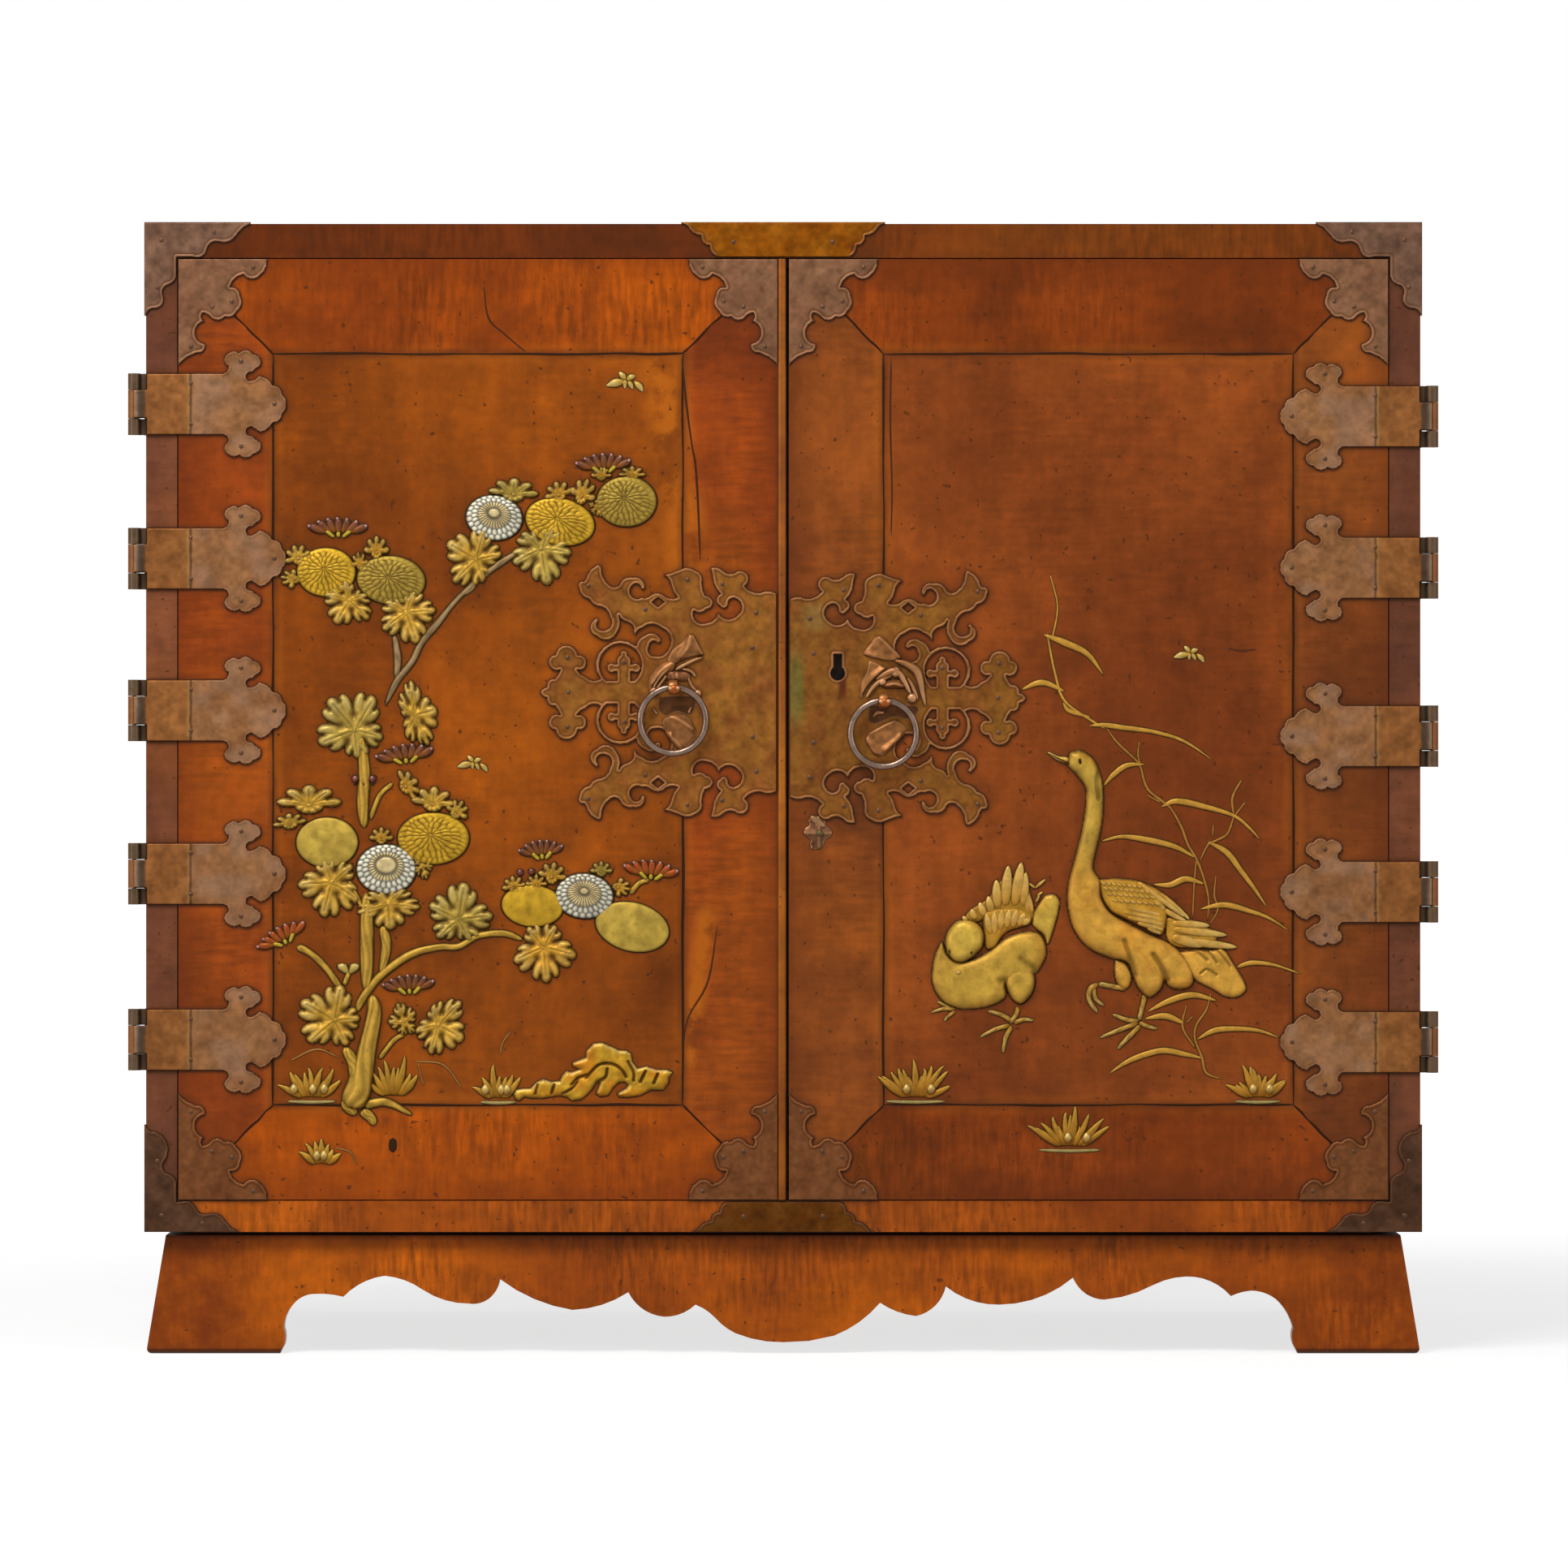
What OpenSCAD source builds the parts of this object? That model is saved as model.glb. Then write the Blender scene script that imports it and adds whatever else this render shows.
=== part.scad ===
// Two-door lacquer cabinet on a low stand, with copper mounts and ten drawers behind its doors.
// Millimetres, +Z up, front towards -Y, standing on z = 0 with the origin under its middle.

/* [Case] */
// Width of the case over its side boards
case_w = 900; // [860:5:940]
// Height of the case without its stand
case_h = 712; // [700:2:730]
// Depth of the case from front edge to back
case_d = 500; // [460:5:540]
// Thickness of the side boards
side_t = 22; // [20:1:24]
// Thickness of the top board
top_t = 24; // [22:1:27]
// Thickness of the bottom board
bottom_t = 22; // [20:1:25]
// Thickness of the back board
back_t = 10; // [8:1:12]

/* [Stand] */
// Height of the stand
stand_h = 86; // [80:1:95]
// Thickness of the stand boards
stand_t = 18; // [16:1:20]
// How far the top of the stand is set in from the case
stand_inset = 13; // [10:1:18]
// How far the feet splay out below
stand_flare = 12.5; // [8:0.5:16]
// Length of each foot along the front
foot_len = 97; // [87:1:107]
// Length of each foot along the back
back_foot_len = 66; // [60:1:90]
// Length of each foot along the sides
end_foot_len = 78; // [70:1:90]
// Shadow gap between stand boards and case
shadow_gap = 3; // [2:0.5:5]

/* [Doors] */
// Thickness of the door frames
door_t = 22; // [20:1:24]
// Width of the mitred frame members
frame_w = 67; // [60:1:75]
// Thickness of the door panels
panel_t = 14; // [12:1:16]
// Depth of the panel groove
groove_depth = 6; // [4:0.5:8]
// Gap round the doors
door_gap = 0.8; // [0.6:0.1:1.2]
// Gap between the meeting edges
meet_gap = 1.6; // [1.4:0.1:2.4]
// Width of the bead on the left door
bead_w = 6.2; // [5:0.1:8]
// How far the doors stand proud of the case
door_proud = 0.4; // [0.3:0.1:0.8]

/* [Mounts] */
// Thickness of the lock plates and hinge straps
plate_t = 1.5; // [1.2:0.1:1.8]
// Thickness of the corner and edge mounts
mount_t = 1.2; // [1:0.1:1.5]
// Height of the left lock plate's middle above the floor
left_plate_z = 467; // [455:1:475]
// Height of the right lock plate's middle above the floor
right_plate_z = 463; // [455:1:475]
// Radius of a nail head
nail_r = 1.9; // [1.4:0.1:2.4]
// Height of a nail head
nail_h = 0.8; // [0.6:0.1:1.2]
// Radius of the keyhole's round end
keyhole_r = 4.8; // [4.2:0.1:5.2]
// Width of the keyhole's slot
keyhole_w = 5.6; // [5.2:0.1:6.4]

/* [Hinges] */
// Outer radius of the hinge barrels
barrel_r = 4.3; // [4:0.1:5]
// Radius of the hinge pins
pin_r = 1.6; // [1.3:0.1:1.9]
// Gap between barrel and side board
barrel_gap = 4.3; // [3:0.1:6]
// Half height of a hinge strap
strap_half = 21.7; // [20:0.1:23]
// Height of the strap's middle knuckle
knuckle_h = 20; // [16:0.5:22]
// Length of a side leaf along the side board
leaf_len = 66; // [56:1:80]

/* [Rings] */
// Radius of a ring to the middle of its wire
ring_r = 23.2; // [21:0.1:24]
// Radius of the ring wire
wire_r = 2.4; // [2:0.1:2.6]
// Height of the ring's pivot above the lock plate
pivot_out = 8; // [7.6:0.1:9]

/* [Lock and bolts] */
// Travel of the lock bolt
lock_throw = 16; // [14:0.5:18]
// Travel of the flush bolts of the left door
bolt_throw = 10; // [8:0.5:12]
// Thickness of the lock case
lock_case_t = 13; // [12:0.5:14]
// Width of a flush bolt
bolt_w = 12; // [10:0.5:14]
// Thickness of a flush bolt
bolt_t = 5; // [4:0.5:6]
// Length of a flush bolt
bolt_len = 92; // [80:1:110]

/* [Drawers] */
// Distance of the drawer fronts behind the front of the case
setback = 52; // [50:1:58]
// Thickness of the dust boards and dividers
dust_t = 10; // [8:1:12]
// Thickness of the drawer fronts
drawer_front_t = 14; // [12:1:16]
// Thickness of the drawer sides and backs
drawer_side_t = 8; // [6:1:9]
// Thickness of the drawer bottoms
drawer_bottom_t = 6; // [5:1:7]
// Height of the top row of drawers
row_1_h = 110; // [100:1:118]
// Height of the second row of drawers
row_2_h = 125; // [118:1:132]
// Height of the third row of drawers
row_3_h = 125; // [118:1:132]
// Height of the fourth row of drawers
row_4_h = 130; // [122:1:138]
// Width of the tall middle drawer
middle_w = 260; // [240:2:280]

/* [Hidden] */
$fn = 48;

wood = "#8a3f14";
wood_dark = "#5e2b16";
wood_light = "#a85a1c";
copper = "#9a6238";
iron = "#5a5148";

// Clearances, each used wherever such pieces meet
free_gap = 0.3;
glue_gap = 0.2;
groove_gap = 0.1;
bore_gap = 0.08;

// How far a cutting shape reaches past what it cuts, and the widest step on a drawn arc, in degrees,
// on a mount and on the long curves of the stand
cut = 1;
arc_step = 26;
stand_arc_step = 9;

// Faces of the case, with y counted back from the case's front edge
half_w = case_w / 2;
inner_w = half_w - side_t;
case_z = stand_h;
top_z = stand_h + case_h;
inner_bottom = case_z + bottom_t;
inner_top = top_z - top_t;
rebate = 8;
housing = 6;

// Doors
door_front = -door_proud;
door_back = door_front + door_t;
door_low = inner_bottom + door_gap;
door_high = inner_top - door_gap;
door_outer = inner_w - door_gap;
meet_half = (bead_w + meet_gap) / 2;
tongue_t = 7;
tongue_out = 4;
stop_t = 10;
stop_h = 6;
bead_depth = 8;
bead_rise = 2.4;

// Plates and rings
plate_front = door_front - plate_t;
plate_edge = meet_half + 0.8;
keyhole_u = 33.8;
keyhole_v = 17.5;
keyhole_top = 13.5;
left_ring_u = 73;
right_ring_u = 66;
left_ring_v = 3.5;
right_ring_v = -1.8;
eye_r = 5.4;
eye_bore = wire_r + 0.75;
eye_w = 7;
ring_y = plate_front - pivot_out;
leaf_h = 3.6;
boss_base_r = 9;
boss_base_t = 2.2;
boss_half = 60;

// The ball that closes the eye in front, sunk into it, is the foremost point of the cabinet
ball_r = 3.3;
ball_sink = 2.2;
ball_out = pivot_out + eye_r - ball_sink;
reach = ball_out + ball_r + plate_t + door_proud;

// The box of the whole cabinet is centred on the origin from front to back
front_y = (reach - case_d) / 2;

// Hinges, as heights above the floor: the lowest and the highest keep their distances from the
// ends of the door, and the others lie between them by shares
function hinge_heights(from_low, from_high, shares) =
    let (low = door_low + from_low, high = door_high - from_high)
    [for (s = shares) low + s * (high - low)];
hinge_x = half_w + barrel_gap + barrel_r;
hinge_y = plate_front + barrel_r;
left_hinge_low = 113;
left_hinge_high = 102.5;
right_hinge_low = 111.3;
right_hinge_high = 111.2;
left_hinge_z = hinge_heights(left_hinge_low, left_hinge_high, [0, 0.261, 0.518, 0.757, 1]);
right_hinge_z = hinge_heights(right_hinge_low, right_hinge_high, [0, 0.24, 0.489, 0.758, 1]);
knuckle_gap = 0.3;
leaf_y = hinge_y + barrel_r - plate_t;
nail_dome = 3;

// Lock
lock_x = meet_half + 2.5;
lock_w = 62;
lock_low = -18;
lock_high = 58;
lock_wall = 1.5;
lock_bolt_v = 43;
lock_bolt_h = 10;
lock_bolt_t = 6;
lock_bolt_len = lock_throw + 28;
lock_bolt_y = door_back + 3;
strike_gap = 0.6;
strike_w = lock_throw + 2;
strike_end = 4;
strike_ear = 6;
strike_ear_t = 2;

// Bolts of the left door
bolt_x = -meet_half - 24;
bolt_y = door_back + 1.2;
bolt_rest = 1.5;
bolt_knob_r = 3.5;
bolt_knob_h = 7;
bolt_room = 6;
staple_h = 14;
staple_t = 2;
staple_foot = 6;
staple_drops = [16, bolt_len * 0.82];
mortise_gap = 0.6;
mortise_spare = 2;

// Stand, with the planes on which its blocks and rails meet the backs of its boards
stand_top = stand_h - shadow_gap;
stand_x = half_w - stand_inset;
stand_front = stand_inset;
stand_back = case_d - stand_inset;
inside_x = stand_x - stand_t - glue_gap;
inside_front = stand_front + stand_t + glue_gap;
inside_back = stand_back - stand_t - glue_gap;
rail_t = 20;
rail_h = 26;
block = 34;
block_low = 8;
back_arch_h = 44;

// Rows of drawers, from the top down
row_h = [row_1_h, row_2_h, row_3_h, row_4_h,
    inner_top - inner_bottom - 4 * dust_t - row_1_h - row_2_h - row_3_h - row_4_h];
function rows_above(n) = n == 0 ? 0 : row_h[n - 1] + rows_above(n - 1);
function row_top(n) = inner_top - rows_above(n) - n * dust_t;
function row_low(n) = row_top(n) - row_h[n];
dust_back = case_d - back_t - glue_gap;
drawer_back_gap = 12;
drawer_d = dust_back - setback - drawer_back_gap;
side_col = (2 * inner_w - middle_w - 2 * dust_t) / 2;
half_col = (2 * inner_w - dust_t) / 2;
drawer_play = 0.6;
drawer_side_drop = 8;
drawer_bottom_up = 4;
pull_len = 13;
two_pulls_from = 600;

// Each drawer: left edge, lower edge, width and height of its opening
drawers = [
    [-inner_w, row_low(0), half_col, row_h[0]],
    [dust_t / 2, row_low(0), half_col, row_h[0]],
    [-inner_w, row_low(1), side_col, row_h[1]],
    [inner_w - side_col, row_low(1), side_col, row_h[1]],
    [-middle_w / 2, row_low(2), middle_w, row_h[1] + row_h[2] + dust_t],
    [-inner_w, row_low(2), side_col, row_h[2]],
    [inner_w - side_col, row_low(2), side_col, row_h[2]],
    [-inner_w, row_low(3), half_col, row_h[3]],
    [dust_t / 2, row_low(3), half_col, row_h[3]],
    [-inner_w, row_low(4), 2 * inner_w, row_h[4]]
];

// Points on the circle from a to b through m, without a itself
function through(a, m, b, step) =
    let (d = 2 * (a.x * (m.y - b.y) + m.x * (b.y - a.y) + b.x * (a.y - m.y)))
    abs(d) < 0.01 ? [b] :
    let (
        cx = (a * a * (m.y - b.y) + m * m * (b.y - a.y) + b * b * (a.y - m.y)) / d,
        cy = (a * a * (b.x - m.x) + m * m * (a.x - b.x) + b * b * (m.x - a.x)) / d,
        r = norm(a - [cx, cy]),
        from = atan2(a.y - cy, a.x - cx),
        turn = atan2(b.y - cy, b.x - cx) - from,
        sweep = d > 0 ? (turn < 0 ? turn + 360 : turn) : (turn > 0 ? turn - 360 : turn),
        n = max(2, ceil(abs(sweep) / step))
    )
    [for (i = [1:n]) [cx, cy] + r * [cos(from + sweep * i / n), sin(from + sweep * i / n)]];

// An outline from a list of corner, point on the arc, corner, point on the arc, corner
function traced(p, step = arc_step) =
    [p[0], for (i = [0:2:len(p) - 3]) each through(p[i], p[i + 1], p[i + 2], step)];

// The outline above an axis, and its mirror image below
function both_halves(p) =
    concat(p, [for (i = [len(p) - 1:-1:0]) if (abs(p[i].y) > 0.001) [p[i].x, -p[i].y]]);

module at_front() { translate([0, front_y, 0]) children(); }

// Extrudes an outline drawn in x and z backwards from y = from by depth
module upright(from, depth) {
    translate([0, from + depth, 0]) rotate([90, 0, 0]) linear_extrude(depth) children();
}

// The same piece on both sides of the cabinet, or only on the side asked for
module on_side(side) {
    if (side < 0) children();
    else mirror([1, 0, 0]) children();
}

// Carcase
module carcase_board(points) {
    upright(0, case_d) polygon(points);
}

module dust_housing(side) {
    on_side(side) for (n = [1:4])
        translate([-inner_w - housing - glue_gap, setback, row_top(n) - groove_gap])
            cube([housing + glue_gap + cut, case_d, dust_t + 2 * groove_gap]);
}

module back_rebate() {
    translate([-inner_w - rebate, case_d - back_t - groove_gap, inner_bottom - rebate])
        cube([2 * (inner_w + rebate), back_t + cut, inner_top - inner_bottom + 2 * rebate]);
}

module bolt_mortise(z, depth) {
    translate([bolt_x - bolt_w / 2 - mortise_gap, bolt_y - mortise_gap, z])
        cube([bolt_w + 2 * mortise_gap, bolt_t + 2 * mortise_gap, depth]);
}

module carcase_top() {
    color(wood) at_front() difference() {
        carcase_board([[-half_w, top_z], [half_w, top_z], [inner_w, inner_top], [-inner_w, inner_top]]);
        back_rebate();
        bolt_mortise(inner_top - cut, bolt_throw + cut + mortise_spare);
    }
}

module carcase_bottom() {
    color(wood) at_front() difference() {
        carcase_board([[-half_w, case_z], [half_w, case_z],
            [inner_w, inner_bottom], [-inner_w, inner_bottom]]);
        back_rebate();
        bolt_mortise(inner_bottom - bolt_throw - mortise_spare, bolt_throw + cut + mortise_spare);
    }
}

module carcase_side(side) {
    color(wood_dark) at_front() difference() {
        on_side(side) carcase_board([[-half_w, case_z], [-half_w, top_z],
            [-inner_w, inner_top], [-inner_w, inner_bottom]]);
        back_rebate();
        dust_housing(side);
    }
}

module carcase_back() {
    color(wood_dark) at_front()
        translate([-inner_w - rebate + glue_gap, case_d - back_t, inner_bottom - rebate + glue_gap])
            cube([2 * (inner_w + rebate - glue_gap), back_t,
                inner_top - inner_bottom + 2 * (rebate - glue_gap)]);
}

// Thin strips under the top board and on the bottom board that stop the doors
module door_stops() {
    from = door_back + free_gap;
    bolt_left = bolt_x - bolt_w / 2 - bolt_room;
    bolt_right = bolt_x + bolt_w / 2 + bolt_room;
    color(wood_dark) at_front()
        for (z = [inner_bottom, inner_top - stop_h]) {
            translate([-inner_w + glue_gap, from, z])
                cube([inner_w - glue_gap + bolt_left, stop_t, stop_h]);
            translate([bolt_right, from, z])
                cube([inner_w - glue_gap - bolt_right, stop_t, stop_h]);
        }
}

// Boards between the rows, housed in the sides; the third stops at the tall middle drawer
module dust_boards() {
    reach_w = inner_w + housing;
    color(wood_dark) at_front() {
        for (n = [1, 3, 4])
            translate([-reach_w, setback, row_top(n)])
                cube([2 * reach_w, dust_back - setback, dust_t]);
        for (side = [-1, 1])
            on_side(side) translate([-reach_w, setback, row_top(2)])
                cube([housing + side_col, dust_back - setback, dust_t]);
    }
}

module divider(x, thick, low, high) {
    translate([x, setback, low + glue_gap])
        cube([thick, dust_back - setback, high - low - 2 * glue_gap]);
}

// One in the middle of rows one and four, and one each side of the tall middle drawer
module drawer_dividers() {
    color(wood_dark) at_front() {
        for (row = [0, 3]) divider(-dust_t / 2, dust_t, row_low(row), row_top(row));
        for (x = [-middle_w / 2 - dust_t, middle_w / 2])
            divider(x + glue_gap, dust_t - 2 * glue_gap, row_low(2), row_top(1));
    }
}

// A drawer of five boards, its bottom held up between the sides
module drawer(n) {
    d = drawers[n];
    w = d[2] - 2 * drawer_play;
    h = d[3] - 2 * drawer_play;
    low = d[1] + free_gap;
    side_h = h - drawer_side_drop;
    side_d = drawer_d - drawer_front_t - 2 * glue_gap - drawer_side_t;
    color(wood_light) at_front() translate([d[0] + drawer_play, setback, low]) {
        cube([w, drawer_front_t, h]);
        for (x = [0, w - drawer_side_t])
            translate([x, drawer_front_t + glue_gap, 0]) cube([drawer_side_t, side_d, side_h]);
        translate([0, drawer_d - drawer_side_t, 0]) cube([w, drawer_side_t, side_h]);
        translate([drawer_side_t + glue_gap, drawer_front_t + glue_gap, drawer_bottom_up])
            cube([w - 2 * (drawer_side_t + glue_gap), side_d, drawer_bottom_t]);
    }
}

// A turned pull: rosette, waist and knob on the drawer front
module pull() {
    rotate([90, 0, 0]) rotate_extrude() polygon(traced([
        [0, 0], [5.5, 0], [11, 0], [10.6, 0.9], [9.5, 1.4], [5.5, 1.6], [3.4, 3],
        [2.8, 4.6], [3.2, 6.2], [6.4, 8.2], [6, 10.6], [4, pull_len - 0.6], [0, pull_len]
    ]));
}

module drawer_pulls() {
    color(copper) at_front() for (d = drawers) {
        spread = d[2] > two_pulls_from ? d[2] / 4 : 0;
        for (x = spread == 0 ? [0] : [-spread, spread])
            translate([d[0] + d[2] / 2 + x, setback, d[1] + d[3] / 2]) pull();
    }
}

// Stand: every board leans outwards below, with its lower outer edge rounded
foot_round = 3.5;
splay_outer = [[0, stand_top], for (a = [0:30:90])
    [-stand_flare + foot_round * (1 - cos(a)), foot_round * (1 - sin(a))]];
splay_inner = [[stand_t - stand_flare, 0], [stand_t, stand_top]];

// A leaning board's section, drawn outwards along -x, swept along its length
module leaning_board(length) {
    rotate([90, 0, 0]) linear_extrude(length, center = true) polygon(concat(splay_outer, splay_inner));
}

// Vertical wedge that keeps what lies between the two mitres of a board
module between_mitres(half_length, depth) {
    far = stand_flare + cut;
    translate([0, 0, -cut]) linear_extrude(stand_h + 2 * cut) polygon([
        [-far, -half_length - far], [depth, -half_length + depth],
        [depth, half_length - depth], [-far, half_length + far]]);
}

// Lower edge of the front board from its middle out to its left and its right foot, as distance and
// height; cut by hand, the two halves differ a little, and the right foot is the shorter one
front_edge_left = [
    [0, 8], [17, 9.4], [34, 14.4], [42, 19.4], [48, 25], [55, 30.8], [62, 34.3], [71, 28.4],
    [84, 25.8], [97, 29.8], [109.5, 43], [123, 36], [149, 30.6], [175, 37.8], [200.5, 52.3],
    [208, 38.5], [222, 35], [236, 36.6], [255, 44.8], [268, 51.5], [282, 54.5], [297, 50],
    [311, 39.8], [322, 41.7], [332, 41.8], [340, 39.7], [346, 34.9], [351, 27.5], [353, 18],
    [351.8, 11], [352.5, 6]
];
front_edge_right = [
    [0, 8], [18, 8.9], [36, 12.6], [54, 22.3], [68.5, 35.6], [80, 29.6], [94, 26.3], [106, 32.2],
    [115, 47], [130, 38.3], [153, 34.3], [180, 39], [205, 53.2], [213, 42.6], [227, 37.8],
    [243, 40.6], [262, 48.2], [273, 52.3], [285, 54], [302, 50.8], [316.5, 40.3], [323, 42.7],
    [331, 44.1], [340, 42.6], [348, 38.4], [356, 29], [360.5, 18], [359.4, 12], [360.5, 6]
];
right_foot_less = 8;

// Lower edge of the end boards
end_edge = [
    [0, 20], [22, 23.5], [46, 38], [62, 31], [80, 33], [98, 42], [114, 47],
    [130, 44], [140, 38], [149, 41], [158, 40], [170, 33], [174, 20], [172.5, 12], [173.5, 6]
];
foot_chamfer = [3, 0.5];

// One half of the opening below an edge, stretched from the middle so that it ends at the foot
function below_half(edge, foot) =
    concat(
        traced([for (p = edge) [p.x * foot / edge[len(edge) - 1].x, p.y]], stand_arc_step),
        [[foot + foot_chamfer.x, foot_chamfer.y], [foot + foot_chamfer.x, -cut]]);
module below(edge_left, foot_left, edge_right, foot_right) {
    left = below_half(edge_left, foot_left);
    polygon(concat([for (i = [len(left) - 1:-1:1]) [-left[i].x, left[i].y]],
        below_half(edge_right, foot_right)));
}

stand_len = 2 * stand_x;
stand_deep = stand_back - stand_front;

module front_board() {
    intersection() {
        leaning_board(stand_len + 2 * (stand_flare + cut));
        between_mitres(stand_len / 2, stand_t - glue_gap);
    }
}

module end_board() {
    intersection() {
        leaning_board(stand_deep + 2 * (stand_flare + cut));
        between_mitres(stand_deep / 2 - glue_gap, stand_t - glue_gap);
    }
}

module stand_front_apron() {
    foot = stand_x + stand_flare - foot_len;
    color(wood_light) at_front() difference() {
        translate([0, stand_front, 0]) rotate([0, 0, 90]) front_board();
        upright(-stand_flare, stand_deep / 2)
            below(front_edge_left, foot, front_edge_right, foot + right_foot_less);
    }
}

module stand_back_rail() {
    foot = stand_x + stand_flare - back_foot_len;
    color(wood_dark) at_front() difference() {
        translate([0, stand_back, 0]) rotate([0, 0, -90]) front_board();
        upright(stand_deep, stand_deep) polygon(traced([
            [-foot, -cut], [-foot, 10], [-foot, 20], [-foot + 8, 38], [-foot + 28, back_arch_h],
            [0, back_arch_h], [foot - 28, back_arch_h], [foot - 8, 38], [foot, 20], [foot, 10],
            [foot, -cut]], stand_arc_step));
    }
}

module stand_end(side) {
    foot = stand_deep / 2 + stand_flare - end_foot_len;
    color(wood_light) at_front() on_side(side) difference() {
        translate([-stand_x, (stand_front + stand_back) / 2, 0]) end_board();
        translate([-half_w, (stand_front + stand_back) / 2, 0])
            rotate([90, 0, 90]) linear_extrude(4 * stand_t) below(end_edge, foot, end_edge, foot);
    }
}

// Glued corner blocks, standing clear of the floor
module stand_corner_blocks() {
    color(wood_dark) at_front()
        for (side = [-1, 1], behind = [0, 1]) on_side(side)
            translate([-inside_x, behind ? inside_back : inside_front, block_low])
                mirror([0, behind, 0]) linear_extrude(stand_h - rail_h - block_low - glue_gap)
                    polygon([[0, 0], [block, 0], [0, block]]);
}

// Rails inside the stand, standing above its boards by the shadow gap to carry the case
module stand_top_rails() {
    color(wood_dark) at_front() {
        for (y = [inside_front, inside_back - rail_t])
            translate([-inside_x, y, stand_h - rail_h]) cube([2 * inside_x, rail_t, rail_h]);
        for (side = [-1, 1]) on_side(side)
            translate([-inside_x, inside_front + rail_t + glue_gap, stand_h - rail_h])
                cube([rail_t, inside_back - inside_front - 2 * (rail_t + glue_gap), rail_h]);
    }
}

// Copper mounts on the case
module centre_outline(long_half, short_half, h) {
    polygon(both_halves(traced([
        [0, long_half], [0.8, long_half - 3], [h * 0.18, long_half - 6],
        [h * 0.3, long_half - 9], [h * 0.36, long_half - 14], [h * 0.55, long_half - 15],
        [h * 0.66, short_half + 5], [h * 0.85, short_half + 4], [h, short_half],
        [h, short_half / 2], [h, 0]
    ])));
}

top_mount_half = 72;
top_mount_inner = 47;
bottom_mount_half = 65;
bottom_mount_inner = 40;
wrap = 26;

module top_centre_mount() {
    color(copper) at_front() {
        translate([0, -mount_t, top_z]) rotate([0, 90, 90]) linear_extrude(mount_t)
            centre_outline(top_mount_half, top_mount_inner, top_t - 0.6);
        translate([0, -mount_t, top_z]) rotate([0, 0, 90]) linear_extrude(mount_t)
            centre_outline(top_mount_half, top_mount_inner, wrap + mount_t);
    }
}

module bottom_centre_mount() {
    color(copper) at_front()
        translate([0, -mount_t, case_z]) rotate([0, -90, 90]) mirror([0, 0, 1]) linear_extrude(mount_t)
            centre_outline(bottom_mount_half, bottom_mount_inner, bottom_t - 0.6);
}

// Corner mount of the case front: one arm along the board, one down the side
function case_corner_points(arm, drop, board) = traced([
    [0, 0], [arm / 2, 0], [arm, 0], [arm - 5, 2.6], [arm - 10, 8],
    [arm - 15, 12.6], [arm - 22, 13], [arm - 28, 13.6], [arm - 31, 18],
    [arm - 34, board - 0.9], [arm - 41, board - 0.4], [30, board - 0.4], [side_t - 0.4, board - 0.4],
    [side_t - 0.4, board + 4], [side_t - 0.4, board + 10], [side_t - 1.6, board + 16], [16.5, board + 19],
    [12.8, board + 21], [12.4, board + 27], [11.6, drop - 8], [6.5, drop - 5],
    [2, drop - 4], [0, drop], [0, drop / 2], [0, 0]
]);

// Corner plate on a face that is only seen from the side or above
function flank_points(along, deep) = traced([
    [0, 0], [along / 2, 0], [along, 0], [along - 4, 4], [along - 10, 7],
    [along - 18, 9], [along - 22, 16], [along * 0.55, deep * 0.42], [along * 0.42, deep * 0.46],
    [along * 0.3, deep * 0.6], [14, deep - 16], [9, deep - 12], [7, deep - 8],
    [4, deep - 4], [0, deep], [0, deep / 2], [0, 0]
]);

case_arm = 74;
top_drop = 65;
bottom_drop = 76;
bottom_arm = 66;
flank_deep = 58;

module case_top_corner_mounts() {
    color(copper) at_front() for (side = [-1, 1]) on_side(side) {
        translate([-half_w, 0, top_z]) mirror([0, 0, 1]) rotate([90, 0, 0])
            linear_extrude(mount_t) polygon(case_corner_points(case_arm, top_drop, top_t));
        translate([-half_w - mount_t, -mount_t, top_z]) linear_extrude(mount_t)
            polygon(flank_points(case_arm + mount_t, flank_deep + mount_t));
        translate([-half_w - mount_t, -mount_t, top_z + mount_t]) rotate([0, 90, 0])
            linear_extrude(mount_t) polygon(flank_points(top_drop + mount_t, flank_deep + mount_t));
    }
}

module case_bottom_corner_mounts() {
    color(copper) at_front() for (side = [-1, 1]) on_side(side) {
        translate([-half_w, 0, case_z]) rotate([90, 0, 0])
            linear_extrude(mount_t) polygon(case_corner_points(bottom_arm, bottom_drop, bottom_t));
        translate([-half_w, -mount_t, case_z]) rotate([0, -90, 0])
            linear_extrude(mount_t) polygon(flank_points(bottom_drop, flank_deep + mount_t));
    }
}

// Hinges
strap_top = [
    [0, strap_half], [28, strap_half], [54.5, strap_half], [57.3, 23.6], [57.6, 27],
    [54.9, 31.5], [58, 35.8], [62, 37.3], [65.5, 36], [71, 38.1], [75.5, 35.2],
    [80, 33], [80.8, 27.2], [77.5, 24.9], [74.4, 22.4], [70.6, 19.8], [74.2, 16.2],
    [77, 17.6], [80, 20], [85.5, 17.8], [89.3, 13.2], [94.6, 10.9], [96, 6.6],
    [98.6, 3.6], [98.8, 0]
];
hinge_nails = [[31.3, 14.5], [31.3, -14.5], [67, 30], [67, -30], [90.5, 0]];
leaf_nail_pair = [20, 12];
leaf_nail_end = 50;
leaf_nails = [leaf_nail_pair, [leaf_nail_pair.x, -leaf_nail_pair.y], [leaf_nail_end, 0]];

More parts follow.
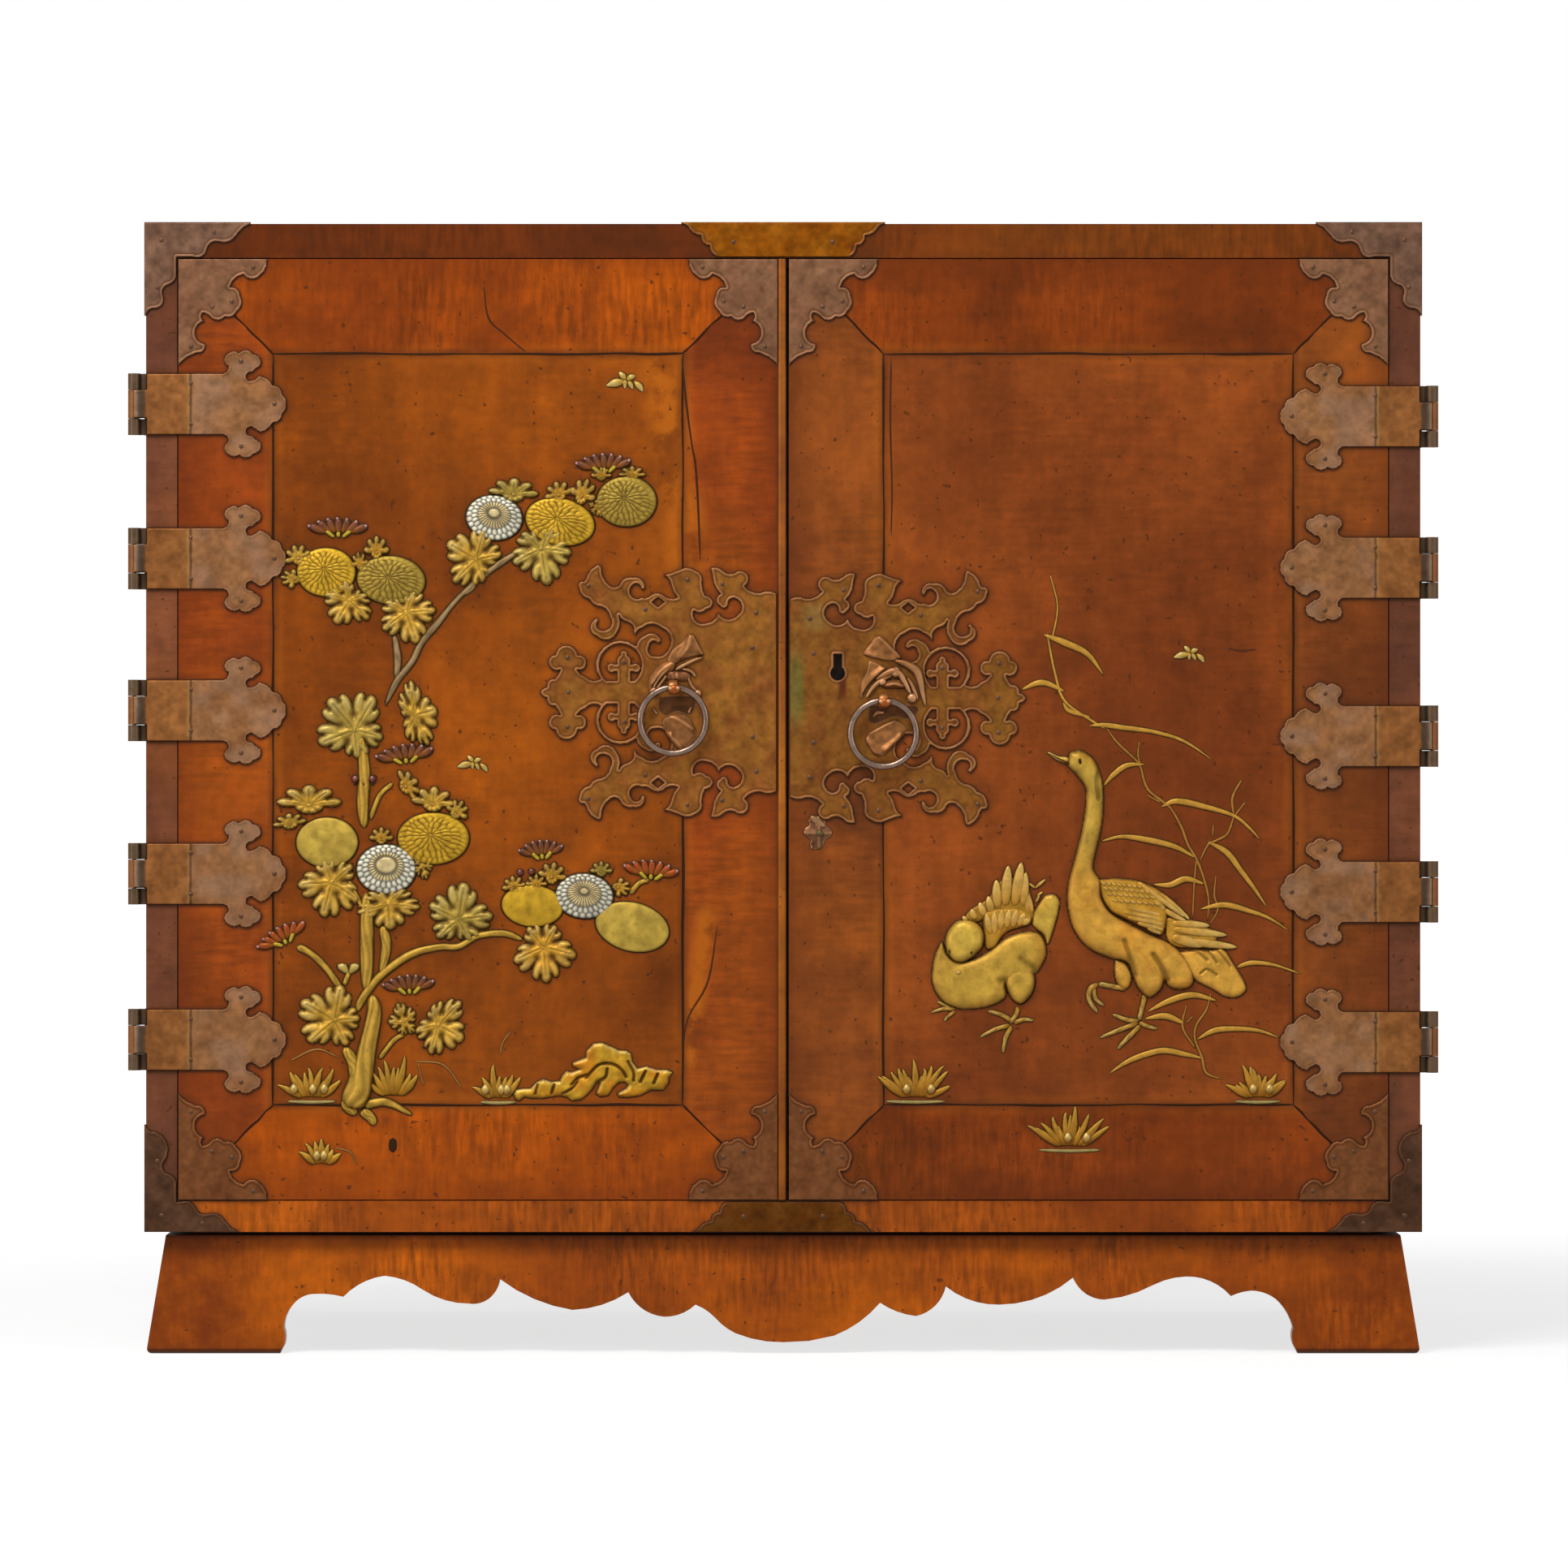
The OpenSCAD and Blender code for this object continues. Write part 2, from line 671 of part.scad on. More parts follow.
// Strap with its middle knuckle, for a hinge at height z on the left
module strap(z) {
    translate([-half_w + free_gap, 0, z])
        upright(plate_front, plate_t) polygon(both_halves(traced(strap_top)));
    difference() {
        union() {
            translate([-hinge_x, hinge_y, z - knuckle_h / 2]) cylinder(r = barrel_r, h = knuckle_h);
            translate([-hinge_x, plate_front, z - knuckle_h / 2])
                cube([hinge_x - half_w + free_gap + cut, plate_t, knuckle_h]);
        }
        translate([-hinge_x, hinge_y, z - knuckle_h]) cylinder(r = pin_r + bore_gap, h = 2 * knuckle_h);
    }
}

module hinge_straps(side, heights) {
    color(copper) at_front() on_side(side) for (z = heights) strap(z);
}

// Side leaf with its two outer knuckles
module side_leaf(z) {
    arm_h = strap_half - knuckle_h / 2 - knuckle_gap;
    tip = leaf_len - 16;
    translate([-half_w - plate_t, leaf_y, z]) rotate([90, 0, 90]) linear_extrude(plate_t)
        polygon(both_halves(traced([
            [0, strap_half], [tip / 2, strap_half], [tip - 18, strap_half],
            [tip - 14, strap_half + 1], [tip - 12, strap_half + 6], [tip - 6, strap_half + 8],
            [tip, strap_half + 1], [tip - 3, strap_half - 5], [tip + 1, strap_half - 9],
            [tip + 12, 8], [leaf_len, 0]
        ])));
    for (low = [-strap_half, knuckle_h / 2 + knuckle_gap]) difference() {
        union() {
            translate([-hinge_x, hinge_y, z + low]) cylinder(r = barrel_r, h = arm_h);
            translate([-hinge_x, leaf_y, z + low])
                cube([hinge_x - half_w, plate_t, arm_h]);
        }
        translate([-hinge_x, hinge_y, z + low - cut]) cylinder(r = pin_r, h = arm_h + 2 * cut);
    }
}

module hinge_leaves(side, heights) {
    color(copper) at_front() on_side(side) for (z = heights) side_leaf(z);
}

module hinge_pins() {
    color(iron) at_front() {
        for (z = left_hinge_z)
            translate([-hinge_x, hinge_y, z - strap_half]) cylinder(r = pin_r, h = 2 * strap_half);
        for (z = right_hinge_z)
            translate([hinge_x, hinge_y, z - strap_half]) cylinder(r = pin_r, h = 2 * strap_half);
    }
}

// A low domed nail head, standing on z = 0
module nail_head() {
    intersection() {
        cylinder(r = nail_r, h = nail_h);
        translate([0, 0, nail_h - nail_dome]) sphere(r = nail_dome);
    }
}

module nail(x, y, z) {
    translate([x, y, z]) rotate([90, 0, 0]) nail_head();
}

module side_nail(x, y, z) {
    translate([x, y, z]) rotate([0, -90, 0]) nail_head();
}

// Nails of the case mounts: from the tip of an arm, from the tip of a drop, and from the corner
arm_nail = [26, 6];
top_drop_nail = [8, 20];
bottom_drop_nail = [8, 26];
corner_nail = [11, 11.5];
top_centre_nail = [35, 13];
bottom_centre_nail = [28, 11];

module case_nails() {
    color(copper) at_front() for (side = [-1, 1]) on_side(side) {
        for (n = [[case_arm - arm_nail.x, arm_nail.y], corner_nail,
            [top_drop_nail.x, top_drop - top_drop_nail.y], [half_w - top_centre_nail.x, top_centre_nail.y]])
            nail(-half_w + n.x, -mount_t, top_z - n.y);
        for (n = [[bottom_arm - arm_nail.x, arm_nail.y], corner_nail,
            [bottom_drop_nail.x, bottom_drop - bottom_drop_nail.y],
            [half_w - bottom_centre_nail.x, bottom_centre_nail.y]])
            nail(-half_w + n.x, -mount_t, case_z + n.y);
        for (n = leaf_nails, z = side < 0 ? left_hinge_z : right_hinge_z)
            side_nail(-half_w - plate_t, leaf_y + n.x, z + n.y);
    }
}

// Door joinery, drawn for the left door between its outer and its meeting edge
module frame_grooves() {
    depth = groove_depth + groove_gap;
    x0 = -door_outer + frame_w - depth;
    x1 = -meet_half - frame_w + depth;
    translate([x0, door_front + tongue_out - groove_gap, door_low + frame_w - depth])
        cube([x1 - x0, tongue_t + 2 * groove_gap, door_high - door_low - 2 * (frame_w - depth)]);
}

module door_stiles(side) {
    color(wood) at_front() on_side(side) difference() {
        upright(door_front, door_t) {
            polygon([[-door_outer, door_low], [-door_outer, door_high],
                [-door_outer + frame_w, door_high - frame_w], [-door_outer + frame_w, door_low + frame_w]]);
            polygon([[-meet_half, door_low], [-meet_half, door_high],
                [-meet_half - frame_w, door_high - frame_w], [-meet_half - frame_w, door_low + frame_w]]);
        }
        frame_grooves();
        if (side > 0) mirror([1, 0, 0]) keyhole(door_front - cut, door_t + 2 * cut);
    }
}

module door_rails(side) {
    color(wood) at_front() on_side(side) difference() {
        upright(door_front, door_t) for (up = [0, 1]) {
            edge = up ? door_high : door_low;
            inner = up ? door_high - frame_w : door_low + frame_w;
            polygon([[-door_outer, edge], [-meet_half, edge],
                [-meet_half - frame_w, inner], [-door_outer + frame_w, inner]]);
        }
        frame_grooves();
    }
}

module door_panel(side) {
    x0 = -door_outer + frame_w + groove_gap;
    x1 = -meet_half - frame_w - groove_gap;
    z0 = door_low + frame_w + groove_gap;
    z1 = door_high - frame_w - groove_gap;
    color(wood) at_front() on_side(side) {
        translate([x0, door_front, z0]) cube([x1 - x0, panel_t, z1 - z0]);
        translate([x0 - groove_depth, door_front + tongue_out, z0 - groove_depth])
            cube([x1 - x0 + 2 * groove_depth, tongue_t, z1 - z0 + 2 * groove_depth]);
    }
}

// Half-round bead planted on the left door's meeting edge
module left_door_bead() {
    middle = bead_depth / 2;
    round_x = 0.1 * bead_w;
    round_y = -0.67 * bead_rise;
    color(wood_light) at_front()
        translate([-meet_half, door_front, door_low]) linear_extrude(door_high - door_low)
            polygon(traced([
                [0, bead_depth], [0, middle], [0, 0], [round_x, round_y], [bead_w / 2, -bead_rise],
                [bead_w - round_x, round_y], [bead_w, 0], [bead_w, middle], [bead_w, bead_depth]]));
}

// Keyhole through whatever lies on the right door between y = from and from + depth
module keyhole(from, depth) {
    translate([plate_edge + keyhole_u, 0, right_plate_z + keyhole_v]) upright(from, depth) {
        circle(r = keyhole_r);
        translate([-keyhole_w / 2, 0]) square([keyhole_w, keyhole_top]);
    }
}

// Upper half of a lock plate's outline, from its meeting edge out to the tip of the cross
plate_edge_half = 70;
plate_top = [
    [0, plate_edge_half], [6, 71.6], [11.5, 70.3], [17, 71], [22.5, 75], [21.2, 76.2], [20, 78],
    [21.6, 84.6], [27.5, 85.6], [33, 83.7], [37.5, 85.6], [42, 88.3], [46.5, 88], [45.1, 82],
    [44.3, 77], [42.4, 73], [39.6, 69.5], [42.6, 65.5], [40, 61.2], [36.8, 59.4], [34.3, 62],
    [32.8, 65.8], [29.5, 66.5], [24.6, 61], [27.5, 54.5], [34, 51.6], [41, 56.6], [43.6, 51.6],
    [50, 48.8], [57, 50.6], [58.5, 57.6], [53.8, 56.2], [49.5, 58.6], [45.6, 60.8], [45, 65],
    [47.2, 67.4], [50.5, 68.5], [52.2, 73], [52.6, 77.5], [53.2, 83], [57, 86], [63, 88.2],
    [68.5, 86.5], [74, 84.4], [79.8, 83], [76, 80], [74.3, 75.5], [72.6, 70.6], [69.8, 67],
    [74, 66.2], [78, 67.4], [83.5, 70.2], [88.5, 68.8], [91.5, 66.9], [95.2, 67], [103.4, 70],
    [101.5, 75.8], [98, 76.8], [95.8, 73.8], [94.6, 72.8], [93.2, 72.6], [94.8, 79.6],
    [101.5, 81.2], [108, 80], [111, 75.8], [114, 74.3], [117, 75], [121.5, 79.5], [123.6, 87],
    [124.7, 89.6], [126.8, 89.8], [130.8, 87.2], [133.8, 83], [134.4, 80.5], [135.8, 78.5],
    [139.5, 77.3], [139.4, 73.5], [137.4, 68.6], [132.4, 66], [130.2, 63], [127, 61],
    [120.4, 58.6], [117.6, 53], [118.4, 45], [123.5, 43.9], [127, 46.6], [125.5, 50.8],
    [127, 52.4], [128.8, 51.2], [131.6, 44.6], [127, 39.8], [118.6, 37], [113, 41.5],
    [110.4, 47.6], [111.3, 54.5], [109.6, 51.8], [106, 50], [102.8, 48.4], [100.8, 45.5],
    [100.9, 42.6], [99.8, 40.3], [98, 43.7], [94.5, 45.6], [87.5, 48.2], [81.5, 45.7],
    [74.6, 38], [77, 29.5], [80.8, 25.9], [85.8, 25.6], [90.4, 28.4], [89.8, 33], [87.4, 36.2],
    [84, 34.8], [82.4, 35.3], [81.3, 36.5], [86, 41.7], [93, 40.2], [96.8, 37.8], [99.1, 32.8],
    [110.2, 36.9], [121.8, 32.1], [128, 20], [124.3, 9.5], [126.6, 8.6], [129, 8.3],
    [132, 9], [134.5, 11], [138.4, 13], [141, 16], [136.8, 16.2], [134.2, 20.5], [135.9, 25.3],
    [140.3, 26.3], [142.4, 30.8], [148.2, 33.4], [154, 31], [156, 26.5], [160.2, 24.3],
    [160.3, 18.8], [156.8, 15.6], [152.6, 16], [154.2, 12.4], [156.5, 9.5], [161, 8],
    [162, 3.8], [164.8, 2.6], [167, 0]
];
scroll_at = [110.2, 19.4];
scroll_bore = 14.8;
arm_half = 8.3;
plate_nails = [
    [38.2, 76.3], [62.8, 79.5], [92.6, 58.5], [132.8, 75], [107.6, 21.2], [147.6, 24.4], [14.2, 56],
    [16.8, 31.5]
];
plate_tip_nail = 147;

// Lobes of the trefoil inside a scroll, as middle and radius, about the middle of its stem
trefoil_at = [107.8, 0];
trefoil_lobes = [[-8.6, 17.3, 3.3], [8.6, 17.3, 3.3], [0, 21.8, 5], [0, 27, 2.6]];
trefoil_stem = [9.6, 21];
trefoil_bar = [17.2, 5];
diamond_at = [83.6, 63.8];
diamond_half = [4.3, 3.4];

// Open space round the trefoil inside a scroll
module scroll_void() {
    difference() {
        translate(scroll_at) circle(r = scroll_bore);
        translate([scroll_at.x, 0]) square([3 * scroll_bore, 2 * arm_half], center = true);
        translate(trefoil_at) {
            translate([-trefoil_stem.x / 2, 0]) square(trefoil_stem);
            translate([-trefoil_bar.x / 2, trefoil_lobes[0].y - trefoil_bar.y / 2]) square(trefoil_bar);
            for (p = trefoil_lobes) translate([p[0], p[1]]) circle(r = p[2]);
        }
    }
}

module diamond_hole() {
    translate(diamond_at) polygon([[-diamond_half.x, 0], [0, -diamond_half.y],
        [diamond_half.x, 0], [0, diamond_half.y]]);
}

module lock_plate_outline() {
    difference() {
        polygon(both_halves(traced(plate_top)));
        for (down = [0, 1]) mirror([0, down, 0]) {
            scroll_void();
            diamond_hole();
        }
    }
}

module lock_plate(side, z) {
    color(copper) at_front() difference() {
        on_side(side) translate([-plate_edge, 0, z]) upright(plate_front, plate_t)
            mirror([1, 0, 0]) lock_plate_outline();
        if (side > 0) keyhole(plate_front - cut, plate_t + 2 * cut);
    }
}

// Crossed leaves and the eye that holds a ring, about the ring's pivot; -y is outwards
module leaf_blade(tips, ridge_a, ridge_b) {
    hull() {
        for (p = tips) translate([p.x, -1, p.y]) rotate([-90, 0, 0]) cylinder(r = 1.2, h = 1, $fn = 12);
        translate([ridge_a.x, -leaf_h, ridge_a.y]) sphere(r = 0.8, $fn = 16);
        translate([ridge_b.x, -leaf_h, ridge_b.y]) sphere(r = 0.8, $fn = 16);
    }
}

module ribbon(a, b, ra, rb) {
    hull() {
        translate([a.x, 0, a.y]) sphere(r = ra, $fn = 24);
        translate([b.x, 0, b.y]) sphere(r = rb, $fn = 24);
    }
}

module ring_boss_shape() {
    difference() {
        union() {
            leaf_blade([[18, 26], [8, 41], [-7, 29], [0, 24]], [8, 38], [4, 26]);
            leaf_blade([[14, -23], [-3, -6], [-7, -27], [4, -39]], [-1, -12], [3, -35]);
            ribbon([19, 25], [-6, 17], 2.6, 4.6);
            ribbon([-6, 17], [-18, 4], 4.6, 3.4);
            ribbon([-4, 15], [11, 7], 3.6, 2.8);
            rotate([90, 0, 0]) cylinder(r = boss_base_r, h = boss_base_t);
            translate([-eye_w / 2, -pivot_out, -eye_r * 0.7]) cube([eye_w, pivot_out, eye_r * 1.7]);
            translate([0, -pivot_out, 0]) rotate([0, 90, 0]) cylinder(r = eye_r, h = eye_w, center = true);
            translate([0, -ball_out, 0]) sphere(r = ball_r);
        }
        translate([0, -pivot_out, 0]) rotate([0, 90, 0])
            cylinder(r = eye_bore, h = 3 * eye_w, center = true);
        translate([-boss_half, 0, -boss_half]) cube(2 * boss_half);
    }
}

module ring_boss(side, u, v, z) {
    color(copper) at_front() on_side(side)
        translate([-plate_edge - u, plate_front, z + v]) ring_boss_shape();
}

module door_ring(side, u, v, z) {
    color(iron) at_front() on_side(side)
        translate([-plate_edge - u, ring_y, z + v - ring_r]) rotate([90, 0, 0])
            rotate_extrude() translate([ring_r, 0]) circle(r = wire_r);
}

// Fretted corner mount of a door, from its corner
door_corner = [
    [0, 0], [31, 0], [63, 0], [62, 6.5], [56.5, 13], [50.5, 14.3], [46, 11], [40, 14],
    [36.5, 20], [41.6, 21.2], [43.8, 26], [44.8, 32], [41.5, 37], [38.4, 40.6], [33, 41],
    [28, 43.6], [23, 41.6], [20.6, 39.2], [17.2, 38.3], [16.4, 41.4], [18.6, 44], [13.6, 47],
    [11.8, 52.5], [13.8, 57.6], [19, 60], [18.2, 64.6], [13, 66.5], [6, 69.6], [0, 75],
    [0, 37], [0, 0]
];
corner_nails = [[53, 6], [38, 30], [9, 62], [24, 34]];

module each_door_corner() {
    for (low = [0, 1], inner = [0, 1])
        translate([inner ? -meet_half : -door_outer, 0, low ? door_low : door_high])
            mirror([inner, 0, 0]) mirror([0, 0, low]) children();
}

module door_corner_mounts(side) {
    color(copper) at_front() on_side(side) each_door_corner()
        mirror([0, 0, 1]) translate([0, door_front, 0]) rotate([90, 0, 0]) linear_extrude(mount_t)
            polygon(traced(door_corner));
}

module door_nails(side, z, heights) {
    color(copper) at_front() on_side(side) {
        each_door_corner() for (n = corner_nails) nail(n.x, door_front - mount_t, -n.y);
        for (n = plate_nails, up = [-1, 1])
            nail(-plate_edge - n.x, plate_front, z + up * n.y);
        nail(-plate_edge - plate_tip_nail, plate_front, z);
        for (n = hinge_nails, h = heights)
            nail(-half_w + free_gap + n.x, plate_front, h + n.y);
    }
}

// Lock on the back of the right door, with its bolt above the keyhole
module lock_case() {
    y = door_back;
    color(iron) at_front() translate([0, 0, right_plate_z]) difference() {
        translate([lock_x, y, lock_low]) cube([lock_w, lock_case_t, lock_high - lock_low]);
        translate([lock_x + lock_wall, y - cut, lock_low + lock_wall])
            cube([lock_w - 2 * lock_wall, lock_case_t - lock_wall + cut,
                lock_bolt_v - free_gap - lock_low - lock_wall]);
        translate([lock_x - cut, lock_bolt_y - free_gap, lock_bolt_v - free_gap])
            cube([lock_bolt_len + lock_wall + cut, lock_bolt_t + 2 * free_gap, lock_bolt_h + 2 * free_gap]);
    }
}

module lock_bolt() {
    color(iron) at_front() translate([lock_x, lock_bolt_y, right_plate_z + lock_bolt_v])
        cube([lock_bolt_len, lock_bolt_t, lock_bolt_h]);
}

// Box staple on the back of the left door that takes the lock bolt
module lock_strike() {
    x = -meet_half - strike_gap - strike_w;
    z = right_plate_z + lock_bolt_v - mortise_gap;
    inner_h = lock_bolt_h + 2 * mortise_gap;
    inner_t = lock_bolt_y - door_back + lock_bolt_t + mortise_gap;
    color(iron) at_front() difference() {
        translate([x, door_back, z - strike_ear])
            cube([strike_w, inner_t + lock_wall, inner_h + 2 * strike_ear]);
        translate([x + strike_end, door_back - cut, z]) cube([strike_w, inner_t + cut, inner_h]);
        for (from = [z - strike_ear - cut, z + inner_h + lock_wall])
            translate([x - cut, door_back + strike_ear_t, from])
                cube([strike_w + 2 * cut, inner_t + cut, strike_ear + cut - lock_wall]);
    }
}

// Flush bolts: a flat bar with a finger knob, drawn upwards for the top one
module flush_bolt() {
    color(iron) union() {
        translate([-bolt_w / 2, 0, -bolt_len]) cube([bolt_w, bolt_t, bolt_len]);
        translate([0, bolt_t / 2, -bolt_len / 2]) rotate([-90, 0, 0])
            cylinder(r = bolt_knob_r, h = bolt_t / 2 + bolt_knob_h);
    }
}

module staples() {
    for (drop = staple_drops) translate([0, 0, -drop - staple_h / 2]) difference() {
        translate([-bolt_w / 2 - staple_foot, door_back - bolt_y, 0])
            cube([bolt_w + 2 * staple_foot, bolt_y - door_back + bolt_t + free_gap + staple_t, staple_h]);
        translate([-bolt_w / 2 - free_gap, -free_gap, -cut])
            cube([bolt_w + 2 * free_gap, bolt_t + 2 * free_gap, staple_h + 2 * cut]);
        for (side = [0, 1]) mirror([side, 0, 0])
            translate([bolt_w / 2 + free_gap + staple_t, door_back - bolt_y + staple_t, -cut])
                cube([staple_foot, 2 * bolt_t + staple_t, staple_h + 2 * cut]);
    }
}

module left_door_top_bolt() {
    at_front() translate([bolt_x, bolt_y, door_high - bolt_rest]) flush_bolt();
}

module left_door_bottom_bolt() {
    at_front() translate([bolt_x, bolt_y, door_low + bolt_rest]) mirror([0, 0, 1]) flush_bolt();
}

module left_bolt_staples() {
    color(iron) at_front() {
        translate([bolt_x, bolt_y, door_high - bolt_rest]) staples();
        translate([bolt_x, bolt_y, door_low + bolt_rest]) mirror([0, 0, 1]) staples();
    }
}

// Four-petal mount below the right lock plate
rosette_at = [24, 367.5];
module right_door_rosette() {
    color(copper) at_front() translate([rosette_at.x, 0, rosette_at.y])
        upright(door_front - mount_t, mount_t) union() {
            circle(r = 5);
            for (a = [0:90:270]) rotate(a + 45) translate([6, 0]) circle(r = 3.6);
            for (a = [0:90:270]) rotate(a) translate([6.6, 0]) circle(r = 1.8);
        }
}

carcase_top();
carcase_bottom();
carcase_side(-1);  // carcase_left_side
carcase_side(1);  // carcase_right_side
carcase_back();
door_stops();
dust_boards();
drawer_dividers();
stand_front_apron();
stand_back_rail();
stand_end(-1);  // stand_left_end
stand_end(1);  // stand_right_end
stand_corner_blocks();
stand_top_rails();
top_centre_mount();
bottom_centre_mount();
case_top_corner_mounts();
case_bottom_corner_mounts();
hinge_leaves(-1, left_hinge_z);  // left_hinge_leaves
hinge_leaves(1, right_hinge_z);  // right_hinge_leaves
hinge_pins();
case_nails();
drawer(0);  // drawer_1
drawer(1);  // drawer_2
drawer(2);  // drawer_3
drawer(3);  // drawer_4
drawer(4);  // drawer_5
drawer(5);  // drawer_6
drawer(6);  // drawer_7
drawer(7);  // drawer_8
drawer(8);  // drawer_9
drawer(9);  // drawer_10
drawer_pulls();
door_stiles(-1);  // left_door_stiles
door_rails(-1);  // left_door_rails
door_panel(-1);  // left_door_panel
left_door_bead();
lock_plate(-1, left_plate_z);  // left_lock_plate
ring_boss(-1, left_ring_u, left_ring_v, left_plate_z);  // left_ring_boss
door_corner_mounts(-1);  // left_door_corner_mounts
hinge_straps(-1, left_hinge_z);  // left_hinge_straps
door_nails(-1, left_plate_z, left_hinge_z);  // left_door_nails
lock_strike();
left_bolt_staples();
door_stiles(1);  // right_door_stiles
door_rails(1);  // right_door_rails
door_panel(1);  // right_door_panel
lock_plate(1, right_plate_z);  // right_lock_plate
ring_boss(1, right_ring_u, right_ring_v, right_plate_z);  // right_ring_boss
door_corner_mounts(1);  // right_door_corner_mounts
hinge_straps(1, right_hinge_z);  // right_hinge_straps
door_nails(1, right_plate_z, right_hinge_z);  // right_door_nails
lock_case();
right_door_rosette();
door_ring(-1, left_ring_u, left_ring_v, left_plate_z);  // left_ring
door_ring(1, right_ring_u, right_ring_v, right_plate_z);  // right_ring
lock_bolt();
left_door_top_bolt();
left_door_bottom_bolt();
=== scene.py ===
# %% [markdown]
# # A lacquer cabinet, dressed on its CAD frame
# The cabinet is two framed doors on a low splayed stand, covered in red-brown lacquer, with pierced
# copper mounts and raised gold decoration. The CAD frame already has every board, hinge and bolt in
# place, so this lesson adds what a solid can't show: figured wood, worn copper with a raised rim, and
# flowers, leaves and geese modelled in low relief. First the frame is loaded and measured.

import bmesh
import bpy
import numpy as np
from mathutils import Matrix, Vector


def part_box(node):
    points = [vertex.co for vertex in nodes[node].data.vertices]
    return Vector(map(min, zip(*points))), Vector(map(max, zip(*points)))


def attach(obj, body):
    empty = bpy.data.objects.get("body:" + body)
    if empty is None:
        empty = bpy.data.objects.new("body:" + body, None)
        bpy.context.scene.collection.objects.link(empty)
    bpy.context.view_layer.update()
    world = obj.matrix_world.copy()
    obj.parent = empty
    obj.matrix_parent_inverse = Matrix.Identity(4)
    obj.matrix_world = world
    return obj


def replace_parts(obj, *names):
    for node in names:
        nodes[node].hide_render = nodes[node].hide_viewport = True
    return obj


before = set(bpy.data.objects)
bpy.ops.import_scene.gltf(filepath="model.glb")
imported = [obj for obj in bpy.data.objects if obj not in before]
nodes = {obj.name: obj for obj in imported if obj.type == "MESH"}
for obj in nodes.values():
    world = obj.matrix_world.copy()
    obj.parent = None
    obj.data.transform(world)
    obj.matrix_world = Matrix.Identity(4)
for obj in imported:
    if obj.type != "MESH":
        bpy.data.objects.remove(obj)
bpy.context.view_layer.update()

MM = 0.001
door_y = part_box("left_door_panel")[0].y / MM
plate_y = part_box("left_lock_plate")[0].y / MM
mount_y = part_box("left_door_corner_mounts")[0].y / MM
case_mount_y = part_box("top_centre_mount")[0].y / MM
print("front of the doors", round(door_y, 2), "mm, of the lock plates", round(plate_y, 2), "mm")

# %% [markdown]
# The decoration is placed by where it lies in the picture. The cabinet is seen straight on, so one
# pixel is the same length all over the front, and a place is found with one multiplication.

# %% From the picture to the front of the cabinet
PIXEL = 0.5732
PICTURE = 1932
MIDDLE, FLOOR = 965, 1668


def at(points):
    """Millimetres across and up: pixels counted from the middle column and up from the floor line,
    times the length of a pixel."""
    p = np.asarray(points, float)
    return np.stack([p[..., 0] - MIDDLE, FLOOR - p[..., 1]], -1) * PIXEL


def enlarged(points, corner, times):
    """Places read on an enlarged detail: the detail's corner plus the place divided by its scale.
    A third value, a half width, is only divided."""
    p = np.array(points, float)
    p[:, :2] = np.array(corner) + p[:, :2] / times
    if p.shape[1] > 2:
        p[:, 2] /= times
    return p


print("the meeting edge is at", at([965, 900]))

# %% [markdown]
# ## The picture
# The camera stands six metres off with a long lens, level with the middle of the front, because the
# photo shows hardly any perspective. A flat camera without any perspective would also fit, but it
# would hide the thickness of the hinges at the two sides.

# %% Camera
scene = bpy.context.scene
scene.view_settings.view_transform = "Standard"
DISTANCE = 6.0
SEEN_WIDTH = PICTURE * PIXEL * MM

camera_data = bpy.data.cameras.new("camera")
camera_data.sensor_width = 36
camera_data.lens = 36 * DISTANCE / SEEN_WIDTH
camera_data.clip_end = 100
camera = bpy.data.objects.new("camera", camera_data)
across, up = at([PICTURE / 2, PICTURE / 2]) * MM
camera.location = (across, door_y * MM - DISTANCE, up)
camera.rotation_euler = (np.pi / 2, 0, 0)
scene.collection.objects.link(camera)
scene.camera = camera
print("camera", round(camera_data.lens), "mm lens at", [round(v, 3) for v in camera.location])

# %% [markdown]
# The main lamp hangs above and in front, so that every raised edge gets a bright upper side and a
# dark foot, and two weaker ones stand at the sides. Large square lamps give the soft edges that the
# photo's shadows have, where a sun or a point would cut them sharp.

# %% Lamps
AIMED_AT = np.array([0, -0.2, 0.4])


def lamp(name, place, size, watts):
    """A square lamp that faces the middle of the front. Its tilt is the angle of the aim away from
    straight down, and its turn the angle of the aim seen from above."""
    data = bpy.data.lights.new(name, "AREA")
    data.size, data.energy = size, watts
    it = bpy.data.objects.new(name, data)
    it.location = place
    aim = AIMED_AT - np.array(place)
    it.rotation_euler = (np.arctan2(np.hypot(aim[0], aim[1]), -aim[2]), 0, np.arctan2(-aim[0], aim[1]))
    scene.collection.objects.link(it)


lamp("key_lamp", (-0.9, -2.3, 3.0), 1.5, 100)
lamp("left_lamp", (-2.9, -2.3, 1.0), 1.3, 25)
lamp("right_lamp", (2.9, -2.5, 1.2), 1.6, 20)

# %% [markdown]
# A material is a chain of small nodes, and most of them only reckon with numbers. Joining them by
# hand takes many lines, so three helpers add a node, take a sum or product, and stretch a range.


# %% Helpers for shader nodes
def node(tree, kind, settings=None, **inputs):
    """Adds a shader node; an input named _0 is the first socket, and a socket given as a value is
    joined up."""
    made = tree.nodes.new("ShaderNode" + kind)
    for key, value in (settings or {}).items():
        setattr(made, key, value)
    for key, value in inputs.items():
        socket = made.inputs[int(key[1:])] if key[0] == "_" else made.inputs[key.replace("_", " ")]
        if isinstance(value, bpy.types.NodeSocket):
            tree.links.new(value, socket)
        else:
            socket.default_value = value
    return made


